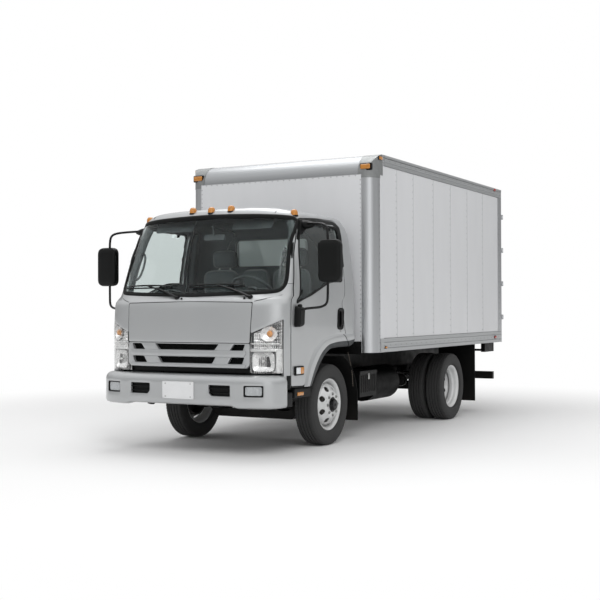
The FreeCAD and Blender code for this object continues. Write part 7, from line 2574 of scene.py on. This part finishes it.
@dataclass
class Pad:
    """A sewn cushion: a crowned closed form with piping round it and channels across its face.

    A point is middle + half * (c(v) c(u), c(v) s(u), s(v)), where c and s are the cosine and sine raised to a small
    power with their sign kept; the face is drawn down by narrow bell curves along the channels.
    """

    name: str
    middle: tuple[float, float, float]
    size: tuple[float, float, float]
    tilt: float = 0.0
    power: float = 0.34
    channels: Sequence[float] = ()
    crown: float = 0.16
    channel_deep: float = 0.009

    def build(self, body: str, nodes: Sequence[str] = ()) -> None:
        """Make the cushion and its piping.

        Args:
            body: the body that the cushion is fixed to.
            nodes: the parts that it stands in for.
        """
        u = np.linspace(-np.pi, np.pi, 121)[:-1][:, None]
        v = np.linspace(-np.pi / 2, np.pi / 2, 61)[None]

        def powered(value: Array, power: float) -> Array:
            """Value raised to a power, its sign kept."""
            return np.sign(value) * np.abs(value) ** power

        cv, sv = powered(np.cos(v), self.power), powered(np.sin(v), 0.6)
        half = np.array(self.size) / 2
        x, y = half[0] * cv * powered(np.cos(u), self.power), half[1] * cv * powered(np.sin(u), self.power)
        z = half[2] * sv * (1 + self.crown * (1 - (x / half[0]) ** 2) * (1 - (y / half[1]) ** 2))
        groove = sum((np.exp(-((x - half[0] * at) / 0.008) ** 2) for at in self.channels), np.zeros_like(x))
        z = z - self.channel_deep * groove * np.clip(sv, 0, 1)
        wrinkle = 0.0016 * np.sin(x * 61 + 2 * np.sin(y * 33)) * np.sin(y * 47 + 1.3)
        lean = turn("x", self.tilt)
        grid = xyz(x, y, z + wrinkle * np.clip(sv, 0, 1)) @ lean.T + self.middle
        made = Piece().grid(grid, wrap_u=True, flip=True).make(self.name, SEAT_CLOTH, body, nodes, angle=60)
        rim = xyz(half[0] * 1.004 * powered(np.cos(u), self.power)[:, 0], half[1] * 1.004
            * powered(np.sin(u), self.power)[:, 0], half[2] * 0.3) @ lean.T + self.middle
        piping = Piece().tube(np.vstack([rim, rim[:1]]), 0.004, 6, up=tuple(lean @ (0, 0, 1)))
        piping.make(f"{self.name}_piping", DARK_TRIM, body, angle=60)


@dataclass
class Cabin:
    """Lining, dash, seats and small fittings that show through the glass or when a door is open."""

    recline: float = -82.0
    lid_margin: float = 0.012

    def build(self) -> None:
        """Make all of it."""
        trim, under = lining("cab_shell")
        trim.make("cab_lining", CAB_TRIM, "cab", angle=30)
        under.make("cab_underside", UNDER_PAINT, "cab", angle=30)
        lid = carved("front_lid", [])
        points = np.vstack(lid.points) * (0.985, 1, 1)
        points[:, 2] = np.minimum(points[:, 2], 1.498)
        depth, _ = cab_depth(points)
        faces = [face for face in lid.faces if depth[face].mean() > self.lid_margin]
        drawn_in = points + np.array([0, 1, 0]) * np.clip(self.lid_margin - depth, 0, 0.05)[:, None]
        Piece().lay(drawn_in, faces).make("lid_inner", CAB_PAINT, "front_lid", angle=30)
        self.seats()
        self.dash()
        self.fittings()

    def seats(self) -> None:
        """Driver's and passenger's seats with headrests and a narrow middle seat."""
        back = AXLE - 0.01
        for name, x, wide in (("driver", 0.455, 0.46), ("middle", 0.0, 0.32), ("passenger", -0.455, 0.46)):
            outer = name != "middle"
            channels = (-0.55, 0.55) if outer else (0.0,)
            cushion = Pad(f"{name}_cushion", (x, back - 0.25, 1.23), (wide, 0.54, 0.16), -4, channels=channels)
            cushion.build("cab", ["seats"] if name == "driver" else [])
            Pad(f"{name}_back", (x, back + 0.05, 1.595), (wide * 0.98, 0.6, 0.14), self.recline,
                channels=channels).build("cab")
            if outer:
                Pad(f"{name}_headrest", (x, back + 0.095, 2.02), (0.3, 0.2, 0.11), self.recline,
                    power=0.5).build("cab")
                post = Piece()
                for off in (-0.07, 0.07):
                    post.tube(np.array([(x + off, back + 0.085, 1.84), (x + off, back + 0.095, 2.0)]), 0.006, 10,
                        up=(0, 1, 0))
                post.make(f"{name}_headrest_posts", BRIGHT_STEEL, "cab")

    def dash(self) -> None:
        """Dash top with a hood over the dials, vents, a shelf lip and a switch panel, over the frame's dash."""
        piece = Piece()
        xs = np.linspace(-0.93, 0.93, 61)
        section = [(-1.06, 1.548), (-1.0, 1.578), (-0.94, 1.585), (-0.9, 1.575), (-0.865, 1.548), (-0.86, 1.5),
            (-0.875, 1.44), (-0.9, 1.36)]
        hood = 0.075 * np.exp(-((xs - 0.43) / 0.2) ** 4)
        rows = []
        bow = 0.12 * (np.abs(xs) / 0.93) ** 4
        for y, z in section:
            lift = hood * max(0.0, 1 - abs(y + 0.92) / 0.12)
            rows.append(xyz(xs, AXLE + y + bow * (y < -0.98), z + lift))
        piece.grid(np.array(rows), flip=True)
        piece.make("dash_top", DARK_TRIM, "cab", ["dashboard"], angle=50)
        vents = Piece()
        for x, z in ((x, 1.47 + 0.012 * k) for x in (-0.75, -0.12, 0.12, 0.78) for k in range(5)):
            vents.block((x - 0.06, AXLE - 0.872, z), (x + 0.06, AXLE - 0.855, z + 0.004), 0.001)
        vents.block((0.3, AXLE - 0.905, 1.555), (0.56, AXLE - 0.895, 1.625), 0.004, "y", 0.02)
        vents.block((-0.08, AXLE - 0.875, 1.38), (0.08, AXLE - 0.862, 1.45), 0.004, "y", 0.01)
        vents.make("dash_vents", GLOSS_BLACK, "cab")
        lower = carved("dashboard", [])
        points = np.vstack(lower.points)
        depth, out = cab_depth(points)
        points = points - out * np.clip(0.05 - depth, 0, 0.1)[:, None]
        points[:, 2] = np.minimum(points[:, 2], 1.53)
        Piece().lay(points, lower.faces).make("dash_body", DARK_TRIM, "cab", angle=30)

    def fittings(self) -> None:
        """Grab handles on the pillars, sun visors, the inside mirror and window winders."""
        handles = Piece()
        for sign in (1, -1):
            foot, head = on_front(0.93, 1.78, -0.06), on_front(0.925, 2.08, -0.06)
            route = [foot, foot + (-0.035, 0.05, 0.01), (foot + head) / 2 + (-0.045, 0.06, 0),
                head + (-0.035, 0.05, -0.01), head]
            bar = Piece().tube(bend(route, 28), 0.012, 10, up=(0, 1, 0.2))
            handles.also(bar if sign > 0 else bar.mirrored())
        grip = bend([(-0.72, AXLE - 0.84, 1.56), (-0.7, AXLE - 0.8, 1.64), (-0.56, AXLE - 0.79, 1.665),
            (-0.42, AXLE - 0.8, 1.64), (-0.4, AXLE - 0.84, 1.56)], 28)
        handles.tube(grip, 0.013, 10, up=(0, 1, 0.2))
        handles.make("pillar_handles", DARK_TRIM, "cab", angle=60)
        pillars = Piece()
        levels = np.linspace(1.5, 2.36, 16)
        edge = np.interp(levels, *np.array(CabSkin.door_front)[:, ::-1].T)
        path = np.array([on_side(y, z, -0.058) for y, z in zip(edge, levels)])
        pillars.tube(path, 0.05, 14, up=(0, 1, 0))
        rear = np.array([on_side(0.17, z, -0.062) for z in np.linspace(1.2, 2.36, 12)])
        pillars.tube(rear, 0.045, 12, up=(0, 1, 0))
        pillars.also(Piece().also(pillars).mirrored()).make("pillar_trims", CAB_TRIM, "cab", angle=60)
        visors = Piece()
        for x in (-0.48, 0.48):
            visors.block((x - 0.24, -0.006, -0.075), (x + 0.24, 0.006, 0.075), 0.005, "y", 0.03)
        visors.moved(turn("x", -34), (0, AXLE - 0.83, 2.33)).make("sun_visors", DARK_TRIM, "cab")
        mirror = Piece().block((-0.13, -0.012, -0.035), (0.13, 0.012, 0.035), 0.01, "y", 0.03)
        mirror.moved(turn("x", -8), (0, AXLE - 0.82, 2.2))
        mirror.tube(np.array([(0, AXLE - 0.83, 2.22), (0, AXLE - 0.85, 2.33)]), 0.008, 8, up=(1, 0, 0))
        mirror.make("inside_mirror", DARK_TRIM, "cab")
        for side in Side:
            trim = Piece().block((0.985, AXLE - 0.62, 1.42), (1.0, AXLE - 0.12, 1.47), 0.01, "x", 0.02)
            trim.lathe([(0, 0.0), (0, 0.022), (-0.02, 0.02), (-0.024, 0)], (1.0, AXLE - 0.45, 1.33), 20)
            trim.tube(np.array([(0.975, AXLE - 0.45, 1.33), (0.97, AXLE - 0.56, 1.345)]), 0.007, 8)
            trim.block((0.955, AXLE - 0.585, 1.33), (0.975, AXLE - 0.555, 1.36), 0.006)
            trim.make_on(side, "door_pull", DARK_TRIM, f"cab_door_{side.word}")


def main() -> None:
    """Build every sub-assembly in order."""
    Studio().build()
    dress_nodes()
    CabSkin().build()
    Grille().build()
    for side in Side:
        Headlamp(side).build()
    Bumper().build()
    CabTrim().build()
    for side in Side:
        Wheels(side).build()
    CargoBody().build()
    Cabin().build()
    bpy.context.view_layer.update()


if __name__ == "__main__":
    main()
